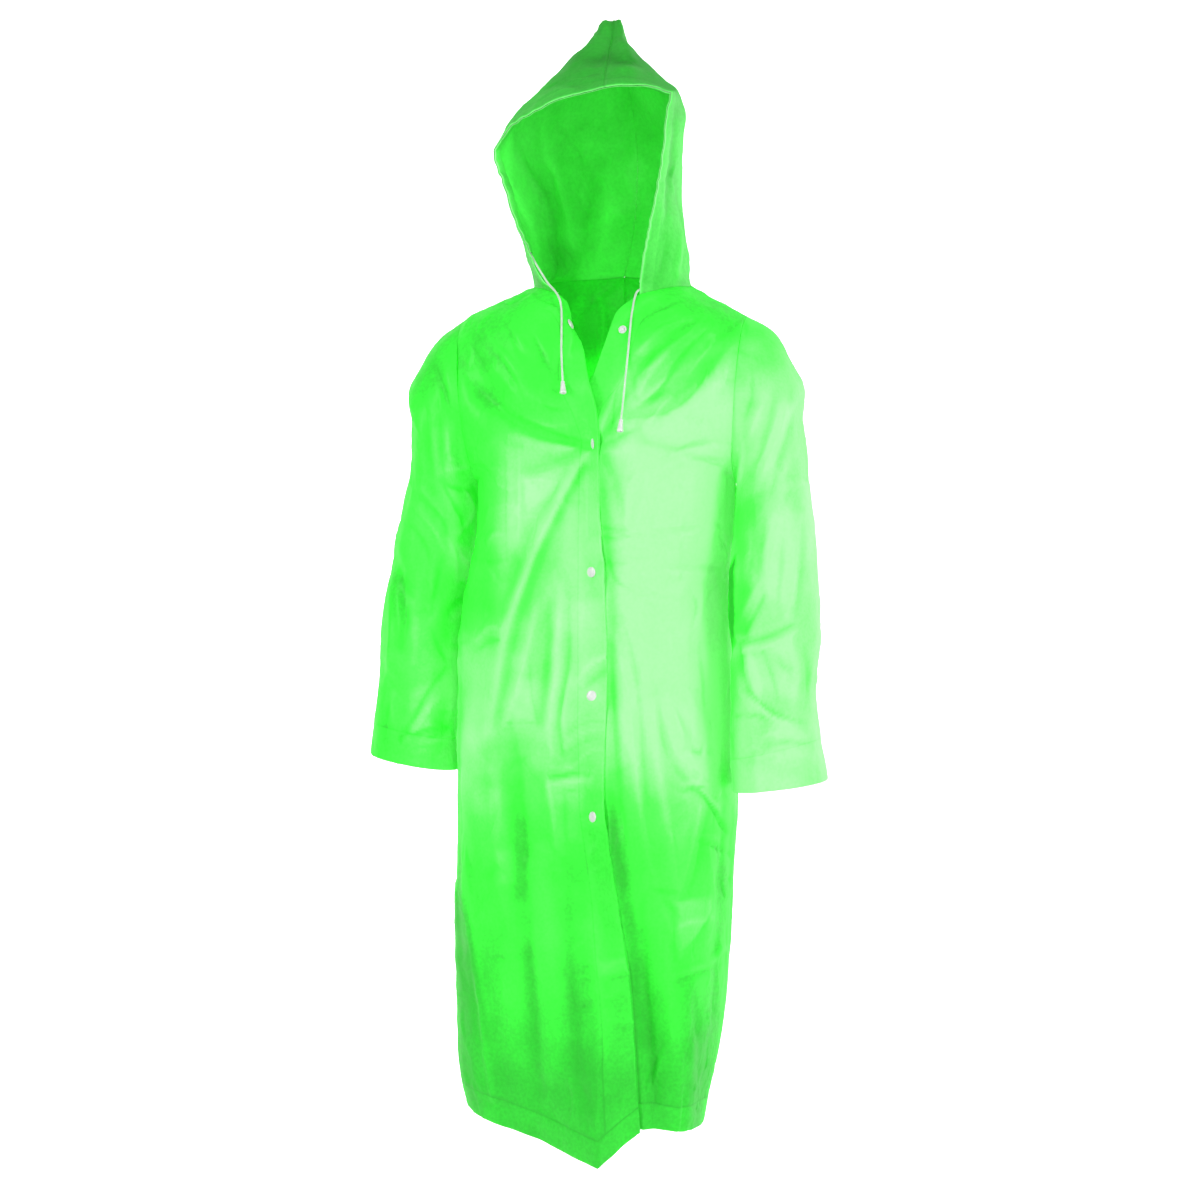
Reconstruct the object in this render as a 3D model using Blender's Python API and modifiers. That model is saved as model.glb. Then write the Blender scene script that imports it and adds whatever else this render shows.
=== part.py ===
"""Knee-length hooded raincoat of milky green film, standing open and hollow as it hangs from the shoulders.

Metres, +Z up. The front faces -Y and the wearer's right is -X. The origin is the middle of the neck
opening at shoulder height, where the wearer holds the coat up.

Every cloth piece is a loft of horizontal runs. A run is worked out from a few sizes at its station, and
the stations of a panel are rows of a short table: station 0 is the hem, 1 the armpit and 2 the shoulder
seam. Each surface is then given its wall by Solidify.
"""

import math

import bmesh
import bpy
import numpy as np
from mathutils import Matrix, Vector

# ---------------------------------------------------------------- driving dimensions (metres)
WALL = 0.0010  # cloth wall
GAP = 0.0006  # clearance between two pieces that lie together
LAY = WALL + GAP  # from one middle surface to the next, where pieces lie together
FLAT_SEAM = 0.0002  # each edge of a seam between pieces that run on into each other
BENT_SEAM = 0.0008  # each edge of a seam where the pieces meet at an angle
NECK_SEAM = 0.0022  # the hood's edge of the neck seam, which stands up from the shoulders
NECK_CLEAR = 0.0020  # the fronts' and the back's edge of the neck seam
PEAK_SEAM = 0.0021  # each edge of the seam between the halves of the hood
LAP_GAP = 0.0070  # from the right front to the left front under it, with the snap between
PLACKET = 0.035  # width of the strip inside each front edge
PLACKET_SHORT = 0.006  # the strip stops short of the panel's fold along its inner side
SNAP_INSET = 0.0175  # from the front edge to the line of snaps
HEM_DEPTH = 0.032
CUFF_DEPTH = 0.040
CASING_WIDTH = 0.020  # drawcord tunnel
CASING_LOFT = 0.0058  # the tunnel's inner wall stands this far off the hood at its middle
MOUTH_SETBACK = 0.0040  # the tunnel stops this far short of where the cord leaves it
CORD_DIAMETER = 0.0026
CORD_START = 0.0016  # each free end of the cord starts this far outside the tunnel's run
CORD_DEPTH = 0.0029  # from the hood's middle surface to the cord's centre line, in the tunnel
SNAP_CAP = 0.0125  # diameters of a snap's cap and of its socket and stud
SNAP_SOCKET = 0.0100
SNAP_GAP = 0.0012  # from the cloth to a snap part
TIP_LENGTH = 0.0150  # bell-shaped cord end
TIP_NECK = 0.0044
TIP_MOUTH = 0.0080

# neck seam: an oval round this centre, read by the angle from the front
NECK_CENTRE = (0.0104, 0.003)
NECK_HALF_WIDTH = 0.0965
NECK_FRONT = 0.105
NECK_BACK = 0.100
NECK_TILT = 0.018  # the wearer's left side of the neck is lower by this slope
HOOD_END_RIGHT = 33.0  # degrees from the front, where the hood's face edge meets the neck seam
HOOD_END_LEFT = 29.0

ARM_HALF_DEPTH = 0.092  # armhole, front to back
ARM_TOP = {-1: (-0.1720, -0.0218), 1: (0.1775, -0.0245)}  # x and z of the shoulder end of each armhole
ARM_PIT = {-1: (-0.1535, -0.2267), 1: (0.1620, -0.2234)}


def table(names, rows):
    data = np.array(rows, float)
    return {name: data[:, i] for i, name in enumerate(names.split())}


# height of the neck seam round the oval
NECK_HEIGHT = table(
    "angle z",
    [(0, -0.018), (22, -0.0105), (33, -0.0040), (60, 0.0085), (90, 0.0165), (135, 0.0360), (180, 0.0450)],
)

# front edge of the wearer's right front, which laps over. full: squareness of the run. bulge: how far a
# run stands forward of its own round. roll: degrees that the snap strip is turned forward about its inner
# side, or back where it is less than 0.
RIGHT_EDGE = table(
    "station x y z full bulge roll",
    [
        (0.00, 0.0600, -0.106, -0.9960, 2.20, 0.000, 0),
        (0.20, 0.0530, -0.124, -0.8380, 2.25, 0.000, 0),
        (0.39, 0.0320, -0.133, -0.6880, 2.30, 0.000, 36),
        (0.50, 0.0215, -0.130, -0.6000, 2.30, 0.000, 34),
        (0.67, 0.0225, -0.122, -0.4660, 2.30, 0.000, 6),
        (0.83, 0.0195, -0.119, -0.3390, 2.35, 0.000, 30),
        (0.95, 0.0135, -0.118, -0.2420, 2.40, 0.001, 54),
        (1.06, 0.0122, -0.117, -0.1800, 2.40, 0.003, 62),
        (1.20, 0.0090, -0.119, -0.1480, 2.30, 0.006, 50),
        (1.34, -0.0005, -0.118, -0.1080, 2.20, 0.010, 15),
        (1.42, -0.0060, -0.113, -0.0770, 2.15, 0.011, -25),
        (1.52, -0.0195, -0.106, -0.0440, 2.10, 0.012, -78),
        (1.60, -0.0300, -0.0943, -0.0105, 2.00, 0.013, -55),
        (1.68, -0.0422, -0.0851, -0.0040, 2.00, 0.012, 0),
        (2.00, -0.0861, 0.0030, 0.0180, 2.00, 0.000, 0),
    ],
)

# front edge of the wearer's left front, where it is clear of the lap
LEFT_EDGE = table(
    "station x y z full bulge",
    [
        (0.90, -0.0330, -0.119, -0.2600, 2.35, 0.001),
        (1.06, -0.0230, -0.113, -0.1850, 2.35, 0.003),
        (1.20, -0.0100, -0.112, -0.1440, 2.30, 0.006),
        (1.32, 0.0030, -0.111, -0.1110, 2.20, 0.009),
        (1.40, 0.0120, -0.108, -0.0850, 2.15, 0.011),
        (1.50, 0.0210, -0.104, -0.0560, 2.10, 0.012),
        (1.60, 0.0305, -0.097, -0.0280, 2.00, 0.013),
        (1.68, 0.0572, -0.0888, -0.0072, 2.00, 0.012),
        (2.00, 0.1069, 0.0030, 0.0148, 2.00, 0.000),
    ],
)

RIGHT_SEAM = table(
    "station x y z",
    [
        (0.00, -0.1570, 0.010, -0.988),
        (0.05, -0.1650, 0.010, -0.947),
        (0.12, -0.1695, 0.010, -0.894),
        (0.25, -0.1750, 0.009, -0.795),
        (0.40, -0.1795, 0.004, -0.682),
        (0.48, -0.1805, 0.000, -0.621),
        (0.56, -0.1795, -0.006, -0.560),
        (0.66, -0.1790, -0.012, -0.485),
        (0.74, -0.1773, -0.014, -0.424),
        (0.80, -0.1722, -0.014, -0.379),
        (0.86, -0.1646, -0.010, -0.333),
        (0.92, -0.1560, -0.005, -0.288),
        (1.00, -0.1535, 0.000, -0.2267),
    ],
)

LEFT_SEAM = table(
    "station x y z",
    [
        (0.00, 0.1230, 0.006, -1.008),
        (0.06, 0.1310, 0.006, -0.961),
        (0.12, 0.1410, 0.006, -0.914),
        (0.20, 0.1510, 0.008, -0.851),
        (0.36, 0.1575, 0.010, -0.726),
        (0.50, 0.1635, 0.013, -0.616),
        (0.62, 0.1605, 0.017, -0.521),
        (0.72, 0.1575, 0.019, -0.443),
        (0.83, 0.1555, 0.017, -0.357),
        (0.92, 0.1600, 0.009, -0.286),
        (1.00, 0.1620, 0.000, -0.2234),
    ],
)

# middle of the back, up to the neck seam
BACK_MIDDLE = table(
    "station x y z full bulge",
    [
        (0.00, -0.022, 0.128, -0.988, 2.20, 0.000),
        (0.25, -0.014, 0.138, -0.792, 2.30, 0.000),
        (0.50, -0.009, 0.134, -0.602, 2.30, 0.000),
        (0.75, -0.003, 0.118, -0.412, 2.30, 0.000),
        (1.00, 0.002, 0.124, -0.215, 2.40, 0.002),
        (1.24, 0.006, 0.129, -0.115, 2.30, 0.006),
        (1.46, 0.009, 0.119, -0.020, 2.20, 0.008),
        (1.60, 0.0104, 0.103, 0.045, 2.10, 0.010),
        (2.00, 0.0104, 0.003, 0.018, 2.00, 0.000),
    ],
)

# sleeves: the outermost and innermost point of each ring, its half depth and how far forward it sits
RIGHT_SLEEVE = table(
    "along outer_x outer_z inner_x inner_z half_depth middle_y full",
    [
        (0.00, -0.1735, -0.0222, -0.1572, -0.2262, ARM_HALF_DEPTH, 0.000, 2.00),
        (0.08, -0.2020, -0.0430, -0.1588, -0.2330, 0.091, 0.000, 2.00),
        (0.16, -0.2290, -0.0770, -0.1605, -0.2420, 0.089, 0.001, 2.05),
        (0.23, -0.2438, -0.1105, -0.1620, -0.2520, 0.087, 0.002, 2.10),
        (0.28, -0.2385, -0.1380, -0.1638, -0.2640, 0.085, 0.004, 2.15),
        (0.36, -0.2390, -0.1850, -0.1672, -0.2880, 0.082, 0.006, 2.20),
        (0.46, -0.2490, -0.2450, -0.1728, -0.3230, 0.080, 0.009, 2.20),
        (0.58, -0.2685, -0.3200, -0.1800, -0.3800, 0.078, 0.010, 2.20),
        (0.70, -0.2778, -0.3955, -0.1848, -0.4355, 0.075, 0.008, 2.20),
        (0.82, -0.2824, -0.4665, -0.1848, -0.4935, 0.072, 0.004, 2.20),
        (0.92, -0.2888, -0.5200, -0.1838, -0.5420, 0.070, -0.001, 2.20),
        (1.00, -0.2928, -0.5605, -0.1822, -0.5805, 0.069, -0.004, 2.15),
    ],
)

LEFT_SLEEVE = table(
    "along outer_x outer_z inner_x inner_z half_depth middle_y full",
    [
        (0.00, 0.1790, -0.0249, 0.1656, -0.2230, ARM_HALF_DEPTH, 0.000, 2.00),
        (0.08, 0.2080, -0.0440, 0.1666, -0.2310, 0.091, 0.000, 2.00),
        (0.16, 0.2350, -0.0850, 0.1660, -0.2410, 0.089, -0.001, 2.05),
        (0.23, 0.2475, -0.1172, 0.1656, -0.2520, 0.087, -0.004, 2.10),
        (0.28, 0.2452, -0.1420, 0.1646, -0.2650, 0.085, -0.008, 2.15),
        (0.36, 0.2510, -0.1900, 0.1626, -0.2900, 0.082, -0.016, 2.20),
        (0.46, 0.2560, -0.2520, 0.1616, -0.3260, 0.080, -0.026, 2.20),
        (0.58, 0.2635, -0.3280, 0.1605, -0.3830, 0.078, -0.034, 2.20),
        (0.70, 0.2665, -0.4050, 0.1632, -0.4420, 0.075, -0.040, 2.20),
        (0.82, 0.2620, -0.4745, 0.1647, -0.5055, 0.072, -0.044, 2.20),
        (0.92, 0.2685, -0.5340, 0.1677, -0.5590, 0.070, -0.046, 2.20),
        (1.00, 0.2770, -0.5840, 0.1700, -0.5980, 0.069, -0.047, 2.15),
    ],
)

# hood: back or top seam, a point on the side wall and a point on the face edge, neck to peak
HOOD_SEAM = table(
    "up x y z",
    [
        (0.00, 0.0104, 0.103, 0.045),
        (0.20, 0.0170, 0.116, 0.088),
        (0.40, 0.0220, 0.127, 0.142),
        (0.60, 0.0240, 0.124, 0.200),
        (0.74, 0.0220, 0.108, 0.248),
        (0.86, 0.0170, 0.082, 0.296),
        (0.95, 0.0110, 0.056, 0.336),
        (1.00, 0.0085, 0.038, 0.353),
    ],
)

HOOD_RIGHT = table(
    "up mid_x mid_y mid_z face_x face_y face_z",
    [
        (0.00, -0.0861, 0.003, 0.018, -0.0422, -0.0851, -0.0040),
        (0.10, -0.0825, 0.006, 0.030, -0.0670, -0.0720, 0.0120),
        (0.22, -0.0865, 0.010, 0.052, -0.0818, -0.0700, 0.0463),
        (0.34, -0.0910, 0.014, 0.088, -0.0994, -0.0680, 0.0834),
        (0.46, -0.0960, 0.018, 0.126, -0.1138, -0.0640, 0.1221),
        (0.56, -0.1020, 0.018, 0.160, -0.1241, -0.0620, 0.1532),
        (0.62, -0.1070, 0.014, 0.184, -0.1279, -0.0620, 0.1727),
        (0.68, -0.1070, 0.000, 0.212, -0.1204, -0.0670, 0.1857),
        (0.76, -0.0880, -0.014, 0.242, -0.1030, -0.0770, 0.2030),
        (0.85, -0.0600, -0.006, 0.275, -0.0730, -0.0890, 0.2155),
        (0.92, -0.0370, 0.002, 0.305, -0.0440, -0.0980, 0.2260),
        (0.97, -0.0060, 0.022, 0.346, -0.0120, -0.1090, 0.2310),
        (1.00, 0.0120, -0.036, 0.297, 0.0180, -0.1180, 0.2335),
    ],
)

HOOD_LEFT = table(
    "up mid_x mid_y mid_z face_x face_y face_z",
    [
        (0.00, 0.1069, 0.003, 0.0148, 0.0572, -0.0888, -0.0072),
        (0.10, 0.1064, 0.004, 0.030, 0.0587, -0.0900, 0.0155),
        (0.22, 0.1055, 0.004, 0.053, 0.0650, -0.0950, 0.0440),
        (0.34, 0.1000, 0.004, 0.090, 0.0725, -0.0980, 0.0745),
        (0.46, 0.0945, 0.004, 0.128, 0.0800, -0.1000, 0.1060),
        (0.56, 0.0955, 0.004, 0.163, 0.0851, -0.1000, 0.1335),
        (0.66, 0.0980, 0.000, 0.192, 0.0898, -0.1000, 0.1687),
        (0.75, 0.1015, -0.018, 0.219, 0.0922, -0.1010, 0.1960),
        (0.84, 0.0915, -0.022, 0.251, 0.0994, -0.1100, 0.2248),
        (0.89, 0.0760, -0.012, 0.268, 0.0870, -0.1170, 0.2300),
        (0.94, 0.0500, 0.000, 0.297, 0.0610, -0.1210, 0.2350),
        (0.98, 0.0220, 0.022, 0.346, 0.0370, -0.1210, 0.2355),
        (1.00, 0.0120, -0.036, 0.297, 0.0180, -0.1180, 0.2335),
    ],
)

# largest folds, each along a three-point path seen from the front or the back. depth: out of the cloth
# (+) or into it (-) at each point of the path. drop: how far the cloth hangs lower on it.
# the front's lowest corner: the hem runs down to it in a line from each side, and it stands forward
HEM_POINT_X = 0.016
HEM_POINT_REACH = (0.215, 0.046)  # to the side seam and to the front edge
HEM_POINT_DROP = 0.037
HEM_POINT_FORWARD = 0.042
HEM_POINT_FORWARD_REACH = (0.085, 0.046)
HEM_POINT_FADE = 0.36  # station where it has died out
SIDE_SEAM_FADE = 0.075  # the back follows the front at the side seam over this width
FOLD_COLUMNS = "x0 z0 x1 z1 x2 z2 depth0 depth1 depth2 width0 width1 width2 drop"
RIGHT_FRONT_FOLDS = {
    "side_ridge": (-0.150, -1.020, -0.166, -0.860, -0.176, -0.640, 0.012, 0.014, 0.000, 0.045, 0.045, 0.035, 0.000),
    "breast_trough": (-0.150, -0.080, -0.090, -0.155, -0.010, -0.186, -0.004, -0.011, 0.000, 0.022, 0.026, 0.016, 0.0),
    "snap_ridge": (-0.012, -0.205, -0.070, -0.340, -0.115, -0.530, 0.002, 0.009, 0.002, 0.014, 0.022, 0.024, 0.0),
    "waist_fold": (-0.030, -0.420, -0.050, -0.560, -0.060, -0.740, 0.000, -0.009, 0.000, 0.022, 0.028, 0.030, 0.0),
}
LEFT_FRONT_FOLDS = {
    "lap_trough": (0.042, -0.640, 0.066, -0.830, 0.082, -1.010, 0.000, -0.012, -0.012, 0.016, 0.022, 0.024, 0.0),
    "skirt_ridge": (0.100, -0.640, 0.108, -0.800, 0.106, -1.010, 0.000, 0.009, 0.006, 0.024, 0.028, 0.026, 0.0),
    "breast_trough": (0.150, -0.065, 0.100, -0.120, 0.045, -0.160, -0.004, -0.012, 0.000, 0.022, 0.026, 0.018, 0.0),
    "waist_trough": (0.075, -0.330, 0.088, -0.450, 0.080, -0.600, 0.000, -0.007, 0.000, 0.022, 0.028, 0.024, 0.0),
}
BACK_FOLDS = {
    "right_pleat": (-0.128, -0.300, -0.122, -0.640, -0.112, -1.010, 0.000, 0.016, 0.016, 0.020, 0.026, 0.028, 0.0),
    "right_trough": (-0.080, -0.260, -0.078, -0.620, -0.070, -1.010, 0.000, -0.013, -0.012, 0.020, 0.026, 0.028, 0.0),
    "middle_pleat": (-0.024, -0.180, -0.030, -0.560, -0.022, -1.010, 0.000, 0.012, 0.017, 0.022, 0.028, 0.030, 0.0),
    "left_trough": (0.040, -0.250, 0.036, -0.620, 0.026, -1.010, 0.000, -0.013, -0.012, 0.020, 0.026, 0.028, 0.0),
    "left_pleat": (0.096, -0.300, 0.092, -0.640, 0.078, -1.010, 0.000, 0.015, 0.015, 0.020, 0.026, 0.026, 0.0),
}
SLEEVE_FOLDS_RIGHT = {
    "elbow_front": (-0.262, -0.300, -0.235, -0.360, -0.195, -0.385, 0.000, -0.009, 0.000, 0.012, 0.020, 0.014, 0.0),
    "cuff_front": (-0.275, -0.440, -0.240, -0.490, -0.200, -0.500, 0.000, -0.008, 0.000, 0.012, 0.018, 0.014, 0.0),
}
SLEEVE_FOLDS_LEFT = {
    "elbow_front": (0.255, -0.360, 0.225, -0.395, 0.185, -0.400, 0.000, -0.009, 0.000, 0.012, 0.020, 0.014, 0.0),
    "cuff_front": (0.255, -0.470, 0.225, -0.455, 0.190, -0.425, 0.000, -0.008, 0.000, 0.012, 0.018, 0.014, 0.0),
}
SLEEVE_FOLDS_BACK = {
    "right_elbow": (-0.262, -0.330, -0.225, -0.310, -0.190, -0.320, 0.000, 0.009, 0.000, 0.012, 0.020, 0.014, 0.0),
    "left_elbow": (0.255, -0.330, 0.225, -0.310, 0.185, -0.320, 0.000, 0.009, 0.000, 0.012, 0.020, 0.014, 0.0),
}

# stations of the runs. The armhole rows are shared by the fronts, the back and the sleeves.
ARM_STATIONS = [1.00, 1.12, 1.24, 1.35, 1.45, 1.60, 1.68, 1.79, 1.90, 2.00]
SKIRT_STEPS = 14
FRONT_STEPS = 9  # runs' steps from the placket to the side
BACK_STEPS = 9
SLEEVE_STATIONS = [0.0, 0.08, 0.16, 0.23, 0.28, 0.36, 0.46, 0.55, 0.64, 0.73, 0.82, None, 1.0]
HOOD_STATIONS = [0.0, 0.10, 0.22, 0.34, 0.46, 0.56, 0.62, 0.68, 0.75, 0.80, 0.84, 0.89, 0.935, 0.97, 1.0]
HOOD_STEPS = 6

# free ends of the drawcord, from just outside the mouth of the tunnel to the cord end
CORD_RIGHT = table(
    "x y z",
    [
        (-0.0708, -0.0698, 0.0332),
        (-0.0636, -0.0765, 0.0225),
        (-0.0552, -0.0812, 0.0100),
        (-0.0440, -0.0897, -0.0024),
        (-0.0368, -0.0985, -0.0160),
        (-0.0340, -0.1065, -0.0350),
        (-0.0329, -0.1135, -0.0560),
        (-0.0318, -0.1200, -0.0800),
        (-0.0290, -0.1274, -0.1130),
    ],
)
CORD_LEFT = table(
    "x y z",
    [
        (0.0572, -0.0852, -0.0004),
        (0.0540, -0.0893, -0.0040),
        (0.0522, -0.0942, -0.0105),
        (0.0507, -0.0992, -0.0215),
        (0.0492, -0.1074, -0.0400),
        (0.0470, -0.1170, -0.0800),
        (0.0444, -0.1264, -0.1200),
        (0.0412, -0.1318, -0.1590),
    ],
)
# the hood's row where the tunnel ends on each side, and the cord comes out
MOUTH = {"right": 2, "left": 1}

# stations of the snaps on the front edge: the open neck pair and the four fastened below it
NECK_SNAP = 1.535
LAP_RIDGE = 0.040  # the left front falls back to its own round over this width beside the lap
FASTENED = [1.054, 0.835, 0.650, 0.470]


# ---------------------------------------------------------------- curves
def monotone(keys, values, at):
    """A smooth curve through the values that never swings past them."""
    at = np.clip(np.asarray(at, float), keys[0], keys[-1])
    step = np.diff(keys)
    rise = np.diff(values) / step
    slope = np.zeros(len(keys))
    for i in range(1, len(keys) - 1):
        if rise[i - 1] * rise[i] > 0:
            before = 2 * step[i] + step[i - 1]
            after = step[i] + 2 * step[i - 1]
            slope[i] = (before + after) / (before / rise[i - 1] + after / rise[i])
    slope[0], slope[-1] = rise[0], rise[-1]
    i = np.clip(np.searchsorted(keys, at, side="right") - 1, 0, len(step) - 1)
    s = (at - keys[i]) / step[i]
    return (
        values[i] * (1 + 2 * s) * (1 - s) ** 2
        + slope[i] * step[i] * s * (1 - s) ** 2
        + values[i + 1] * s * s * (3 - 2 * s)
        + slope[i + 1] * step[i] * s * s * (s - 1)
    )


def read(rows, key, names, at):
    return np.stack([monotone(rows[key], rows[name], at) for name in names.split()], -1)


def ease(x):
    x = np.clip(x, 0.0, 1.0)
    return x * x * (3 - 2 * x)


def neck(side, angle):
    """A point on the neck seam. side is -1 for the wearer's right. angle runs from the front, 0, to the back, 180."""
    a = math.radians(angle)
    reach = NECK_FRONT if angle < 90 else NECK_BACK
    x = NECK_CENTRE[0] + side * NECK_HALF_WIDTH * math.sin(a)
    y = NECK_CENTRE[1] - reach * math.cos(a)
    z = float(monotone(NECK_HEIGHT["angle"], NECK_HEIGHT["z"], angle))
    return np.array([x, y, z - NECK_TILT * (x - NECK_CENTRE[0])])


def armhole(side, station, front):
    """A point on the armhole oval. Station 1 is the armpit and 2 the shoulder seam."""
    a = math.pi * (2 - station)
    top = np.array([ARM_TOP[side][0], 0.0, ARM_TOP[side][1]])
    bottom = np.array([ARM_PIT[side][0], 0.0, ARM_PIT[side][1]])
    point = (top + bottom) / 2 + (top - bottom) / 2 * math.cos(a)
    point[1] += (-1 if front else 1) * ARM_HALF_DEPTH * math.sin(a)
    return point


def side_point(side, station, front):
    if station > 1:
        return armhole(side, station, front)
    rows = RIGHT_SEAM if side < 0 else LEFT_SEAM
    return read(rows, "station", "x y z", station)


def run(edge, side, full, bulge, front):
    """A rounded run from an edge point to a side point, fine enough to measure."""
    a = np.linspace(0, math.pi / 2, 61)
    points = np.empty((61, 3))
    points[:, 0] = edge[0] + (side[0] - edge[0]) * np.sin(a) ** (2 / full)
    points[:, 1] = side[1] + (edge[1] - side[1]) * np.cos(a) ** (2 / full)
    points[:, 2] = 0
    share = lengths(points) / lengths(points)[-1]
    points[:, 2] = edge[2] + (side[2] - edge[2]) * share
    points[:, 1] += (-bulge if front else bulge) * np.sin(math.pi * share)
    return points


def lengths(points):
    return np.concatenate([[0], np.cumsum(np.linalg.norm(np.diff(points, axis=0), axis=1))])


def at_lengths(points, wanted):
    total = lengths(points)
    return np.stack([np.interp(wanted, total, points[:, i]) for i in range(3)], -1)


def columns(points, first, steps):
    """Points of a run at the given first lengths, then evenly to its end."""
    end = lengths(points)[-1]
    wanted = list(first) + list(np.linspace(first[-1], end, steps + 1)[1:])
    return at_lengths(points, wanted)


# ---------------------------------------------------------------- panels
SNAP_FLAT = 0.0072  # the cloth runs flat this far to each side of the snap line
FIRST = [0.0, PLACKET_SHORT, SNAP_INSET - SNAP_FLAT, SNAP_INSET + SNAP_FLAT, PLACKET - PLACKET_SHORT, PLACKET]


def right_edge(station):
    if station >= 1.68:
        return neck(-1, HOOD_END_RIGHT + (90 - HOOD_END_RIGHT) * (station - 1.68) / 0.32)
    return read(RIGHT_EDGE, "station", "x y z", station)


def left_edge(station):
    if station >= 1.68:
        return neck(1, HOOD_END_LEFT + (90 - HOOD_END_LEFT) * (station - 1.68) / 0.32)
    return read(LEFT_EDGE, "station", "x y z", station)


def right_run(station):
    full, bulge = read(RIGHT_EDGE, "station", "full bulge", station)
    edge = right_edge(station)
    edge[0] += FIRST[3] * (1 - math.cos(roll_at(station)))
    return run(edge, side_point(-1, station, True), full, bulge, True)


def roll_at(station):
    return math.radians(float(monotone(RIGHT_EDGE["station"], RIGHT_EDGE["roll"], station)))


def rolled(row, turn):
    """The row with its snap strip, the first three columns, turned about the fourth one."""
    moved = row.copy()
    for i in (0, 1, 2):
        x, y = row[i, :2] - row[3, :2]
        moved[i, 0] = row[3, 0] + x * math.cos(turn) + y * math.sin(turn)
        moved[i, 1] = row[3, 1] + y * math.cos(turn) - x * math.sin(turn)
    return moved


def right_row(station, steps=FRONT_STEPS):
    return rolled(columns(right_run(station), FIRST, steps), roll_at(station))


def left_row(station, steps=FRONT_STEPS):
    """Under the lap the left front follows the right one. Above it, it has an edge of its own."""
    under = 1 - ease((station - 1.12) / 0.24)
    side = side_point(1, station, True)
    rows = []
    if under > 0:
        full, bulge = read(RIGHT_EDGE, "station", "full bulge", station)
        turn = roll_at(station)
        flat = at_lengths(right_run(station), FIRST)
        over = rolled(flat, turn)
        for i, part in enumerate((turn, turn, turn, turn / 2, 0.0, 0.0)):
            over[i, 0] += LAP_GAP * math.sin(part) / math.cos(turn / 2 if i == 3 else 0.0)
            over[i, 1] += LAP_GAP * math.cos(part) / math.cos(turn / 2 if i == 3 else 0.0)
        flat[0, 1] += LAP_GAP
        main = columns(run(flat[0], side, full, bulge, True), [0.0], steps)
        main += (over[0] - main[0]) * (np.clip(1 - lengths(main) / LAP_RIDGE, 0, 1) ** 1.3)[:, None]
        rows.append(np.vstack([over[:0:-1], main]))
    if under < 1:
        full, bulge = read(LEFT_EDGE, "station", "full bulge", station)
        rows.append(columns(run(left_edge(station), side, full, bulge, True), FIRST, steps))
    if len(rows) == 1:
        return rows[0]
    return rows[0] * under + rows[1] * (1 - under)


def back_row(side, station, steps=BACK_STEPS):
    full, bulge = read(BACK_MIDDLE, "station", "full bulge", station)
    if station > 1.60:
        middle = neck(side, 180 - 90 * (station - 1.60) / 0.40)
    else:
        middle = read(BACK_MIDDLE, "station", "x y z", station)
    points = run(middle, side_point(side, station, False), full, bulge, False)
    return columns(points, [0.0], steps)


def sleeve_ring(rows, along, angles):
    """A closed ring of a sleeve. Angle 0 is the outermost point and 90 the front."""
    ox, oz, ix, iz, half, mid, full = read(
        rows, "along", "outer_x outer_z inner_x inner_z half_depth middle_y full", along
    )
    outer, inner = np.array([ox, mid, oz]), np.array([ix, mid, iz])
    c, s = np.cos(angles), np.sin(angles)
    c = np.sign(c) * np.abs(c) ** (2 / full)
    s = np.sign(s) * np.abs(s) ** (2 / full)
    points = (outer + inner) / 2 + np.outer(c, (outer - inner) / 2)
    points[:, 1] -= s * half
    return points


def hood_row(side, up, steps=HOOD_STEPS):
    """From the hood's seam at its middle round the side wall to the face edge, closer there for the tunnel."""
    rows = HOOD_RIGHT if side < 0 else HOOD_LEFT
    seam = read(HOOD_SEAM, "up", "x y z", up)
    data = read(rows, "up", "mid_x mid_y mid_z face_x face_y face_z", up)
    mid, face = data[:3], data[3:]
    one, two = np.linalg.norm(mid - seam), np.linalg.norm(face - mid)
    # at the back the cloth leaves the seam sideways, and near the peak it follows its own slope
    round_back = 1 - ease((up - 0.55) / 0.35)
    leave = np.array([side * one * 1.15, 0.0, mid[2] - seam[2]]) * round_back + (mid - seam) * (1 - round_back)
    through = (face - seam) / np.linalg.norm(face - seam)
    arrive = (face - mid) + (face - mid - through * two) * 0.5
    s = np.linspace(0, 1, 31)[:, None]

    def piece(p, q, tp, tq):
        return (
            p * (1 + 2 * s) * (1 - s) ** 2
            + tp * s * (1 - s) ** 2
            + q * s * s * (3 - 2 * s)
            + tq * s * s * (s - 1)
        )

    points = np.vstack([piece(seam, mid, leave, through * one), piece(mid, face, through * two, arrive)[1:]])
    if up < 0.2:
        end = HOOD_END_RIGHT if side < 0 else HOOD_END_LEFT
        ring = np.array([neck(side, a) for a in np.linspace(180, end, 61)])
        points = ring * (1 - ease(up / 0.2)) + points * ease(up / 0.2)
    total = lengths(points)[-1]
    near = [total - CASING_WIDTH, total - CASING_WIDTH / 2, total]
    wanted = list(np.linspace(0, near[0], steps + 1)) + near[1:]
    return at_lengths(points, wanted)


def grid_normals(grid, outward_from):
    """Unit normals of a grid of points, pointing away from an axis point at each row's height."""
    along = np.gradient(grid, axis=1)
    up = np.gradient(grid, axis=0)
    normal = np.cross(along, up)
    size = np.linalg.norm(normal, axis=2, keepdims=True)
    normal = normal / np.maximum(size, 1e-12)
    away = grid - np.asarray(outward_from)
    facing = (normal * away).sum(axis=2)
    return normal * (1 if np.median(facing) > 0 else -1)


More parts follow.
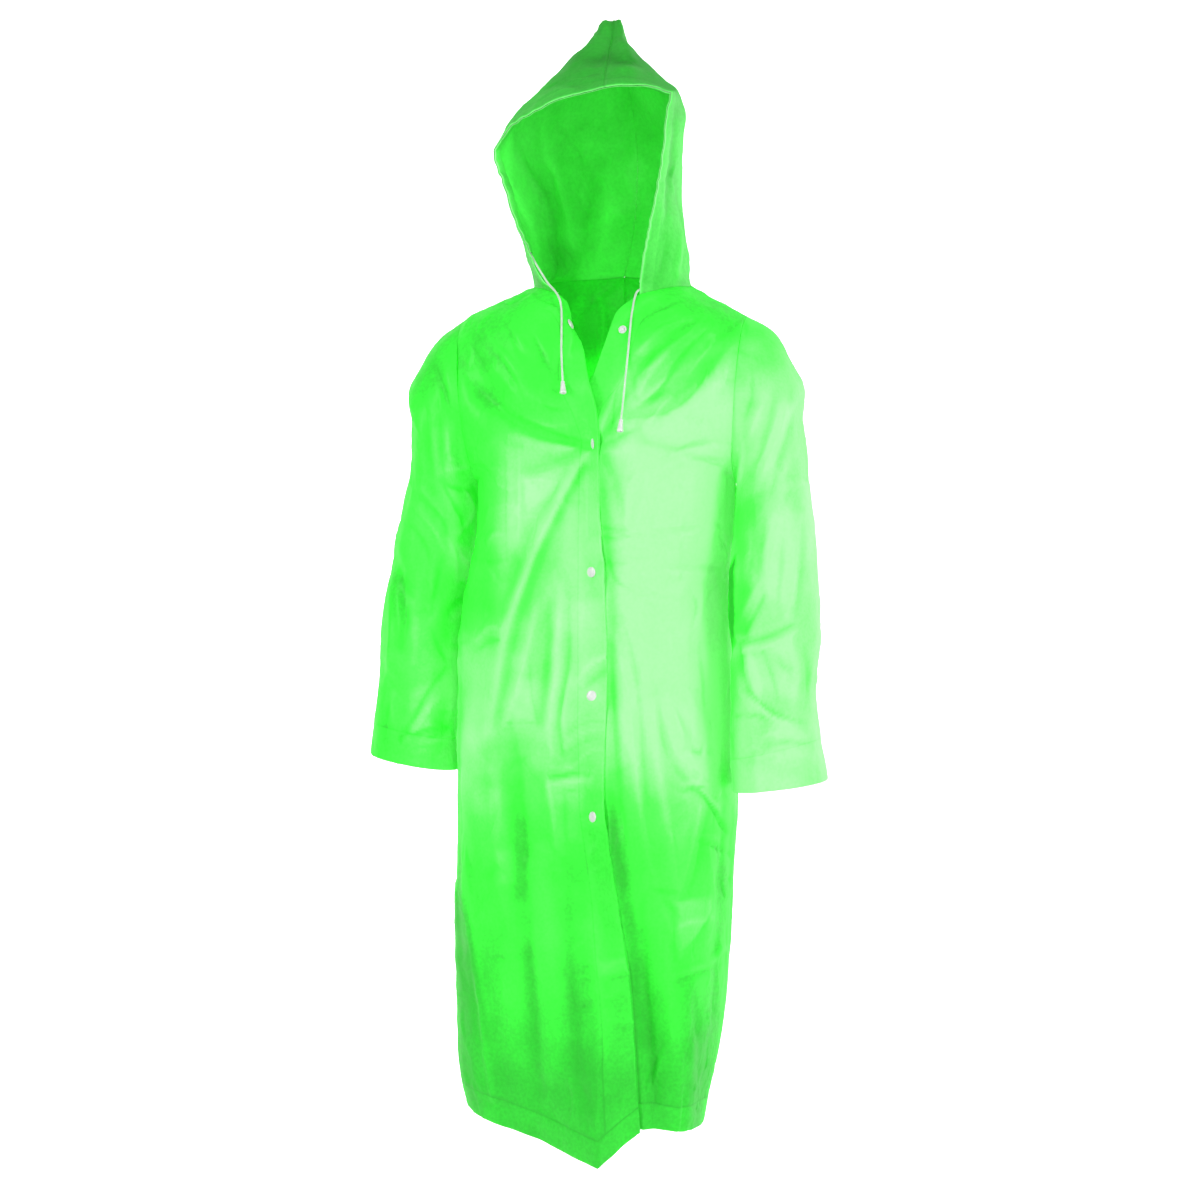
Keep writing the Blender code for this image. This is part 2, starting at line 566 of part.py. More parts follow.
def fold_path(fold, count=25):
    s = np.linspace(0, 1, count)
    get = dict(zip(FOLD_COLUMNS.split(), fold))
    bend = [(1 - s) * (1 - 2 * s), 4 * s * (1 - s), s * (2 * s - 1)]

    def through(name):
        return sum(weight * get[f"{name}{i}"] for i, weight in enumerate(bend))

    path = np.stack([through("x"), through("z")], -1)
    return path, through("depth"), np.maximum(through("width"), 0.004), get["drop"] * s[::-1] ** 0.8


def folded(grid, normals, folds, front):
    """The grid moved in and out along its normals by each fold that runs over this face of it."""
    moved = grid.copy()
    facing = ease((-normals[..., 1] if front else normals[..., 1]) * 2.5 + 0.2)
    for fold in folds.values():
        path, depth, width, drop = fold_path(fold)
        flat = grid[..., [0, 2]][..., None, :] - path
        distance = np.linalg.norm(flat, axis=-1)
        near = distance.argmin(axis=-1)
        close = np.take_along_axis(distance, near[..., None], -1)[..., 0]
        shape = np.exp(-((close / width[near]) ** 2) * 1.6) * facing
        moved += normals * (depth[near] * shape)[..., None]
        moved[..., 2] -= drop[near] * shape
    return moved


def hem_point(grid, stations):
    """The right front drawn forward and down to its lowest corner."""
    moved = grid.copy()
    off = grid[..., 0] - HEM_POINT_X
    fade = (1 - ease(np.array(stations) / HEM_POINT_FADE))[:, None]
    reach = np.where(off < 0, HEM_POINT_REACH[0], HEM_POINT_REACH[1])
    moved[..., 2] -= HEM_POINT_DROP * np.clip(1 - np.abs(off) / reach, 0, 1) * fade
    reach = np.where(off < 0, HEM_POINT_FORWARD_REACH[0], HEM_POINT_FORWARD_REACH[1])
    moved[..., 1] -= HEM_POINT_FORWARD * np.clip(1 - np.abs(off) / reach, 0, 1) ** 1.3 * fade
    return moved


def meets(back, front, stations):
    """The back with its side edge moved onto the front's below the armhole, fading out beside it."""
    shift = (front[:, -1] - back[:, -1]) * (stations < 1)[:, None]
    beside = np.linalg.norm(back - back[:, -1:], axis=-1)
    return back + shift[:, None] * (1 - ease(beside / SIDE_SEAM_FADE))[..., None]


def laid_inside(grid, distance, outward_from):
    """The grid moved inward so that each facet lies this far inside its own, also beside a sharp fold."""
    facet = np.cross(grid[1:, 1:] - grid[:-1, :-1], grid[1:, :-1] - grid[:-1, 1:])
    facet /= np.linalg.norm(facet, axis=-1, keepdims=True)
    if np.median((facet * (grid[1:, 1:] - np.asarray(outward_from))).sum(axis=-1)) < 0:
        facet = -facet
    corners = [(slice(None, -1), slice(None, -1)), (slice(None, -1), slice(1, None))]
    corners += [(slice(1, None), slice(None, -1)), (slice(1, None), slice(1, None))]
    normal = np.zeros_like(grid)
    for corner in corners:
        normal[corner] += facet
    normal /= np.linalg.norm(normal, axis=-1, keepdims=True)
    close = np.ones(grid.shape[:2])
    for corner in corners:
        close[corner] = np.minimum(close[corner], (normal[corner] * facet).sum(axis=-1))
    return grid - normal * (distance / np.maximum(close, 0.5))[..., None]


def neck_cleared(grid, stations, start):
    """The grid with its edge along the neck seam pulled back from the hood."""
    moved = grid.copy()
    for i, station in enumerate(stations):
        if station >= start:
            step = grid[i, 1] - grid[i, 0]
            moved[i, 0] += step / np.linalg.norm(step) * NECK_CLEAR
    return moved


def drawn_in(grid, edges):
    """The grid with the named edges pulled in by their clearance. edges: first_row, last_row, first_column, last_column."""
    moved = grid.copy()
    for name, clearance in edges.items():
        line = {"first_row": (0, None), "last_row": (-1, None), "first_column": (None, 0), "last_column": (None, -1)}[name]
        if line[0] is not None:
            here, inside = grid[line[0]], grid[1 if line[0] == 0 else -2]
        else:
            here, inside = grid[:, line[1]], grid[:, 1 if line[1] == 0 else -2]
        step = inside - here
        step = step / np.linalg.norm(step, axis=-1, keepdims=True) * clearance
        if line[0] is not None:
            moved[line[0]] += step
        else:
            moved[:, line[1]] += step
    return moved


def skirt_stations():
    hem = HEM_DEPTH / 0.79
    return [0.0, hem] + list(np.linspace(hem, 1.0, SKIRT_STEPS + 1)[1:])


def panel_stations():
    return skirt_stations() + ARM_STATIONS[1:]


CENTRE = (0.0, 0.0, -0.4)


def front_grid(side):
    stations = panel_stations()
    grid = np.array([right_row(t) if side < 0 else left_row(t) for t in stations])
    normals = grid_normals(grid, CENTRE)
    grid = folded(grid, normals, RIGHT_FRONT_FOLDS if side < 0 else LEFT_FRONT_FOLDS, True)
    if side < 0:
        grid = hem_point(grid, stations)
    return grid, grid_normals(grid, CENTRE)


def back_grid(side):
    grid = np.array([back_row(side, t) for t in panel_stations()])
    normals = grid_normals(grid, CENTRE)
    normals[:, 0] = (0.0, 1.0, 0.0)
    grid = folded(grid, normals, BACK_FOLDS, False)
    return meets(grid, front_grid(side)[0], np.array(panel_stations()))


def sleeve_angles():
    half = [math.pi * (2 - t) for t in ARM_STATIONS]
    return np.array([-a for a in half] + half[::-1][1:-1])


def sleeve_grid(side):
    rows = RIGHT_SLEEVE if side < 0 else LEFT_SLEEVE
    cuff = 1 - CUFF_DEPTH / 0.50
    rings = [sleeve_ring(rows, cuff if a is None else a, -sleeve_angles()) for a in SLEEVE_STATIONS]
    grid = np.array(rings)
    closed = np.concatenate([grid[:, -1:], grid, grid[:, :1]], axis=1)
    normals = np.cross(closed[:, 2:] - closed[:, :-2], np.gradient(grid, axis=0))
    normals /= np.linalg.norm(normals, axis=2, keepdims=True)
    middle = grid.mean(axis=1, keepdims=True)
    if np.median((normals * (grid - middle)).sum(axis=2)) < 0:
        normals = -normals
    grid = folded(grid, normals, SLEEVE_FOLDS_RIGHT if side < 0 else SLEEVE_FOLDS_LEFT, True)
    grid = folded(grid, normals, SLEEVE_FOLDS_BACK, False)
    return grid, normals


def hood_grid(side):
    grid = np.array([hood_row(side, up) for up in HOOD_STATIONS])
    return grid, grid_normals(grid, (0.01, 0.02, 0.13))


# ---------------------------------------------------------------- objects
def clear_scene():
    for obj in list(bpy.data.objects):
        bpy.data.objects.remove(obj, do_unlink=True)


def material(name, colour, roughness, metallic=0.0):
    made = bpy.data.materials.new(name)
    made.use_nodes = True
    shader = made.node_tree.nodes["Principled BSDF"]
    shader.inputs["Base Color"].default_value = (*colour, 1.0)
    shader.inputs["Roughness"].default_value = roughness
    shader.inputs["Metallic"].default_value = metallic
    made.diffuse_color = (*colour, 1.0)
    return made


def place(name, mesh, collection, look, parent):
    obj = bpy.data.objects.new(name, mesh)
    obj.data.materials.append(look)
    collection.objects.link(obj)
    obj.parent = parent
    return obj


def surface_mesh(name, grids, closed=False):
    """One open mesh from grids of points, welded where they share points. closed joins each row's ends."""
    shape = bmesh.new()
    for grid in grids:
        rows, across = grid.shape[:2]
        points = [[shape.verts.new(p) for p in row] for row in grid]
        for i in range(rows - 1):
            for j in range(across if closed else across - 1):
                k = (j + 1) % across
                shape.faces.new((points[i][j], points[i][k], points[i + 1][k], points[i + 1][j]))
    bmesh.ops.remove_doubles(shape, verts=shape.verts, dist=0.00001)
    bmesh.ops.recalc_face_normals(shape, faces=shape.faces)
    mesh = bpy.data.meshes.new(name)
    shape.to_mesh(mesh)
    shape.free()
    mesh.shade_smooth()
    return mesh


def cloth(name, grids, collection, look, parent, closed=False):
    obj = place(name, surface_mesh(name, grids, closed), collection, look, parent)
    wall = obj.modifiers.new("Wall", "SOLIDIFY")
    wall.thickness = WALL
    wall.offset = 0.0
    wall.use_even_offset = True
    wall.use_quality_normals = True
    return obj


def turned(name, profile, point, axis, collection, look, parent, sides):
    """A turned piece: profile rows of radius and height, outer side from the top down, stood along the axis."""
    shape = bmesh.new()
    chain = [shape.verts.new((radius, 0.0, height)) for radius, height in profile]
    for one, two in zip(chain, chain[1:]):
        shape.edges.new((one, two))
    mesh = bpy.data.meshes.new(name)
    shape.to_mesh(mesh)
    shape.free()
    obj = place(name, mesh, collection, look, parent)
    screw = obj.modifiers.new("Turn", "SCREW")
    screw.axis = "Z"
    screw.steps = sides
    screw.render_steps = sides
    screw.use_merge_vertices = True
    screw.merge_threshold = 0.00005
    screw.use_smooth_shade = True
    stand = Vector((0, 0, 1)).rotation_difference(Vector(axis).normalized())
    obj.matrix_local = Matrix.Translation(Vector(point)) @ stand.to_matrix().to_4x4()
    return obj


def tube(name, points, diameter, collection, look, parent):
    curve = bpy.data.curves.new(name, "CURVE")
    curve.dimensions = "3D"
    curve.bevel_depth = diameter / 2
    curve.bevel_resolution = 2
    curve.use_fill_caps = True
    spline = curve.splines.new("POLY")
    spline.points.add(len(points) - 1)
    for point, at in zip(spline.points, points):
        point.co = (*at, 1.0)
    return place(name, curve, collection, look, parent)


def smooth_route(start, rows, spacing):
    """Points a fixed step apart on a smooth curve through the start points and the rows."""
    knots = np.vstack([start, np.stack([rows["x"], rows["y"], rows["z"]], -1)])
    ends = np.vstack([2 * knots[0] - knots[1], knots, 2 * knots[-1] - knots[-2]])
    fine = []
    for i in range(1, len(ends) - 2):
        p, q, r, s = ends[i - 1 : i + 3]
        for u in np.linspace(0, 1, 24, endpoint=False):
            fine.append(
                0.5 * ((2 * q) + (r - p) * u + (2 * p - 5 * q + 4 * r - s) * u * u + (3 * q - p - 3 * r + s) * u**3)
            )
    fine = np.array(fine + [knots[-1]])
    total = lengths(fine)[-1]
    return at_lengths(fine, np.linspace(0, total, int(round(total / spacing)) + 1))


CAP_PROFILE = [(0.0, 0.0018), (0.0045, 0.0016), (SNAP_CAP / 2, 0.0007), (SNAP_CAP / 2, 0.0), (0.0, 0.0)]
PAIR_PROFILE = [(0.0, 0.0017), (SNAP_SOCKET / 2, 0.0017), (SNAP_SOCKET / 2, 0.0), (0.0, 0.0)]
RING_PROFILE = [
    (0.0, 0.0009),
    (0.0024, 0.0009),
    (0.0028, 0.0022),
    (0.0046, 0.0022),
    (SNAP_SOCKET / 2, 0.0004),
    (SNAP_SOCKET / 2, 0.0),
    (0.0, 0.0),
]
STUD_PROFILE = [(0.0, 0.0026), (0.0018, 0.0024), (0.0020, 0.0010), (SNAP_SOCKET / 2, 0.0009), (SNAP_SOCKET / 2, 0.0), (0.0, 0.0)]
TIP_PROFILE = [
    (0.0, 0.0),
    (TIP_NECK / 2, 0.0),
    (TIP_NECK / 2 + 0.0004, -0.0030),
    (0.0032, -0.0085),
    (TIP_MOUTH / 2, -0.0130),
    (TIP_MOUTH / 2 - 0.0002, -TIP_LENGTH),
    (0.0, -TIP_LENGTH + 0.0008),
]


def main():
    clear_scene()
    coat = bpy.data.collections.new("raincoat")
    bpy.context.scene.collection.children.link(coat)
    parent = bpy.data.objects.new("raincoat_held_at_the_shoulders", None)
    coat.objects.link(parent)

    film = material("green_film", (0.20, 0.95, 0.24), 0.35)
    double_film = material("green_film_double", (0.14, 0.85, 0.18), 0.35)
    white_cord = material("white_cord", (0.86, 0.88, 0.86), 0.75)
    white_plastic = material("white_plastic", (0.90, 0.91, 0.90), 0.35)

    # fronts, with the strips inside their edges
    for name, side in (("right", -1), ("left", 1)):
        grid, normals = front_grid(side)
        stations = panel_stations()
        panel = neck_cleared(grid, stations, 1.68)
        panel = drawn_in(panel, {"last_row": BENT_SEAM, "last_column": FLAT_SEAM})
        arm = len(skirt_stations())
        step = panel[arm:, -2] - panel[arm:, -1]
        panel[arm:, -1] += step / np.linalg.norm(step, axis=-1, keepdims=True) * BENT_SEAM
        cloth(f"{name}_front", [panel], coat, film, parent)
        hem = laid_inside(panel[:2], LAY, CENTRE)
        hem = drawn_in(hem, {"last_column": FLAT_SEAM, "last_row": FLAT_SEAM})
        cloth(f"{name}_hem", [hem], coat, double_film, parent)
        strip = laid_inside(panel[1 : stations.index(1.60) + 1, : len(FIRST) - 1], LAY, CENTRE)
        strip = drawn_in(strip, {"first_row": BENT_SEAM, "last_row": BENT_SEAM, "first_column": FLAT_SEAM})
        cloth(f"{name}_placket", [strip], coat, double_film, parent)

    # back, in one panel with a neck cut
    halves = []
    for side in (-1, 1):
        grid = neck_cleared(back_grid(side), panel_stations(), 1.60)
        grid = drawn_in(grid, {"last_column": FLAT_SEAM, "last_row": BENT_SEAM})
        arm = len(skirt_stations())
        step = grid[arm:, -2] - grid[arm:, -1]
        grid[arm:, -1] += step / np.linalg.norm(step, axis=-1, keepdims=True) * BENT_SEAM
        halves.append(grid)
    cloth("back", halves, coat, film, parent)
    hem = laid_inside(np.concatenate([halves[0][:2, ::-1], halves[1][:2, 1:]], axis=1), LAY, CENTRE)
    hem = drawn_in(hem, {"first_column": FLAT_SEAM, "last_column": FLAT_SEAM, "last_row": FLAT_SEAM})
    half = halves[0].shape[1]
    cloth("back_hem", [hem[:, :half][:, ::-1], hem[:, half - 1 :]], coat, double_film, parent)

    # sleeves
    for name, side in (("right", -1), ("left", 1)):
        grid, normals = sleeve_grid(side)
        grid = drawn_in(grid, {"first_row": BENT_SEAM})
        cloth(f"{name}_sleeve", [grid], coat, film, parent, closed=True)
        cuff = drawn_in(grid[-2:] - normals[-2:] * LAY, {"first_row": FLAT_SEAM})
        cloth(f"{name}_cuff", [cuff], coat, double_film, parent, closed=True)

    # hood, its tunnel and the cord in it
    tunnel = []
    lane = []
    for name, side in (("right", -1), ("left", 1)):
        grid, normals = hood_grid(side)
        wall = drawn_in(grid, {"first_row": NECK_SEAM, "last_row": PEAK_SEAM, "first_column": PEAK_SEAM})
        wall[-1, 0, 0] += side * PEAK_SEAM
        cloth(f"hood_{name}", [wall], coat, film, parent)
        strip = wall[:, -3:] - normals[:, -3:] * np.array([LAY, CASING_LOFT, LAY])[None, :, None]
        lane.append(wall[:, -2] - normals[:, -2] * CORD_DEPTH)
        tunnel.append(strip)
    crown = (tunnel[0][-1] + tunnel[1][-1]) / 2
    mid = (lane[0][-1] + lane[1][-1]) / 2
    strip = np.concatenate([tunnel[0][MOUTH["right"] : -1], crown[None], tunnel[1][MOUTH["left"] : -1][::-1]])
    strip = drawn_in(strip, {"first_row": MOUTH_SETBACK, "last_row": MOUTH_SETBACK})
    cloth("hood_casing", [strip], coat, double_film, parent)
    run_points = np.concatenate([lane[0][MOUTH["right"] : -1], mid[None], lane[1][MOUTH["left"] : -1][::-1]])
    fine = []
    for one, two in zip(run_points, run_points[1:]):
        parts = max(1, int(round(np.linalg.norm(two - one) / 0.011)))
        fine += [one + (two - one) * k / parts for k in range(parts)]
    fine.append(run_points[-1])
    tube("drawcord_run", fine, CORD_DIAMETER, coat, white_cord, parent)
    for name, rows, way in (("right", CORD_RIGHT, lane[0]), ("left", CORD_LEFT, lane[1])):
        mouth, below = way[MOUTH[name]], way[MOUTH[name] - 1]
        along = (below - mouth) / np.linalg.norm(below - mouth)
        route = smooth_route([mouth + along * CORD_START], rows, 0.0072)
        tube(f"drawcord_end_{name}", route, CORD_DIAMETER, coat, white_cord, parent)
        down = route[-1] - route[-2]
        down /= np.linalg.norm(down)
        turned(f"cord_tip_{name}", TIP_PROFILE, route[-1] + down * GAP, -down, coat, white_plastic, parent, 12)

    # snaps
    right, left = front_grid(-1)[0], front_grid(1)[0]
    stations = panel_stations()

    def on_line(grid, station):
        """The point on the snap line at this station, and the normal of the facet that it is on."""
        row = int(np.searchsorted(stations, station, side="right")) - 1
        share = (station - stations[row]) / (stations[row + 1] - stations[row])
        low, high = grid[row, 2:4].mean(axis=0), grid[row + 1, 2:4].mean(axis=0)
        across = (grid[row, 3] - grid[row, 2]) * (1 - share) + (grid[row + 1, 3] - grid[row + 1, 2]) * share
        normal = np.cross(across, high - low)
        normal /= np.linalg.norm(normal)
        return low + (high - low) * share, normal * (-1 if normal[1] > 0 else 1)

    face = WALL / 2 + SNAP_GAP
    under = LAY + WALL / 2 + SNAP_GAP
    for i, station in enumerate([NECK_SNAP] + FASTENED):
        point, normal = on_line(right, station)
        other, out = on_line(left, station)
        turned(f"snap_{i}_cap", CAP_PROFILE, point + normal * face, normal, coat, white_plastic, parent, 12)
        turned(f"snap_{i}_back", CAP_PROFILE, other - out * under, -out, coat, white_plastic, parent, 12)
        if i == 0:
            turned("snap_0_socket", RING_PROFILE, point - normal * under, -normal, coat, white_plastic, parent, 12)
            turned("snap_0_stud", STUD_PROFILE, other + out * face, out, coat, white_plastic, parent, 12)
        else:
            turned(f"snap_{i}_pair", PAIR_PROFILE, point - normal * under, -normal, coat, white_plastic, parent, 12)


main()
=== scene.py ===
import math

import bpy
import numpy as np
from mathutils import Matrix, Vector


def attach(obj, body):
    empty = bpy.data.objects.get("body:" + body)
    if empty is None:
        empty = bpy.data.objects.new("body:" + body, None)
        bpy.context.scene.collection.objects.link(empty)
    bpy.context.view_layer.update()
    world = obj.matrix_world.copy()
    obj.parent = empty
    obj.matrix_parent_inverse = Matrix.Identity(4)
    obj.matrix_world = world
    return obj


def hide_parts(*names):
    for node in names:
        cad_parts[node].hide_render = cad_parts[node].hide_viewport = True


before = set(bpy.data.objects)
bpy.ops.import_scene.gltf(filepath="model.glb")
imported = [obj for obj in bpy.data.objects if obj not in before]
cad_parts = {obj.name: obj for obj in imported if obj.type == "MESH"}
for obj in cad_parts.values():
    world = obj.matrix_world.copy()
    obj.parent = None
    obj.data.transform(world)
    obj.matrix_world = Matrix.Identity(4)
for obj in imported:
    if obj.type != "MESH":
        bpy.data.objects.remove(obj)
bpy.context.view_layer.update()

# A knee-length hooded raincoat of milky green film, shown hollow as it hangs from the shoulders. Metres, +Z up,
# the front faces -Y and the wearer's right is -X. The origin is the middle of the neck opening at shoulder
# height. Each cloth piece is the film itself, a fine surface laid on the form of its CAD solid, with its folds
# and creases placed one by one.

scene = bpy.context.scene

# ---------------------------------------------------------------- camera
VIEW_TURN = math.radians(9.0)
VIEW_FAR = 2.5
VIEW_FOCAL = 2025.0  # in 1200ths of the frame
VIEW_HEIGHT = -0.370
VIEW_MIDDLE = (604.0, 600.0)

lens = bpy.data.cameras.new("view")
lens.sensor_width = 36.0
lens.lens = 36.0 * VIEW_FOCAL / 1200.0
lens.shift_x = (600.0 - VIEW_MIDDLE[0]) / 1200.0
lens.clip_end = 50.0
camera = bpy.data.objects.new("view", lens)
camera.location = (VIEW_FAR * math.sin(VIEW_TURN), -VIEW_FAR * math.cos(VIEW_TURN), VIEW_HEIGHT)
camera.rotation_euler = (math.pi / 2, 0.0, VIEW_TURN)
scene.collection.objects.link(camera)
scene.camera = camera
scene.view_settings.view_transform = "Standard"

# ---------------------------------------------------------------- driving dimensions (metres)
WALL = 0.0010  # cloth wall
GAP = 0.0006  # clearance between two pieces that lie together
LAY = WALL + GAP  # from one middle surface to the next, where pieces lie together
FLAT_SEAM = 0.0002  # each edge of a seam between pieces that run on into each other
BENT_SEAM = 0.0008  # each edge of a seam where the pieces meet at an angle
NECK_SEAM = 0.0022  # the hood's edge of the neck seam, which stands up from the shoulders
NECK_CLEAR = 0.0020  # the fronts' and the back's edge of the neck seam
PEAK_SEAM = 0.0021  # each edge of the seam between the halves of the hood
LAP_GAP = 0.0070  # from the right front to the left front under it, with the snap between
PLACKET = 0.035  # width of the strip inside each front edge
PLACKET_SHORT = 0.006  # the strip stops short of the panel's fold along its inner side
SNAP_INSET = 0.0175  # from the front edge to the line of snaps
HEM_DEPTH = 0.032
CUFF_DEPTH = 0.040
CASING_WIDTH = 0.020  # drawcord tunnel
CASING_LOFT = 0.0058  # the tunnel's inner wall stands this far off the hood at its middle
MOUTH_SETBACK = 0.0040  # the tunnel stops this far short of where the cord leaves it
CORD_DIAMETER = 0.0026
CORD_START = 0.0016  # each free end of the cord starts this far outside the tunnel's run
CORD_DEPTH = 0.0029  # from the hood's middle surface to the cord's centre line, in the tunnel
SNAP_CAP = 0.0125  # diameters of a snap's cap and of its socket and stud
SNAP_SOCKET = 0.0100
SNAP_GAP = 0.0012  # from the cloth to a snap part
TIP_LENGTH = 0.0150  # bell-shaped cord end
TIP_NECK = 0.0044
TIP_MOUTH = 0.0080

# neck seam: an oval round this centre, read by the angle from the front
NECK_CENTRE = (0.0104, 0.003)
NECK_HALF_WIDTH = 0.0965
NECK_FRONT = 0.105
NECK_BACK = 0.100
NECK_TILT = 0.018  # the wearer's left side of the neck is lower by this slope
HOOD_END_RIGHT = 33.0  # degrees from the front, where the hood's face edge meets the neck seam
HOOD_END_LEFT = 29.0

ARM_HALF_DEPTH = 0.092  # armhole, front to back
ARM_TOP = {-1: (-0.1720, -0.0218), 1: (0.1775, -0.0245)}  # x and z of the shoulder end of each armhole
ARM_PIT = {-1: (-0.1535, -0.2267), 1: (0.1620, -0.2234)}


def table(names, rows):
    data = np.array(rows, float)
    return {name: data[:, i] for i, name in enumerate(names.split())}


# height of the neck seam round the oval
NECK_HEIGHT = table(
    "angle z",
    [(0, -0.018), (22, -0.0105), (33, -0.0040), (60, 0.0085), (90, 0.0165), (135, 0.0360), (180, 0.0450)],
)

# front edge of the wearer's right front, which laps over. full: squareness of the run. bulge: how far a
# run stands forward of its own round. roll: degrees that the snap strip is turned forward about its inner
# side, or back where it is less than 0.
RIGHT_EDGE = table(
    "station x y z full bulge roll",
    [
        (0.00, 0.0600, -0.106, -0.9960, 2.20, 0.000, 0),
        (0.20, 0.0530, -0.124, -0.8380, 2.25, 0.000, 0),
        (0.39, 0.0320, -0.133, -0.6880, 2.30, 0.000, 36),
        (0.50, 0.0215, -0.130, -0.6000, 2.30, 0.000, 34),
        (0.67, 0.0225, -0.122, -0.4660, 2.30, 0.000, 6),
        (0.83, 0.0195, -0.119, -0.3390, 2.35, 0.000, 30),
        (0.95, 0.0135, -0.118, -0.2420, 2.40, 0.001, 54),
        (1.06, 0.0122, -0.117, -0.1800, 2.40, 0.003, 62),
        (1.20, 0.0090, -0.119, -0.1480, 2.30, 0.006, 50),
        (1.34, -0.0005, -0.118, -0.1080, 2.20, 0.010, 15),
        (1.42, -0.0060, -0.113, -0.0770, 2.15, 0.011, -25),
        (1.52, -0.0195, -0.106, -0.0440, 2.10, 0.012, -78),
        (1.60, -0.0300, -0.0943, -0.0105, 2.00, 0.013, -55),
        (1.68, -0.0422, -0.0851, -0.0040, 2.00, 0.012, 0),
        (2.00, -0.0861, 0.0030, 0.0180, 2.00, 0.000, 0),
    ],
)

# front edge of the wearer's left front, where it is clear of the lap
LEFT_EDGE = table(
    "station x y z full bulge",
    [
        (0.90, -0.0330, -0.119, -0.2600, 2.35, 0.001),
        (1.06, -0.0230, -0.113, -0.1850, 2.35, 0.003),
        (1.20, -0.0100, -0.112, -0.1440, 2.30, 0.006),
        (1.32, 0.0030, -0.111, -0.1110, 2.20, 0.009),
        (1.40, 0.0120, -0.108, -0.0850, 2.15, 0.011),
        (1.50, 0.0210, -0.104, -0.0560, 2.10, 0.012),
        (1.60, 0.0305, -0.097, -0.0280, 2.00, 0.013),
        (1.68, 0.0572, -0.0888, -0.0072, 2.00, 0.012),
        (2.00, 0.1069, 0.0030, 0.0148, 2.00, 0.000),
    ],
)

RIGHT_SEAM = table(
    "station x y z",
    [
        (0.00, -0.1570, 0.010, -0.988),
        (0.05, -0.1650, 0.010, -0.947),
        (0.12, -0.1695, 0.010, -0.894),
        (0.25, -0.1750, 0.009, -0.795),
        (0.40, -0.1795, 0.004, -0.682),
        (0.48, -0.1805, 0.000, -0.621),
        (0.56, -0.1795, -0.006, -0.560),
        (0.66, -0.1790, -0.012, -0.485),
        (0.74, -0.1773, -0.014, -0.424),
        (0.80, -0.1722, -0.014, -0.379),
        (0.86, -0.1646, -0.010, -0.333),
        (0.92, -0.1560, -0.005, -0.288),
        (1.00, -0.1535, 0.000, -0.2267),
    ],
)

LEFT_SEAM = table(
    "station x y z",
    [
        (0.00, 0.1230, 0.006, -1.008),
        (0.06, 0.1310, 0.006, -0.961),
        (0.12, 0.1410, 0.006, -0.914),
        (0.20, 0.1510, 0.008, -0.851),
        (0.36, 0.1575, 0.010, -0.726),
        (0.50, 0.1635, 0.013, -0.616),
        (0.62, 0.1605, 0.017, -0.521),
        (0.72, 0.1575, 0.019, -0.443),
        (0.83, 0.1555, 0.017, -0.357),
        (0.92, 0.1600, 0.009, -0.286),
        (1.00, 0.1620, 0.000, -0.2234),
    ],
)

# middle of the back, up to the neck seam
BACK_MIDDLE = table(
    "station x y z full bulge",
    [
        (0.00, -0.022, 0.128, -0.988, 2.20, 0.000),
        (0.25, -0.014, 0.138, -0.792, 2.30, 0.000),
        (0.50, -0.009, 0.134, -0.602, 2.30, 0.000),
        (0.75, -0.003, 0.118, -0.412, 2.30, 0.000),
        (1.00, 0.002, 0.124, -0.215, 2.40, 0.002),
        (1.24, 0.006, 0.129, -0.115, 2.30, 0.006),
        (1.46, 0.009, 0.119, -0.020, 2.20, 0.008),
        (1.60, 0.0104, 0.103, 0.045, 2.10, 0.010),
        (2.00, 0.0104, 0.003, 0.018, 2.00, 0.000),
    ],
)

# sleeves: the outermost and innermost point of each ring, its half depth and how far forward it sits
RIGHT_SLEEVE = table(
    "along outer_x outer_z inner_x inner_z half_depth middle_y full",
    [
        (0.00, -0.1735, -0.0222, -0.1572, -0.2262, ARM_HALF_DEPTH, 0.000, 2.00),
        (0.08, -0.2020, -0.0430, -0.1588, -0.2330, 0.091, 0.000, 2.00),
        (0.16, -0.2290, -0.0770, -0.1605, -0.2420, 0.089, 0.001, 2.05),
        (0.23, -0.2438, -0.1105, -0.1620, -0.2520, 0.087, 0.002, 2.10),
        (0.28, -0.2385, -0.1380, -0.1638, -0.2640, 0.085, 0.004, 2.15),
        (0.36, -0.2390, -0.1850, -0.1672, -0.2880, 0.082, 0.006, 2.20),
        (0.46, -0.2490, -0.2450, -0.1728, -0.3230, 0.080, 0.009, 2.20),
        (0.58, -0.2685, -0.3200, -0.1800, -0.3800, 0.078, 0.010, 2.20),
        (0.70, -0.2778, -0.3955, -0.1848, -0.4355, 0.075, 0.008, 2.20),
        (0.82, -0.2824, -0.4665, -0.1848, -0.4935, 0.072, 0.004, 2.20),
        (0.92, -0.2888, -0.5200, -0.1838, -0.5420, 0.070, -0.001, 2.20),
        (1.00, -0.2928, -0.5605, -0.1822, -0.5805, 0.069, -0.004, 2.15),
    ],
)

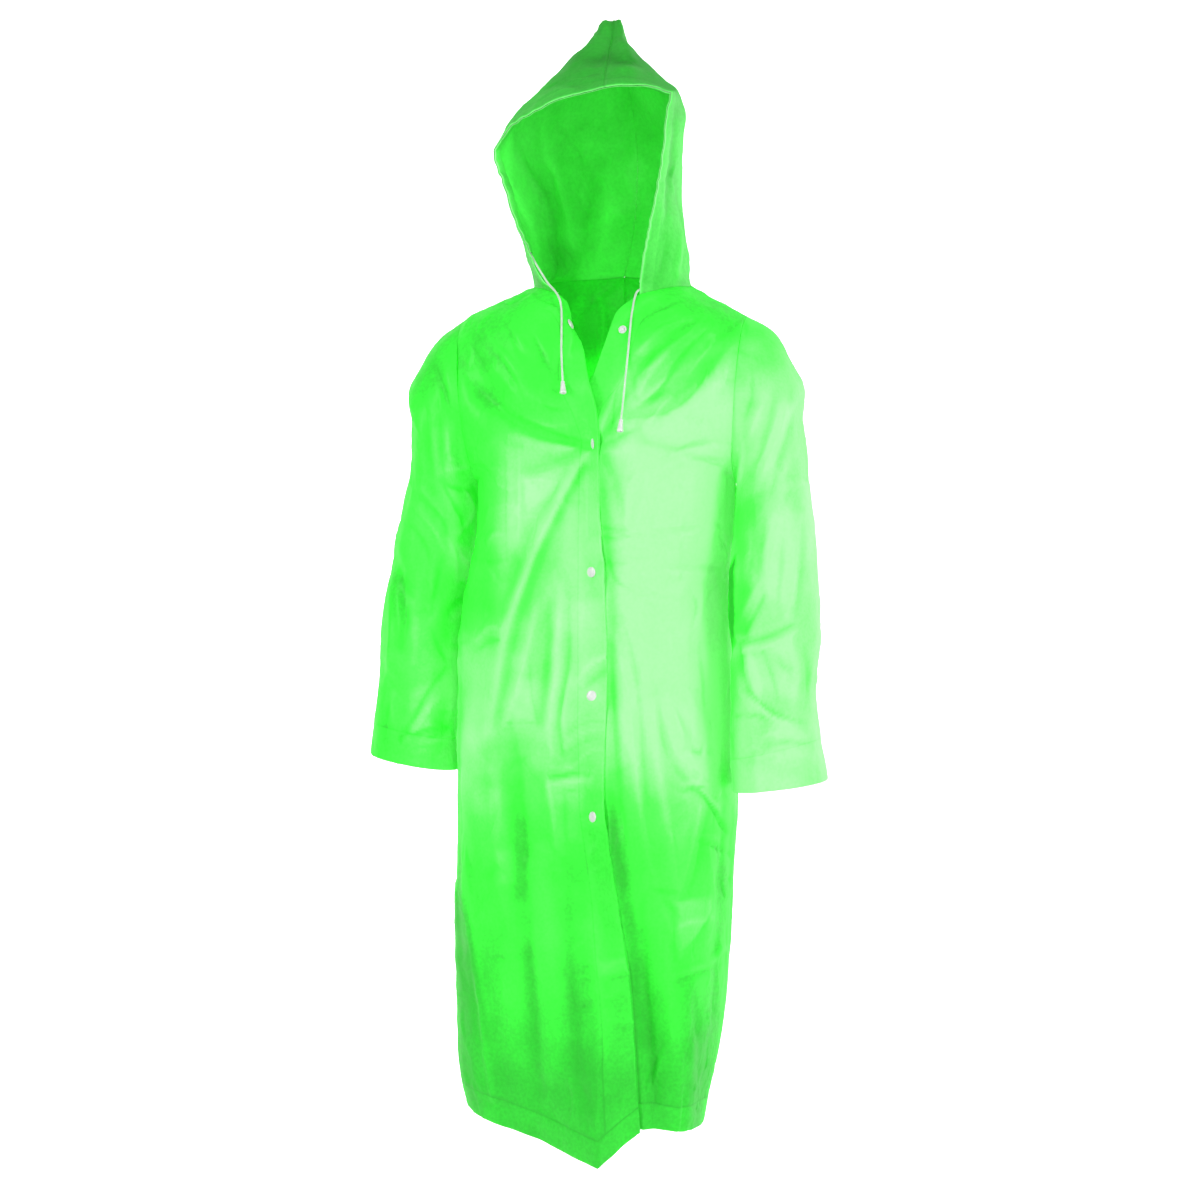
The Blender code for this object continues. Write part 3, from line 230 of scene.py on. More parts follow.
LEFT_SLEEVE = table(
    "along outer_x outer_z inner_x inner_z half_depth middle_y full",
    [
        (0.00, 0.1790, -0.0249, 0.1656, -0.2230, ARM_HALF_DEPTH, 0.000, 2.00),
        (0.08, 0.2080, -0.0440, 0.1666, -0.2310, 0.091, 0.000, 2.00),
        (0.16, 0.2350, -0.0850, 0.1660, -0.2410, 0.089, -0.001, 2.05),
        (0.23, 0.2475, -0.1172, 0.1656, -0.2520, 0.087, -0.004, 2.10),
        (0.28, 0.2452, -0.1420, 0.1646, -0.2650, 0.085, -0.008, 2.15),
        (0.36, 0.2510, -0.1900, 0.1626, -0.2900, 0.082, -0.016, 2.20),
        (0.46, 0.2560, -0.2520, 0.1616, -0.3260, 0.080, -0.026, 2.20),
        (0.58, 0.2635, -0.3280, 0.1605, -0.3830, 0.078, -0.034, 2.20),
        (0.70, 0.2665, -0.4050, 0.1632, -0.4420, 0.075, -0.040, 2.20),
        (0.82, 0.2620, -0.4745, 0.1647, -0.5055, 0.072, -0.044, 2.20),
        (0.92, 0.2685, -0.5340, 0.1677, -0.5590, 0.070, -0.046, 2.20),
        (1.00, 0.2770, -0.5840, 0.1700, -0.5980, 0.069, -0.047, 2.15),
    ],
)

# hood: back or top seam, a point on the side wall and a point on the face edge, neck to peak
HOOD_SEAM = table(
    "up x y z",
    [
        (0.00, 0.0104, 0.103, 0.045),
        (0.20, 0.0170, 0.116, 0.088),
        (0.40, 0.0220, 0.127, 0.142),
        (0.60, 0.0240, 0.124, 0.200),
        (0.74, 0.0220, 0.108, 0.248),
        (0.86, 0.0170, 0.082, 0.296),
        (0.95, 0.0110, 0.056, 0.336),
        (1.00, 0.0085, 0.038, 0.353),
    ],
)

HOOD_RIGHT = table(
    "up mid_x mid_y mid_z face_x face_y face_z",
    [
        (0.00, -0.0861, 0.003, 0.018, -0.0422, -0.0851, -0.0040),
        (0.10, -0.0825, 0.006, 0.030, -0.0670, -0.0720, 0.0120),
        (0.22, -0.0865, 0.010, 0.052, -0.0818, -0.0700, 0.0463),
        (0.34, -0.0910, 0.014, 0.088, -0.0994, -0.0680, 0.0834),
        (0.46, -0.0960, 0.018, 0.126, -0.1138, -0.0640, 0.1221),
        (0.56, -0.1020, 0.018, 0.160, -0.1241, -0.0620, 0.1532),
        (0.62, -0.1070, 0.014, 0.184, -0.1279, -0.0620, 0.1727),
        (0.68, -0.1070, 0.000, 0.212, -0.1204, -0.0670, 0.1857),
        (0.76, -0.0880, -0.014, 0.242, -0.1030, -0.0770, 0.2030),
        (0.85, -0.0600, -0.006, 0.275, -0.0730, -0.0890, 0.2155),
        (0.92, -0.0370, 0.002, 0.305, -0.0440, -0.0980, 0.2260),
        (0.97, -0.0060, 0.022, 0.346, -0.0120, -0.1090, 0.2310),
        (1.00, 0.0120, -0.036, 0.297, 0.0180, -0.1180, 0.2335),
    ],
)

HOOD_LEFT = table(
    "up mid_x mid_y mid_z face_x face_y face_z",
    [
        (0.00, 0.1069, 0.003, 0.0148, 0.0572, -0.0888, -0.0072),
        (0.10, 0.1064, 0.004, 0.030, 0.0587, -0.0900, 0.0155),
        (0.22, 0.1055, 0.004, 0.053, 0.0650, -0.0950, 0.0440),
        (0.34, 0.1000, 0.004, 0.090, 0.0725, -0.0980, 0.0745),
        (0.46, 0.0945, 0.004, 0.128, 0.0800, -0.1000, 0.1060),
        (0.56, 0.0955, 0.004, 0.163, 0.0851, -0.1000, 0.1335),
        (0.66, 0.0980, 0.000, 0.192, 0.0898, -0.1000, 0.1687),
        (0.75, 0.1015, -0.018, 0.219, 0.0922, -0.1010, 0.1960),
        (0.84, 0.0915, -0.022, 0.251, 0.0994, -0.1100, 0.2248),
        (0.89, 0.0760, -0.012, 0.268, 0.0870, -0.1170, 0.2300),
        (0.94, 0.0500, 0.000, 0.297, 0.0610, -0.1210, 0.2350),
        (0.98, 0.0220, 0.022, 0.346, 0.0370, -0.1210, 0.2355),
        (1.00, 0.0120, -0.036, 0.297, 0.0180, -0.1180, 0.2335),
    ],
)

# largest folds, each along a three-point path seen from the front or the back. depth: out of the cloth
# (+) or into it (-) at each point of the path. drop: how far the cloth hangs lower on it.
# the front's lowest corner: the hem runs down to it in a line from each side, and it stands forward
HEM_POINT_X = 0.016
HEM_POINT_REACH = (0.215, 0.046)  # to the side seam and to the front edge
HEM_POINT_DROP = 0.037
HEM_POINT_FORWARD = 0.042
HEM_POINT_FORWARD_REACH = (0.085, 0.046)
HEM_POINT_FADE = 0.36  # station where it has died out
SIDE_SEAM_FADE = 0.075  # the back follows the front at the side seam over this width
FOLD_COLUMNS = "x0 z0 x1 z1 x2 z2 depth0 depth1 depth2 width0 width1 width2 drop"
RIGHT_FRONT_FOLDS = {
    "side_ridge": (-0.150, -1.020, -0.166, -0.860, -0.176, -0.640, 0.012, 0.014, 0.000, 0.045, 0.045, 0.035, 0.000),
    "breast_trough": (-0.150, -0.080, -0.090, -0.155, -0.010, -0.186, -0.004, -0.011, 0.000, 0.022, 0.026, 0.016, 0.0),
    "snap_ridge": (-0.012, -0.205, -0.070, -0.340, -0.115, -0.530, 0.002, 0.009, 0.002, 0.014, 0.022, 0.024, 0.0),
    "waist_fold": (-0.030, -0.420, -0.050, -0.560, -0.060, -0.740, 0.000, -0.009, 0.000, 0.022, 0.028, 0.030, 0.0),
}
LEFT_FRONT_FOLDS = {
    "lap_trough": (0.042, -0.640, 0.066, -0.830, 0.082, -1.010, 0.000, -0.012, -0.012, 0.016, 0.022, 0.024, 0.0),
    "skirt_ridge": (0.100, -0.640, 0.108, -0.800, 0.106, -1.010, 0.000, 0.009, 0.006, 0.024, 0.028, 0.026, 0.0),
    "breast_trough": (0.150, -0.065, 0.100, -0.120, 0.045, -0.160, -0.004, -0.012, 0.000, 0.022, 0.026, 0.018, 0.0),
    "waist_trough": (0.075, -0.330, 0.088, -0.450, 0.080, -0.600, 0.000, -0.007, 0.000, 0.022, 0.028, 0.024, 0.0),
}
BACK_FOLDS = {
    "right_pleat": (-0.128, -0.300, -0.122, -0.640, -0.112, -1.010, 0.000, 0.016, 0.016, 0.020, 0.026, 0.028, 0.0),
    "right_trough": (-0.080, -0.260, -0.078, -0.620, -0.070, -1.010, 0.000, -0.013, -0.012, 0.020, 0.026, 0.028, 0.0),
    "middle_pleat": (-0.024, -0.180, -0.030, -0.560, -0.022, -1.010, 0.000, 0.012, 0.017, 0.022, 0.028, 0.030, 0.0),
    "left_trough": (0.040, -0.250, 0.036, -0.620, 0.026, -1.010, 0.000, -0.013, -0.012, 0.020, 0.026, 0.028, 0.0),
    "left_pleat": (0.096, -0.300, 0.092, -0.640, 0.078, -1.010, 0.000, 0.015, 0.015, 0.020, 0.026, 0.026, 0.0),
}
SLEEVE_FOLDS_RIGHT = {
    "elbow_front": (-0.262, -0.300, -0.235, -0.360, -0.195, -0.385, 0.000, -0.009, 0.000, 0.012, 0.020, 0.014, 0.0),
    "cuff_front": (-0.275, -0.440, -0.240, -0.490, -0.200, -0.500, 0.000, -0.008, 0.000, 0.012, 0.018, 0.014, 0.0),
}
SLEEVE_FOLDS_LEFT = {
    "elbow_front": (0.255, -0.360, 0.225, -0.395, 0.185, -0.400, 0.000, -0.009, 0.000, 0.012, 0.020, 0.014, 0.0),
    "cuff_front": (0.255, -0.470, 0.225, -0.455, 0.190, -0.425, 0.000, -0.008, 0.000, 0.012, 0.018, 0.014, 0.0),
}
SLEEVE_FOLDS_BACK = {
    "right_elbow": (-0.262, -0.330, -0.225, -0.310, -0.190, -0.320, 0.000, 0.009, 0.000, 0.012, 0.020, 0.014, 0.0),
    "left_elbow": (0.255, -0.330, 0.225, -0.310, 0.185, -0.320, 0.000, 0.009, 0.000, 0.012, 0.020, 0.014, 0.0),
}

# stations of the runs. The armhole rows are shared by the fronts, the back and the sleeves.
ARM_STATIONS = [1.00, 1.12, 1.24, 1.35, 1.45, 1.60, 1.68, 1.79, 1.90, 2.00]
SKIRT_STEPS = 14
FRONT_STEPS = 9  # runs' steps from the placket to the side
BACK_STEPS = 9
SLEEVE_STATIONS = [0.0, 0.08, 0.16, 0.23, 0.28, 0.36, 0.46, 0.55, 0.64, 0.73, 0.82, None, 1.0]
HOOD_STATIONS = [0.0, 0.10, 0.22, 0.34, 0.46, 0.56, 0.62, 0.68, 0.75, 0.80, 0.84, 0.89, 0.935, 0.97, 1.0]
HOOD_STEPS = 6

# free ends of the drawcord, from just outside the mouth of the tunnel to the cord end
CORD_RIGHT = table(
    "x y z",
    [
        (-0.0708, -0.0698, 0.0332),
        (-0.0636, -0.0765, 0.0225),
        (-0.0552, -0.0812, 0.0100),
        (-0.0440, -0.0897, -0.0024),
        (-0.0368, -0.0985, -0.0160),
        (-0.0340, -0.1065, -0.0350),
        (-0.0329, -0.1135, -0.0560),
        (-0.0318, -0.1200, -0.0800),
        (-0.0290, -0.1274, -0.1130),
    ],
)
CORD_LEFT = table(
    "x y z",
    [
        (0.0572, -0.0852, -0.0004),
        (0.0540, -0.0893, -0.0040),
        (0.0522, -0.0942, -0.0105),
        (0.0507, -0.0992, -0.0215),
        (0.0492, -0.1074, -0.0400),
        (0.0470, -0.1170, -0.0800),
        (0.0444, -0.1264, -0.1200),
        (0.0412, -0.1318, -0.1590),
    ],
)
# the hood's row where the tunnel ends on each side, and the cord comes out
MOUTH = {"right": 2, "left": 1}

# stations of the snaps on the front edge: the open neck pair and the four fastened below it
NECK_SNAP = 1.535
LAP_RIDGE = 0.040  # the left front falls back to its own round over this width beside the lap
FASTENED = [1.054, 0.835, 0.650, 0.470]




CENTRE = (0.0, 0.0, -0.4)
SNAP_FLAT = 0.0072
FIRST = [0.0, PLACKET_SHORT, SNAP_INSET - SNAP_FLAT, SNAP_INSET + SNAP_FLAT, PLACKET - PLACKET_SHORT, PLACKET]

# turned profiles: radius and height from the cloth up
CAP_FINE = [(0.0, 0.0021), (0.0022, 0.0020), (0.0046, 0.0016), (0.0060, 0.0009), (SNAP_CAP / 2, 0.0004), (SNAP_CAP / 2, 0.0), (0.0, 0.0)]
PAIR_FINE = [(0.0, 0.0034), (0.0040, 0.0034), (0.0046, 0.0028), (SNAP_SOCKET / 2, 0.0006), (SNAP_SOCKET / 2, 0.0), (0.0, 0.0)]
RING_FINE = [
    (0.0, 0.0006),
    (0.0019, 0.0006),
    (0.0022, 0.0021),
    (0.0030, 0.0024),
    (0.0041, 0.0022),
    (0.0044, 0.0008),
    (SNAP_SOCKET / 2, 0.0005),
    (SNAP_SOCKET / 2, 0.0),
    (0.0, 0.0),
]
STUD_FINE = [
    (0.0, 0.0030),
    (0.0015, 0.0029),
    (0.0019, 0.0024),
    (0.0016, 0.0010),
    (0.0034, 0.0008),
    (0.0038, 0.0013),
    (0.0046, 0.0012),
    (SNAP_SOCKET / 2, 0.0004),
    (SNAP_SOCKET / 2, 0.0),
    (0.0, 0.0),
]
TIP_FINE = [
    (0.0, 0.0),
    (TIP_NECK / 2, 0.0),
    (TIP_NECK / 2 + 0.0003, -0.0012),
    (TIP_NECK / 2 + 0.0001, -0.0022),
    (TIP_NECK / 2 + 0.0005, -0.0040),
    (0.0031, -0.0085),
    (TIP_MOUTH / 2 - 0.0001, -0.0128),
    (TIP_MOUTH / 2, -0.0136),
    (TIP_MOUTH / 2 - 0.0002, -TIP_LENGTH),
    (TIP_MOUTH / 2 - 0.0010, -TIP_LENGTH),
    (0.0022, -TIP_LENGTH + 0.0016),
    (0.0, -TIP_LENGTH + 0.0018),
]


# ---------------------------------------------------------------- curves and rows
def monotone(keys, values, at):
    """A smooth curve through the values that never swings past them."""
    at = np.clip(np.asarray(at, float), keys[0], keys[-1])
    step = np.diff(keys)
    rise = np.diff(values) / step
    slope = np.zeros(len(keys))
    for i in range(1, len(keys) - 1):
        if rise[i - 1] * rise[i] > 0:
            before = 2 * step[i] + step[i - 1]
            after = step[i] + 2 * step[i - 1]
            slope[i] = (before + after) / (before / rise[i - 1] + after / rise[i])
    slope[0], slope[-1] = rise[0], rise[-1]
    i = np.clip(np.searchsorted(keys, at, side="right") - 1, 0, len(step) - 1)
    s = (at - keys[i]) / step[i]
    return (
        values[i] * (1 + 2 * s) * (1 - s) ** 2
        + slope[i] * step[i] * s * (1 - s) ** 2
        + values[i + 1] * s * s * (3 - 2 * s)
        + slope[i + 1] * step[i] * s * s * (s - 1)
    )


def read(rows, key, names, at):
    return np.stack([monotone(rows[key], rows[name], at) for name in names.split()], -1)


def ease(x):
    x = np.clip(x, 0.0, 1.0)
    return x * x * (3 - 2 * x)


def neck(side, angle):
    """A point on the neck seam. side is -1 for the wearer's right. angle runs from the front, 0, to the back, 180."""
    a = math.radians(angle)
    reach = NECK_FRONT if angle < 90 else NECK_BACK
    x = NECK_CENTRE[0] + side * NECK_HALF_WIDTH * math.sin(a)
    y = NECK_CENTRE[1] - reach * math.cos(a)
    z = float(monotone(NECK_HEIGHT["angle"], NECK_HEIGHT["z"], angle))
    return np.array([x, y, z - NECK_TILT * (x - NECK_CENTRE[0])])


def armhole(side, station, front):
    """A point on the armhole oval. Station 1 is the armpit and 2 the shoulder seam."""
    a = math.pi * (2 - station)
    top = np.array([ARM_TOP[side][0], 0.0, ARM_TOP[side][1]])
    bottom = np.array([ARM_PIT[side][0], 0.0, ARM_PIT[side][1]])
    point = (top + bottom) / 2 + (top - bottom) / 2 * math.cos(a)
    point[1] += (-1 if front else 1) * ARM_HALF_DEPTH * math.sin(a)
    return point


def side_point(side, station, front):
    if station > 1:
        return armhole(side, station, front)
    rows = RIGHT_SEAM if side < 0 else LEFT_SEAM
    return read(rows, "station", "x y z", station)


def run(edge, side, full, bulge, front):
    """A rounded run from an edge point to a side point, fine enough to measure."""
    a = np.linspace(0, math.pi / 2, 241)
    points = np.empty((241, 3))
    points[:, 0] = edge[0] + (side[0] - edge[0]) * np.sin(a) ** (2 / full)
    points[:, 1] = side[1] + (edge[1] - side[1]) * np.cos(a) ** (2 / full)
    points[:, 2] = 0
    share = lengths(points) / lengths(points)[-1]
    points[:, 2] = edge[2] + (side[2] - edge[2]) * share
    points[:, 1] += (-bulge if front else bulge) * np.sin(math.pi * share)
    return points


def lengths(points):
    return np.concatenate([[0], np.cumsum(np.linalg.norm(np.diff(points, axis=0), axis=1))])


def at_lengths(points, wanted):
    total = lengths(points)
    return np.stack([np.interp(wanted, total, points[:, i]) for i in range(3)], -1)


def right_edge(station):
    if station >= 1.68:
        return neck(-1, HOOD_END_RIGHT + (90 - HOOD_END_RIGHT) * (station - 1.68) / 0.32)
    return read(RIGHT_EDGE, "station", "x y z", station)


def left_edge(station):
    if station >= 1.68:
        return neck(1, HOOD_END_LEFT + (90 - HOOD_END_LEFT) * (station - 1.68) / 0.32)
    return read(LEFT_EDGE, "station", "x y z", station)


def right_run(station):
    full, bulge = read(RIGHT_EDGE, "station", "full bulge", station)
    edge = right_edge(station)
    edge[0] += FIRST[3] * (1 - math.cos(roll_at(station)))
    return run(edge, side_point(-1, station, True), full, bulge, True)


def roll_at(station):
    return math.radians(float(monotone(RIGHT_EDGE["station"], RIGHT_EDGE["roll"], station)))


def sleeve_ring(rows, along, angles):
    """A closed ring of a sleeve. Angle 0 is the outermost point and 90 the front."""
    ox, oz, ix, iz, half, mid, full = read(
        rows, "along", "outer_x outer_z inner_x inner_z half_depth middle_y full", along
    )
    outer, inner = np.array([ox, mid, oz]), np.array([ix, mid, iz])
    c, s = np.cos(angles), np.sin(angles)
    c = np.sign(c) * np.abs(c) ** (2 / full)
    s = np.sign(s) * np.abs(s) ** (2 / full)
    points = (outer + inner) / 2 + np.outer(c, (outer - inner) / 2)
    points[:, 1] -= s * half
    return points


def grid_normals(grid, outward_from):
    """Unit normals of a grid of points, pointing away from an axis point at each row's height."""
    along = np.gradient(grid, axis=1)
    up = np.gradient(grid, axis=0)
    normal = np.cross(along, up)
    size = np.linalg.norm(normal, axis=2, keepdims=True)
    normal = normal / np.maximum(size, 1e-12)
    away = grid - np.asarray(outward_from)
    facing = (normal * away).sum(axis=2)
    return normal * (1 if np.median(facing) > 0 else -1)


def fold_path(fold, count=121):
    s = np.linspace(0, 1, count)
    get = dict(zip(FOLD_COLUMNS.split(), fold))
    bend = [(1 - s) * (1 - 2 * s), 4 * s * (1 - s), s * (2 * s - 1)]

    def through(name):
        return sum(weight * get[f"{name}{i}"] for i, weight in enumerate(bend))

    path = np.stack([through("x"), through("z")], -1)
    return path, through("depth"), np.maximum(through("width"), 0.004), get["drop"] * s[::-1] ** 0.8


def folded(grid, normals, folds, front):
    """The grid moved in and out along its normals by each fold that runs over this face of it."""
    moved = grid.copy()
    facing = ease((-normals[..., 1] if front else normals[..., 1]) * 2.5 + 0.2)
    for fold in folds.values():
        path, depth, width, drop = fold_path(fold)
        flat = grid[..., [0, 2]][..., None, :] - path
        distance = np.linalg.norm(flat, axis=-1)
        near = distance.argmin(axis=-1)
        close = np.take_along_axis(distance, near[..., None], -1)[..., 0]
        shape = np.exp(-((close / width[near]) ** 2) * 1.6) * facing
        moved += normals * (depth[near] * shape)[..., None]
        moved[..., 2] -= drop[near] * shape
    return moved


def hem_point(grid, stations):
    """The right front drawn forward and down to its lowest corner."""
    moved = grid.copy()
    off = grid[..., 0] - HEM_POINT_X
    fade = (1 - ease(np.array(stations) / HEM_POINT_FADE))[:, None]
    reach = np.where(off < 0, HEM_POINT_REACH[0], HEM_POINT_REACH[1])
    moved[..., 2] -= HEM_POINT_DROP * np.clip(1 - np.abs(off) / reach, 0, 1) * fade
    reach = np.where(off < 0, HEM_POINT_FORWARD_REACH[0], HEM_POINT_FORWARD_REACH[1])
    moved[..., 1] -= HEM_POINT_FORWARD * np.clip(1 - np.abs(off) / reach, 0, 1) ** 1.3 * fade
    return moved


def meets(back, front, stations):
    """The back with its side edge moved onto the front's below the armhole, fading out beside it."""
    shift = (front[:, -1] - back[:, -1]) * (stations < 1)[:, None]
    beside = np.linalg.norm(back - back[:, -1:], axis=-1)
    return back + shift[:, None] * (1 - ease(beside / SIDE_SEAM_FADE))[..., None]


def drawn_in(grid, edges):
    """The grid with the named edges pulled in by their clearance. edges: first_row, last_row, first_column, last_column."""
    moved = grid.copy()
    for name, clearance in edges.items():
        line = {"first_row": (0, None), "last_row": (-1, None), "first_column": (None, 0), "last_column": (None, -1)}[name]
        if line[0] is not None:
            here, inside = grid[line[0]], grid[1 if line[0] == 0 else -2]
        else:
            here, inside = grid[:, line[1]], grid[:, 1 if line[1] == 0 else -2]
        step = inside - here
        step = step / np.linalg.norm(step, axis=-1, keepdims=True) * clearance
        if line[0] is not None:
            moved[line[0]] += step
        else:
            moved[:, line[1]] += step
    return moved


def smooth_route(start, rows, spacing):
    """Points a fixed step apart on a smooth curve through the start points and the rows."""
    knots = np.vstack([start, np.stack([rows["x"], rows["y"], rows["z"]], -1)])
    ends = np.vstack([2 * knots[0] - knots[1], knots, 2 * knots[-1] - knots[-2]])
    fine = []
    for i in range(1, len(ends) - 2):
        p, q, r, s = ends[i - 1 : i + 3]
        for u in np.linspace(0, 1, 24, endpoint=False):
            fine.append(
                0.5 * ((2 * q) + (r - p) * u + (2 * p - 5 * q + 4 * r - s) * u * u + (3 * q - p - 3 * r + s) * u**3)
            )
    fine = np.array(fine + [knots[-1]])
    total = lengths(fine)[-1]
    return at_lengths(fine, np.linspace(0, total, int(round(total / spacing)) + 1))


# ---------------------------------------------------------------- fine grids
FILM = 0.0005  # the film itself
INNER_LAY = 0.0013  # from a panel to the facing inside it
EDGE_ROUND = 0.0022  # a panel's free edge turns in over this width
SEAM_GAP = 0.00005
SEAM_STEPS = [0.0012, 0.0026, 0.0045, 0.0075]  # columns beside a seam


def strip_lengths():
    """Lengths across the strip at a front edge, closer at the edge and at the facing's weld."""
    return np.array(
        [0.0, 0.0012, 0.0026, 0.0050, 0.0075, 0.0100, 0.0125, 0.0150, 0.0175, 0.0198, 0.0214]
        + [0.0230, 0.0246, 0.0262, 0.0278, 0.0298, 0.0318, 0.0336, 0.0350]
    )


STRIP = strip_lengths()
WELD_STEPS = [0.0012, 0.0030]


def spread(start, end, steps, before=(), after=()):
    """Lengths from start to end, with the given steps beside each end and even ones between."""
    first = [start + b for b in before]
    last = [end - a for a in after][::-1]
    low = first[-1] if first else start
    high = last[0] if last else end
    middle = list(np.linspace(low, high, steps + 1)[1:-1])
    return ([] if first else []) + first + middle + last + [end]


def fine_row(points, first, steps):
    end = lengths(points)[-1]
    wanted = list(first) + spread(first[-1], end, steps, before=WELD_STEPS, after=SEAM_STEPS)
    return at_lengths(points, wanted)


def turn_share(along):
    """How much of the strip's roll a point has: all of it outside the bend, none inside it."""
    return 1 - ease((np.asarray(along) - 0.0202) / 0.0088)


def lap_gap(station):
    """The two fronts lie close together, and further apart round each fastened snap."""
    return LAP_GAP * (0.36 + 0.64 * max(math.exp(-(((station - s) / 0.030) ** 2)) for s in FASTENED))


def bent(row, along, turn):
    """The row with its strip rolled forward about its inner side, in a round bend."""
    step = np.diff(row, axis=0)
    angle = turn * turn_share((along[1:] + along[:-1]) / 2)
    x = step[:, 0] * np.cos(angle) + step[:, 1] * np.sin(angle)
    y = step[:, 1] * np.cos(angle) - step[:, 0] * np.sin(angle)
    turned_step = np.stack([x, y, step[:, 2]], -1)
    back = np.cumsum(turned_step[::-1], axis=0)[::-1]
    return np.vstack([row[-1] - back, row[-1:]])


def fine_right_row(station, steps):
    row = fine_row(right_run(station), STRIP, steps)
    count = len(STRIP)
    row[:count] = bent(row[:count], STRIP, roll_at(station))
    return row


def fine_left_row(station, steps):
    under = float(1 - ease((station - 1.12) / 0.24))
    side = side_point(1, station, True)
    rows = []
    if under > 0:
        full, bulge = read(RIGHT_EDGE, "station", "full bulge", station)
        turn = roll_at(station)
        flat = at_lengths(right_run(station), STRIP)
        over = bent(flat, STRIP, turn)
        angle = turn * turn_share(STRIP)
        gap = lap_gap(station)
        over[:, 0] += gap * np.sin(angle)
        over[:, 1] += gap * np.cos(angle)
        start = flat[0] + np.array([0.0, gap, 0.0])
        main = fine_row(run(start, side, full, bulge, True), [0.0], steps)
        near = np.clip(1 - lengths(main) / LAP_RIDGE, 0, 1)
        main += (over[0] - main[0]) * (near * near * (1.6 - 0.6 * near))[:, None]
        rows.append(np.vstack([over[:0:-1], main]))
    if under < 1:
        full, bulge = read(LEFT_EDGE, "station", "full bulge", station)
        rows.append(fine_row(run(left_edge(station), side, full, bulge, True), STRIP, steps))
    if len(rows) == 1:
        return rows[0]
    return rows[0] * under + rows[1] * (1 - under)


def fine_back_row(side, station, steps):
    full, bulge = read(BACK_MIDDLE, "station", "full bulge", station)
    if station > 1.60:
        middle = neck(side, 180 - 90 * (station - 1.60) / 0.40)
    else:
        middle = read(BACK_MIDDLE, "station", "x y z", station)
    points = run(middle, side_point(side, station, False), full, bulge, False)
    end = lengths(points)[-1]
    wanted = [0.0] + spread(0.0, end, steps, before=[], after=SEAM_STEPS)
    return at_lengths(points, wanted)


HEM_STATION = HEM_DEPTH / 0.79
SKIRT_ROWS = 225
ARM_ROWS = 78


def fine_stations():
    near_hem = [0.0, 0.0016, 0.0034, 0.0065]
    weld = [HEM_STATION - 0.0040, HEM_STATION - 0.0014, HEM_STATION, HEM_STATION + 0.0014, HEM_STATION + 0.0040]
    low = list(np.linspace(near_hem[-1], weld[0], 11)[1:-1])
    skirt = list(np.linspace(weld[-1], 1.0, SKIRT_ROWS)[1:])
    arm = list(np.linspace(1.0, 1.9885, ARM_ROWS)[1:])
    return np.array(near_hem + low + weld + skirt + arm + [1.9935, 1.9975, 2.0])


STATIONS = fine_stations()
HEM_ROW = int(np.argmin(np.abs(STATIONS - HEM_STATION)))
ARM_ROW = int(np.argmin(np.abs(STATIONS - 1.0)))


# ---------------------------------------------------------------- folds and creases
def chart(points):
    """Where points lie as someone standing in front of the coat sees them, in 1200ths, from the top left."""
    c, s = math.cos(VIEW_TURN), math.sin(VIEW_TURN)
    depth = VIEW_FAR - points[..., 0] * s + points[..., 1] * c
    across = VIEW_MIDDLE[0] + VIEW_FOCAL * (points[..., 0] * c + points[..., 1] * s) / depth
    down = VIEW_MIDDLE[1] - VIEW_FOCAL * (points[..., 2] - VIEW_HEIGHT) / depth
    return np.stack([across, down], -1)


def back_chart(points):
    """From behind, in millimetres: +X to the left as it is seen, and height."""
    return np.stack([points[..., 0] * 1000.0, points[..., 2] * 1000.0], -1)


def side_chart(points):
    return np.stack([points[..., 1] * 1000.0, points[..., 2] * 1000.0], -1)


TOWARD_VIEW = np.array([math.sin(VIEW_TURN), -math.cos(VIEW_TURN), 0.0])


def smooth_line(text, spacing):
    """A smooth line through the points of 'x y  x y ...', with a point at each step."""
    knots = np.array(text.split(), float).reshape(-1, 2)
    if len(knots) > 2:
        ends = np.vstack([2 * knots[0] - knots[1], knots, 2 * knots[-1] - knots[-2]])
        fine = []
        for i in range(1, len(ends) - 2):
            p, q, r, s = ends[i - 1 : i + 3]
            for u in np.linspace(0, 1, 12, endpoint=False):
                fine.append(
                    0.5 * ((2 * q) + (r - p) * u + (2 * p - 5 * q + 4 * r - s) * u * u + (3 * q - p - 3 * r + s) * u**3)
                )
        knots = np.array(fine + [knots[-1]])
    total = np.concatenate([[0], np.cumsum(np.linalg.norm(np.diff(knots, axis=0), axis=1))])
    count = max(3, int(total[-1] / spacing) + 2)
    at = np.linspace(0, total[-1], count)
    return np.stack([np.interp(at, total, knots[:, i]) for i in range(2)], -1), at


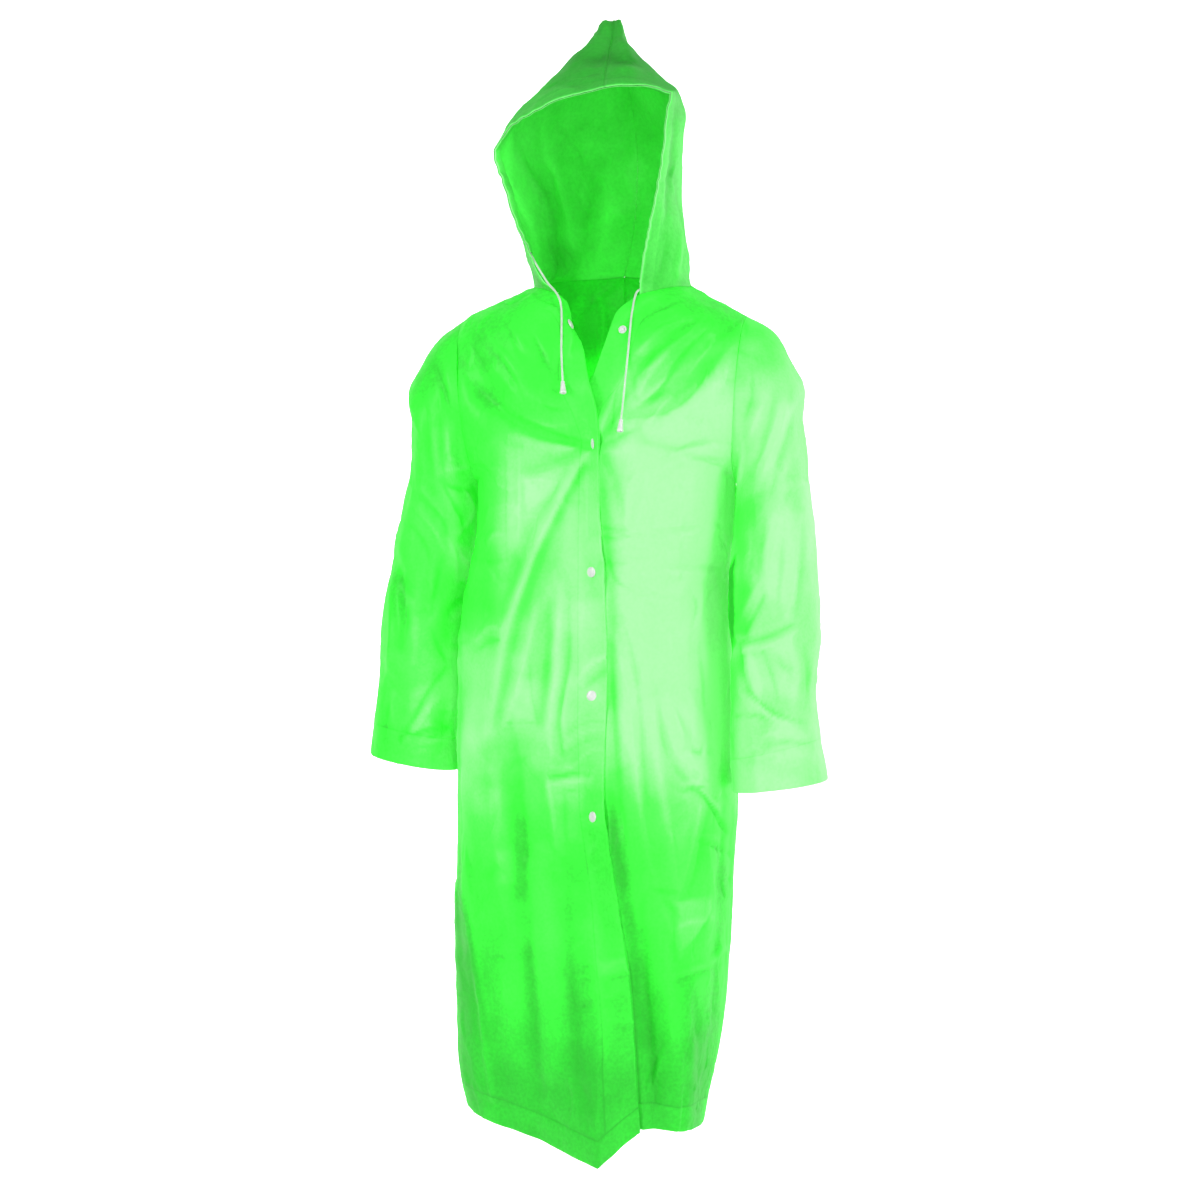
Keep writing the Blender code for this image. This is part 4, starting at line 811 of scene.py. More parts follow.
def crease_rise(flat, creases, spacing=2.0):
    """How far the creases lift the cloth, in metres, at points of a chart.

    A crease is (depth in mm, width at its start, width at its end, skew, strength at its start, strength at its
    end, points). It runs along the points. Where skew is more than 0, its right side is the wide one and its
    left side falls off sharply.
    """
    rise = np.zeros(flat.shape[:-1])
    shape = rise.shape
    flat = flat.reshape(-1, 2)
    total = np.zeros(len(flat))
    for depth, wide0, wide1, skew, first, last, text in creases:
        line, at = smooth_line(text, spacing)
        reach = max(wide0, wide1) * (1 + abs(skew)) * 2.6
        low, high = line.min(axis=0) - reach, line.max(axis=0) + reach
        inside = np.where(((flat > low) & (flat < high)).all(axis=1))[0]
        if not len(inside):
            continue
        off = flat[inside][:, None, :] - line[None]
        square = (off**2).sum(-1)
        near = square.argmin(axis=1)
        run_along = np.gradient(line, axis=0)
        run_along /= np.maximum(np.linalg.norm(run_along, axis=1, keepdims=True), 1e-9)
        delta = off[np.arange(len(inside)), near]
        way = run_along[near]
        across = way[:, 0] * delta[:, 1] - way[:, 1] * delta[:, 0]
        beyond = (delta * way).sum(-1)
        u = at[near] / at[-1]
        width = wide0 + (wide1 - wide0) * u
        sided = np.where(across > 0, 1 + skew, 1 - skew)
        distance = np.sqrt(across**2 + beyond**2 * 0.6) / (width * sided)
        profile = 1 / (1 + distance**2 * 0.9) ** 2.2
        strength = np.where(u < 0.5, first + (1 - first) * ease(u * 2), last + (1 - last) * ease((1 - u) * 2))
        total[inside] += depth * 0.001 * profile * strength
    rise += total.reshape(shape)
    return rise


def waves(points, size, seed, count=10):
    """Smooth irregular swell, about -1 to 1, with features of about the given size in metres."""
    dice = np.random.default_rng(seed)
    value = np.zeros(points.shape[:-1])
    for _ in range(count):
        way = dice.normal(size=3)
        way /= np.linalg.norm(way)
        value += np.sin(points @ (way * (2 * math.pi / (size * dice.uniform(0.7, 1.6)))) + dice.uniform(0, 6.283))
    return value / math.sqrt(count)


def crumple(points, size, seed, sharp):
    """Fine creases left by folding: ridges between cells of about the given size, each of its own height."""
    dice = np.random.default_rng(seed)
    shape = points.shape[:-1]
    flat = points.reshape(-1, 3)
    low, high = flat.min(axis=0), flat.max(axis=0)
    bent_points = flat + 0.22 * size * np.stack([waves(flat, size * 1.7, seed + 11 + i, 5) for i in range(3)], -1)
    count = int(max(30, min(900, 3.2 * len(flat) * (0.0034 / size) ** 2)))
    chosen = flat[dice.integers(0, len(flat), count)] + dice.normal(size=(count, 3)) * size * 0.25
    lift = dice.uniform(-1, 1, count)
    value = np.zeros(len(flat))
    for start in range(0, len(flat), 4000):
        part = bent_points[start : start + 4000]
        far = ((part[:, None, :] - chosen[None]) ** 2).sum(-1)
        order = np.argpartition(far, 2, axis=1)[:, :2]
        d = np.sqrt(np.take_along_axis(far, order, 1))
        swap = d[:, 0] > d[:, 1]
        d[swap] = d[swap][:, ::-1]
        order[swap] = order[swap][:, ::-1]
        edge = np.exp(-(((d[:, 1] - d[:, 0]) / sharp) ** 1.3))
        both = lift[order[:, 0]] * lift[order[:, 1]]
        value[start : start + 4000] = edge * both + 0.35 * (lift[order[:, 0]] * (1 - edge) + both * edge)
    return value.reshape(shape)


def facing(normals, way, keen=3.0, lift=0.15):
    return ease(((normals * way).sum(-1) + lift) * keen)


# ---------------------------------------------------------------- creases, listed one by one
# seen from the front, in 1200ths: depth mm, width at start and end, skew, strength at start and end, points
RIGHT_FRONT_CREASES = [
    # pulled from the shoulder to the topmost fastened snap
    (-3.5, 9, 4, 0.2, 0.2, 0.9, "452 350 470 380 492 402 516 420 545 434 588 446"),
    (2.0, 8, 4, 0.0, 0.0, 0.5, "500 430 530 443 558 447 586 450"),
    (-2.6, 4, 8, 0.2, 1.0, 0.0, "588 449 566 459 540 468 508 476"),
    (-1.6, 3, 7, 0.0, 1.0, 0.0, "586 443 560 438 530 430 505 420"),
    (2.5, 3.2, 5, 0.35, 0.8, 0.7, "588 454 575 474 562 498 546 530 532 558 522 584 512 612 503 645 496 685 489 730"),
    (-2.6, 4.5, 6, 0.0, 0.5, 0.3, "586 468 572 492 557 522 543 552 531 580 521 612 512 645 505 680 499 710"),
    (-1.8, 6, 8, 0.0, 0.4, 0.2, "566 470 548 500 530 530 515 565 505 600 496 640"),
    # packed square on the chest
    (0.9, 1.6, 1.6, 0.0, 0.4, 0.4, "519 452 519 500 519 545"),
    (-0.8, 1.6, 1.6, 0.0, 0.3, 0.3, "505 440 506 500 506 562"),
    (0.9, 1.8, 1.8, 0.3, 0.4, 0.5, "523 481 540 480 558 482"),
    (-1.2, 2.2, 2.2, 0.3, 0.6, 0.4, "558 482 549 498 527 513"),
    # upper chest
    (-0.7, 3, 3, 0.2, 0.3, 0.2, "478 338 492 352 506 368 520 392 530 410"),
    (1.5, 3.5, 3.5, 0.0, 0.2, 0.2, "486 332 500 350 516 372 530 398"),
    (-0.7, 2.5, 2.5, 0.0, 0.3, 0.3, "500 316 512 336 521 354"),
    (1.4, 3, 3, 0.2, 0.3, 0.3, "512 328 524 346 535 354"),
    (-1.6, 3, 4, 0.0, 0.3, 0.2, "535 338 545 360 552 376"),
    (1.2, 2.6, 2.6, 0.0, 0.3, 0.3, "530 395 545 404 561 405"),
    (-1.3, 2.6, 2.6, 0.0, 0.3, 0.3, "538 398 550 409 567 409"),
    (1.2, 2.4, 2.4, 0.0, 0.3, 0.3, "525 418 548 425 571 424"),
    (-1.1, 2.4, 2.4, 0.0, 0.3, 0.3, "546 386 560 393 573 392"),
    (1.3, 3, 3, 0.0, 0.3, 0.3, "496 372 508 384 518 398"),
    (-0.7, 2.6, 3, 0.0, 0.3, 0.3, "470 345 482 362 490 380"),
    # side, below the armhole
    (-1.4, 2.2, 2.2, 0.0, 0.4, 0.2, "476 559 490 562 506 560"),
    (1.1, 2.2, 2.2, 0.0, 0.4, 0.2, "486 549 494 536 503 535"),
    (-1.1, 2.2, 2.2, 0.0, 0.4, 0.2, "486 541 490 531 500 529"),
    (-1.6, 3, 3, 0.2, 0.6, 0.2, "480 648 492 640 505 641"),
    (1.4, 3, 3, 0.0, 0.6, 0.2, "478 640 490 628 503 630"),
    # middle
    (2.8, 4, 4, 0.3, 0.3, 0.5, "536 610 530 640 522 672 512 705 505 724"),
    (-1.6, 1.8, 1.8, 0.3, 0.5, 0.5, "506 723 520 721 537 722"),
    (-1.0, 2.4, 2.4, 0.0, 0.3, 0.5, "529 655 531 690 537 720"),
    (2.6, 4.2, 4.2, 0.0, 0.3, 0.3, "561 586 558 630 556 670 552 700 549 728 552 754"),
    (-2.2, 4.5, 4.5, 0.0, 0.2, 0.3, "549 600 548 650 545 690 541 724"),
    (-2.2, 3, 3, 0.0, 0.2, 0.4, "569 596 568 655 563 692 559 724 562 754"),
    (1.4, 2.6, 2.6, 0.0, 0.3, 0.3, "571 672 566 698 564 722 566 744"),
    (2.0, 2.6, 2.6, 0.5, 0.8, 0.3, "605 658 591 666 577 684"),
    (-2.0, 5, 3.5, 0.0, 0.8, 0.3, "604 672 593 680 583 690"),
    (-0.8, 1.7, 1.7, 0.0, 0.3, 0.3, "562 745 572 730 590 722 607 722"),
    (-0.7, 1.7, 1.7, 0.0, 0.3, 0.3, "563 758 575 747 592 740 607 741"),
    (0.7, 1.7, 1.7, 0.0, 0.3, 0.3, "561 751 573 738 590 731 607 731"),
    (-0.6, 1.6, 1.6, 0.0, 0.3, 0.3, "566 733 576 722 588 716 600 714"),
    (0.6, 1.8, 1.8, 0.0, 0.3, 0.3, "571 768 582 757 594 750 606 750"),
    (-2.3, 2.0, 2.0, 0.0, 0.7, 0.4, "548 778 562 776 575 774 588 775"),
    (1.6, 2.4, 2.4, 0.0, 0.6, 0.3, "548 786 562 783 576 781 592 780"),
    (1.2, 1.8, 1.8, 0.0, 0.4, 0.2, "552 767 563 769 572 767 581 761"),
    (-0.9, 2.0, 2.0, 0.0, 0.4, 0.3, "556 794 568 791 585 789"),
    (2.0, 3, 3, 0.4, 0.8, 0.3, "549 780 553 810 556 846"),
    (-1.6, 3.2, 3.2, 0.0, 0.3, 0.3, "565 798 564 822 566 848"),
    (-0.9, 2, 2, 0.0, 0.3, 0.3, "571 823 583 815 597 811"),
    (0.9, 2, 2, 0.0, 0.3, 0.3, "577 828 590 823 602 824"),
    (1.0, 2.4, 2.4, 0.0, 0.3, 0.3, "584 858 592 849 598 838"),
    (1.2, 2.4, 2.4, 0.0, 0.3, 0.3, "585 875 594 870 601 865"),
    # skirt
    (3.0, 4, 4, -0.3, 0.2, 0.4, "461 838 466 900 472 945 478 990 483 1030 488 1068 492 1098"),
    (3.6, 10, 12, 0.0, 0.2, 0.2, "474 690 470 760 474 820 484 880"),
    (-2.2, 7, 8, 0.2, 0.2, 0.2, "512 728 520 790 524 850 522 920"),
    (3.0, 8, 9, 0.0, 0.2, 0.2, "493 756 498 820 505 870 508 910"),
    (3.2, 10, 13, 0.0, 0.2, 0.6, "541 850 545 930 550 1000 553 1070"),
    (-2.0, 7, 8, -0.2, 0.2, 0.6, "566 860 567 940 571 1000 577 1060 586 1118"),
    (2.6, 12, 14, 0.0, 0.2, 0.3, "510 925 512 990 516 1060"),
    (-2.0, 7, 9, 0.2, 0.2, 0.5, "529 890 530 960 534 1020 541 1090"),
    (2.2, 6, 8, 0.0, 0.2, 0.6, "588 880 592 940 598 1000 604 1050"),
    (-1.5, 3, 3, 0.0, 0.3, 0.3, "492 861 505 872 513 885"),
    (1.4, 3, 3, 0.3, 0.3, 0.3, "512 848 514 872 512 892"),
    (-1.0, 2, 2, 0.0, 0.3, 0.3, "478 958 500 957 524 956"),
    (1.0, 2.4, 2.4, 0.0, 0.3, 0.3, "482 1010 505 1016 530 1012"),
    # crumpled corner of the lap
    (0.9, 1.7, 1.7, 0.0, 0.3, 0.3, "565 958 575 948 587 940"),
    (0.9, 1.7, 1.7, 0.0, 0.3, 0.3, "584 941 590 934 602 930"),
    (-0.9, 1.6, 1.6, 0.0, 0.3, 0.3, "567 969 580 967 598 966"),
    (-0.9, 1.6, 1.6, 0.0, 0.3, 0.3, "568 975 582 972 599 970"),
    (0.9, 1.6, 1.6, 0.0, 0.3, 0.3, "569 979 584 977 601 974"),
    (-0.8, 1.6, 1.6, 0.0, 0.3, 0.3, "574 986 585 981 599 979"),
    (-1.5, 1.8, 1.8, 0.0, 0.5, 0.3, "571 1013 584 1006 599 998"),
    (1.3, 1.8, 1.8, 0.0, 0.4, 0.4, "599 1000 612 994 627 985"),
    (1.3, 1.7, 1.7, 0.0, 0.3, 0.3, "582 1016 598 1014 612 1013 621 1015"),
    (1.3, 1.8, 1.8, 0.0, 0.5, 0.6, "603 1020 618 1021 635 1022"),
    (-0.9, 1.8, 1.8, 0.0, 0.3, 0.5, "606 1027 620 1028 635 1028"),
    (1.7, 2.8, 2.8, 0.3, 0.5, 0.5, "598 973 610 965 623 959"),
    (-1.2, 2, 2, 0.0, 0.4, 0.4, "601 977 615 978 630 975"),
    (1.4, 2.6, 2.6, 0.0, 0.5, 0.5, "622 959 626 967 630 976"),
]

LEFT_FRONT_CREASES = [
    # fans down from the neck
    (2.4, 3.6, 3.2, 0.2, 0.2, 0.4, "704 317 682 321 662 330 648 342 635 358"),
    (-2.6, 3.2, 3.4, 0.0, 0.3, 0.3, "676 338 658 350 645 364 633 381"),
    (2.6, 3.0, 3.0, 0.2, 0.2, 0.3, "692 329 673 346 659 362 647 378 640 394"),
    (-2.6, 3.6, 3.8, 0.0, 0.2, 0.3, "706 331 691 348 677 366 664 384 651 398"),
    (2.2, 2.6, 2.6, 0.0, 0.3, 0.3, "674 370 661 384 648 396 637 404"),
    (-2.2, 2.6, 2.8, 0.0, 0.3, 0.3, "664 391 651 402 638 409"),
    (1.8, 2.6, 2.6, 0.0, 0.3, 0.3, "670 397 658 410 646 426"),
    (-3.6, 6.5, 5.5, 0.3, 0.2, 0.4, "724 348 706 372 690 392 672 406 652 414 630 416"),
    (2.6, 8, 7, 0.0, 0.2, 0.3, "738 352 722 374 706 395 690 409 668 422"),
    (-1.6, 2.4, 2.4, 0.0, 0.3, 0.3, "660 344 651 355 638 368"),
    (1.5, 2.4, 2.4, 0.0, 0.3, 0.3, "716 338 702 356 690 372"),
    (-2.0, 4.5, 4.5, 0.0, 0.3, 0.3, "742 320 727 332 713 342 701 353"),
    (1.8, 3.6, 3.6, 0.0, 0.4, 0.2, "752 332 740 343 726 354"),
    (1.6, 3.6, 3.6, 0.2, 0.3, 0.5, "672 291 652 299 636 309 621 324"),
    (-1.4, 2.6, 2.6, 0.0, 0.3, 0.3, "690 300 668 306 648 316 636 328"),
    # edge rolled back toward the snap
    (2.6, 2.6, 2.2, 0.0, 0.3, 0.9, "628 373 617 390 607 412 599 432 595 442"),
    (-2.0, 3.6, 2.6, 0.0, 0.3, 0.8, "634 384 624 400 614 420 604 438"),
    (-1.6, 3, 3, 0.0, 0.8, 0.2, "600 446 615 442 630 433 642 426"),
    (1.4, 3, 3, 0.0, 0.6, 0.2, "602 454 618 452 636 446 652 436"),
    (-1.6, 4, 7, 0.0, 0.9, 0.0, "602 452 614 474 622 500 628 530"),
    # breast
    (-2.4, 4.2, 4.2, 0.5, 0.6, 0.2, "738 447 716 444 695 447 672 455 650 466 630 480"),
    (1.8, 6, 6, 0.0, 0.4, 0.2, "736 457 712 454 690 458 668 467 646 480"),
    (2.0, 6, 6, 0.0, 0.2, 0.2, "642 470 633 500 630 535"),
    (-1.6, 5, 5, 0.0, 0.2, 0.2, "657 492 649 520 643 548"),
    (-1.8, 4, 4, 0.0, 0.3, 0.2, "727 452 729 490 727 522"),
    (1.2, 7, 7, 0.0, 0.2, 0.2, "690 470 694 500 700 528"),
    # across the waist
    (-2.6, 2.4, 2.4, 0.2, 0.3, 0.3, "645 531 664 533 688 530 722 523"),
    (1.6, 2.6, 2.6, 0.0, 0.3, 0.3, "644 524 664 526 690 522 716 517"),
    (-1.8, 2.3, 2.3, 0.0, 0.6, 0.3, "603 528 622 531 641 526"),
    (-1.7, 2.1, 2.1, 0.0, 0.6, 0.3, "605 538 630 537 650 540 672 548 692 554"),
    (1.3, 2.6, 2.6, 0.0, 0.4, 0.3, "610 546 640 547 669 556"),
    (-1.3, 2.3, 2.3, 0.0, 0.5, 0.3, "604 566 625 563 656 561"),
    (-2.3, 2.4, 2.4, 0.2, 0.3, 0.4, "660 566 680 569 705 568 729 565"),
    (1.6, 3.2, 3.2, 0.0, 0.3, 0.3, "664 575 690 577 722 573"),
    (-2.0, 2.2, 2.2, 0.0, 0.6, 0.3, "609 562 618 582 640 591 664 598 684 604"),
    (1.3, 2.3, 2.3, 0.0, 0.4, 0.3, "622 591 645 599 669 606"),
    (-1.2, 2.0, 2.0, 0.0, 0.3, 0.3, "630 569 645 582 659 590"),
    (-1.6, 2.6, 2.6, 0.0, 0.3, 0.3, "717 529 726 545 731 562"),
    (-1.6, 2.6, 2.6, 0.0, 0.3, 0.3, "691 590 698 606 694 624"),
    (1.3, 2.6, 2.6, 0.0, 0.3, 0.3, "701 578 703 600 701 622"),
    (-1.1, 2.0, 2.0, 0.0, 0.3, 0.3, "706 519 721 526 732 522"),
    (-1.4, 2.4, 2.4, 0.0, 0.4, 0.3, "726 580 715 590 705 606"),
    # hanging folds
    (2.6, 3.2, 3.4, 0.0, 0.2, 0.2, "616 636 624 672 630 706 633 745 638 790 645 840 657 888"),
    (-2.2, 3.6, 3.6, 0.0, 0.2, 0.2, "622 616 634 660 640 700 643 750 648 804"),
    (-2.4, 3.4, 3.6, 0.0, 0.2, 0.2, "611 646 614 700 618 750 622 800 627 856"),
    (-1.1, 1.9, 1.9, 0.0, 0.3, 0.3, "639 639 655 648 670 660"),
    (-1.1, 1.9, 1.9, 0.0, 0.3, 0.3, "649 635 664 650 677 665"),
    (3.4, 5.5, 5.0, 0.0, 0.2, 0.4, "667 688 674 712 682 734 690 750 698 764 705 774"),
    (-3.0, 5, 4.5, 0.0, 0.2, 0.3, "659 698 664 730 672 758 686 780"),
    (-2.8, 5, 4, 0.0, 0.3, 0.3, "683 741 694 752 707 752"),
    (2.0, 3, 3, 0.0, 0.3, 0.6, "707 733 704 756 699 780"),
    (2.4, 5, 4.5, 0.0, 0.2, 0.4, "655 703 656 750 664 800 672 850 678 888"),
    (-1.8, 4, 4, 0.0, 0.2, 0.2, "701 636 705 680 706 722"),
    (2.0, 7, 6, 0.0, 0.2, 0.2, "720 600 722 660 720 730 716 780"),
    # star of creases at the hip
    (-3.2, 2.4, 2.4, 0.2, 0.8, 0.7, "693 787 704 796 714 810 727 830"),
    (1.6, 3.0, 3.0, 0.0, 0.7, 0.4, "702 790 713 802 724 817"),
    (-1.6, 2.3, 2.3, 0.0, 0.3, 0.8, "679 792 690 790 701 787"),
    (1.6, 2.3, 2.3, 0.0, 0.3, 0.8, "683 784 694 782 705 784"),
    (1.5, 2.4, 2.6, 0.3, 0.7, 0.3, "700 806 696 830 690 856 683 880 675 902"),
    (-1.3, 3.6, 3.6, 0.0, 0.5, 0.3, "707 812 702 836 698 858 692 880 683 900"),
    (-2.2, 2.0, 2.0, 0.0, 0.4, 0.7, "695 840 708 844 718 849 729 854"),
    (1.4, 2.4, 2.4, 0.0, 0.4, 0.6, "697 834 712 837 725 844"),
    (-2.6, 2.8, 2.8, 0.0, 0.4, 0.7, "654 889 664 892 675 892"),
    (-2.0, 2.6, 2.6, 0.0, 0.4, 0.5, "664 899 671 908 677 916"),
    (1.6, 2.8, 2.8, 0.0, 0.4, 0.4, "663 909 670 925 674 942"),
    (2.0, 2.8, 2.8, 0.3, 0.5, 0.6, "675 903 694 899 713 896"),
    (-1.7, 2.6, 2.6, 0.0, 0.5, 0.4, "714 901 707 920 694 940 677 957"),
    (1.6, 3.0, 3.0, 0.0, 0.4, 0.4, "679 926 690 922 705 920"),
    (-1.7, 2.0, 2.0, 0.0, 0.4, 0.5, "674 913 674 940 675 960"),
    (2.6, 2.2, 3.4, 0.2, 0.5, 0.9, "671 976 684 971 698 966 712 962 723 948"),
    (-1.6, 2.8, 2.8, 0.0, 0.5, 0.6, "675 983 696 974 718 968"),
    (-1.0, 1.8, 1.8, 0.0, 0.3, 0.3, "683 1039 696 1040 709 1035"),
    (-1.6, 1.9, 1.9, 0.0, 0.3, 0.4, "663 1043 655 1062 646 1088"),
    (1.1, 2.8, 2.8, 0.0, 0.3, 0.3, "668 1047 660 1065 651 1090"),
    # lower skirt
    (-1.4, 6, 8, 0.0, 0.2, 0.5, "640 870 643 930 646 980 650 1030 653 1100"),
    (3.0, 8, 10, 0.0, 0.2, 0.7, "667 950 672 1020 677 1080 680 1124"),
    (-1.8, 6, 7, 0.0, 0.2, 0.5, "691 975 699 1040 697 1110"),
    (-1.0, 4, 5, 0.0, 0.2, 0.2, "612 800 622 860 632 920 639 985 643 1046"),
    (-2.6, 7, 7, 0.0, 0.2, 0.2, "722 846 723 900 717 958"),
    (2.2, 5, 6, 0.0, 0.2, 0.2, "708 850 712 900 706 960"),
]

RIGHT_SLEEVE_CREASES = [
    (2.8, 4.5, 4.5, 0.2, 0.2, 0.3, "445 358 452 380 458 396 464 416"),
    (-2.6, 4.5, 4.5, 0.0, 0.2, 0.3, "436 366 444 392 451 416"),
    (-2.0, 3.6, 3.6, 0.0, 0.2, 0.3, "458 368 466 394 471 414"),
    (2.4, 2.8, 2.8, 0.0, 0.3, 0.3, "447 422 448 442 450 464"),
    (-2.0, 2.8, 2.8, 0.0, 0.3, 0.3, "440 418 441 445 444 472"),
    (2.0, 2.8, 2.8, 0.0, 0.3, 0.3, "434 416 435 445 438 484"),
    (-2.0, 3.6, 3.6, 0.0, 0.3, 0.3, "426 408 427 440 431 474"),
    (1.6, 3.6, 3.6, 0.0, 0.3, 0.3, "461 424 463 446 464 468"),
    (-1.7, 2.3, 2.3, 0.0, 0.4, 0.4, "440 481 452 487 468 490"),
    (1.6, 2.3, 2.3, 0.0, 0.4, 0.4, "447 470 460 468 472 465"),
    (-1.8, 2.7, 2.7, 0.0, 0.5, 0.4, "445 487 450 500 458 514 462 530"),
    (2.2, 2.8, 2.8, 0.2, 0.4, 0.4, "465 491 470 508 464 524 457 532"),
    (-1.6, 2.8, 2.8, 0.0, 0.3, 0.3, "474 488 478 510 474 532"),
    (1.6, 2.8, 2.8, 0.0, 0.3, 0.4, "420 488 432 500 441 514"),
    (-1.8, 2.8, 2.8, 0.2, 0.3, 0.3, "422 498 436 512 444 524 446 542"),
    (2.0, 2.8, 2.8, 0.0, 0.3, 0.3, "413 503 426 518 434 530 441 547"),
    (-1.6, 2.8, 2.8, 0.0, 0.3, 0.3, "404 522 416 532 426 548 430 566"),
    (1.7, 2.7, 2.7, 0.2, 0.4, 0.4, "446 538 452 555 455 582"),
    (1.6, 2.7, 2.7, 0.2, 0.4, 0.4, "454 544 462 560 476 575"),
    (-1.4, 2.0, 2.0, 0.0, 0.4, 0.4, "455 583 466 581 478 578"),
    (-2.4, 2.8, 2.8, 0.2, 0.5, 0.3, "484 600 470 596 458 600 445 613"),
    (2.0, 2.8, 2.8, 0.0, 0.5, 0.3, "482 609 466 606 450 619"),
    (-2.0, 2.8, 2.8, 0.0, 0.3, 0.3, "441 558 436 585 430 612"),
    (-2.8, 5.0, 5.0, 0.0, 0.3, 0.3, "400 580 405 615 403 650"),
    (2.4, 3.6, 3.6, 0.0, 0.3, 0.3, "389 596 391 640 387 684"),
    (2.4, 4.5, 4.5, 0.2, 0.3, 0.3, "418 580 416 620 414 660"),
    (-1.6, 2.3, 2.3, 0.0, 0.5, 0.3, "478 646 464 648 450 645"),
    (1.4, 2.3, 2.3, 0.0, 0.5, 0.3, "476 655 462 657 448 654"),
    (-1.6, 2.6, 2.6, 0.0, 0.3, 0.3, "430 628 438 650 448 668"),
    (-2.6, 2.6, 2.6, 0.3, 0.9, 0.3, "400 739 414 716 428 692 443 668"),
    (2.1, 3.6, 3.6, 0.0, 0.6, 0.3, "409 740 422 718 437 698"),
    (-2.5, 2.3, 2.3, 0.0, 0.9, 0.4, "401 737 416 734 432 730 448 727"),
    (1.6, 2.8, 2.8, 0.0, 0.5, 0.4, "412 745 430 741 450 737"),
    (-1.3, 1.8, 1.8, 0.0, 0.4, 0.4, "439 712 450 713 460 714"),
    (2.2, 4.5, 4.5, 0.0, 0.2, 0.2, "452 670 451 700 448 722"),
    (-1.8, 3.6, 3.6, 0.0, 0.2, 0.2, "390 690 386 720 383 748"),
]

LEFT_SLEEVE_CREASES = [
    (3.0, 4.5, 4.5, 0.2, 0.2, 0.3, "787 394 780 425 770 458 758 490"),
    (-2.2, 4.5, 4.5, 0.0, 0.2, 0.3, "776 391 770 420 762 446 752 474"),
    (-2.2, 4.5, 4.5, 0.0, 0.2, 0.3, "796 402 789 432 780 462 771 494"),
    (2.0, 3.6, 3.6, 0.0, 0.2, 0.3, "763 398 756 420 747 444"),
    (-1.8, 2.8, 2.8, 0.0, 0.2, 0.3, "752 372 752 396 745 420"),
    (1.8, 3.6, 3.6, 0.0, 0.2, 0.3, "744 440 742 470 740 504"),
    (2.6, 3.6, 3.6, 0.2, 0.2, 0.3, "777 522 773 555 768 592"),
    (2.6, 3.6, 3.6, 0.2, 0.2, 0.3, "795 538 792 575 788 616"),
    (-2.2, 3.6, 3.6, 0.0, 0.2, 0.3, "785 516 782 560 778 604"),
    (-2.2, 3.6, 3.6, 0.0, 0.2, 0.3, "766 516 761 550 758 584"),
    (-1.8, 3.6, 3.6, 0.0, 0.2, 0.3, "802 526 801 570 798 614"),
    (1.6, 3.6, 3.6, 0.0, 0.2, 0.3, "750 520 749 548 746 578"),
    (-2.6, 2.7, 2.7, 0.2, 0.9, 0.4, "736 642 752 640 770 634 794 623"),
    (2.2, 3.2, 3.2, 0.0, 0.6, 0.4, "740 651 756 649 776 643 797 632"),
    (-2.3, 2.7, 2.7, 0.2, 0.8, 0.3, "744 632 756 612 767 590"),
    (2.2, 3.6, 3.6, 0.0, 0.6, 0.3, "737 628 748 606 759 586"),
    (-2.2, 2.8, 2.8, 0.0, 0.8, 0.3, "738 648 744 672 752 692"),
    (2.2, 3.6, 3.6, 0.0, 0.6, 0.3, "747 650 756 680 761 704"),
    (-1.6, 2.8, 2.8, 0.0, 0.5, 0.3, "762 652 772 674 778 700"),
    (-2.6, 2.8, 2.8, 0.2, 0.5, 0.5, "749 690 764 706 782 716 801 722"),
    (2.2, 3.0, 3.0, 0.0, 0.5, 0.4, "752 699 768 715 788 724"),
    (-1.6, 2.3, 2.3, 0.0, 0.5, 0.3, "741 716 756 716 772 721"),
    (-1.6, 2.4, 2.4, 0.0, 0.4, 0.4, "768 745 786 742 808 744"),
    (1.4, 2.8, 2.8, 0.0, 0.4, 0.4, "764 736 784 734 806 735"),
    (1.8, 4.0, 4.0, 0.0, 0.3, 0.3, "790 638 797 668 795 704"),
    (-1.6, 3.6, 3.6, 0.0, 0.3, 0.3, "806 648 809 676 806 706"),
    (-1.4, 2.6, 2.6, 0.0, 0.3, 0.3, "776 656 784 668 800 672"),
]

HOOD_CREASES = [
    (-2.6, 4.5, 4.5, 0.0, 0.4, 0.4, "584 54 604 56 622 57 640 55 660 62"),
    (2.0, 4.5, 4.5, 0.0, 0.4, 0.4, "582 66 604 68 626 68 648 70"),
    (-2.0, 2.6, 2.6, 0.2, 0.7, 0.4, "624 54 640 63 657 74"),
    (1.6, 3.0, 3.0, 0.0, 0.4, 0.4, "600 38 620 42 642 44"),
    (-1.6, 3.0, 3.0, 0.0, 0.4, 0.2, "612 30 608 50 604 72"),
    (-1.8, 4.0, 4.0, 0.0, 0.4, 0.2, "560 78 572 84 586 86"),
    (1.8, 4.0, 4.0, 0.0, 0.2, 0.2, "545 95 560 90 580 84"),
    (-2.2, 4.0, 4.0, 0.0, 0.4, 0.2, "677 110 673 150 669 190 664 236"),
    (2.0, 4.0, 4.0, 0.0, 0.3, 0.2, "671 130 667 170 662 214 655 254"),
    (-2.0, 4.0, 4.0, 0.0, 0.2, 0.4, "668 236 664 262 656 286"),
    (2.0, 4.0, 4.0, 0.0, 0.2, 0.4, "682 226 680 256 674 286"),
    (-1.6, 3.6, 3.6, 0.0, 0.2, 0.4, "686 268 684 280 684 292"),
]

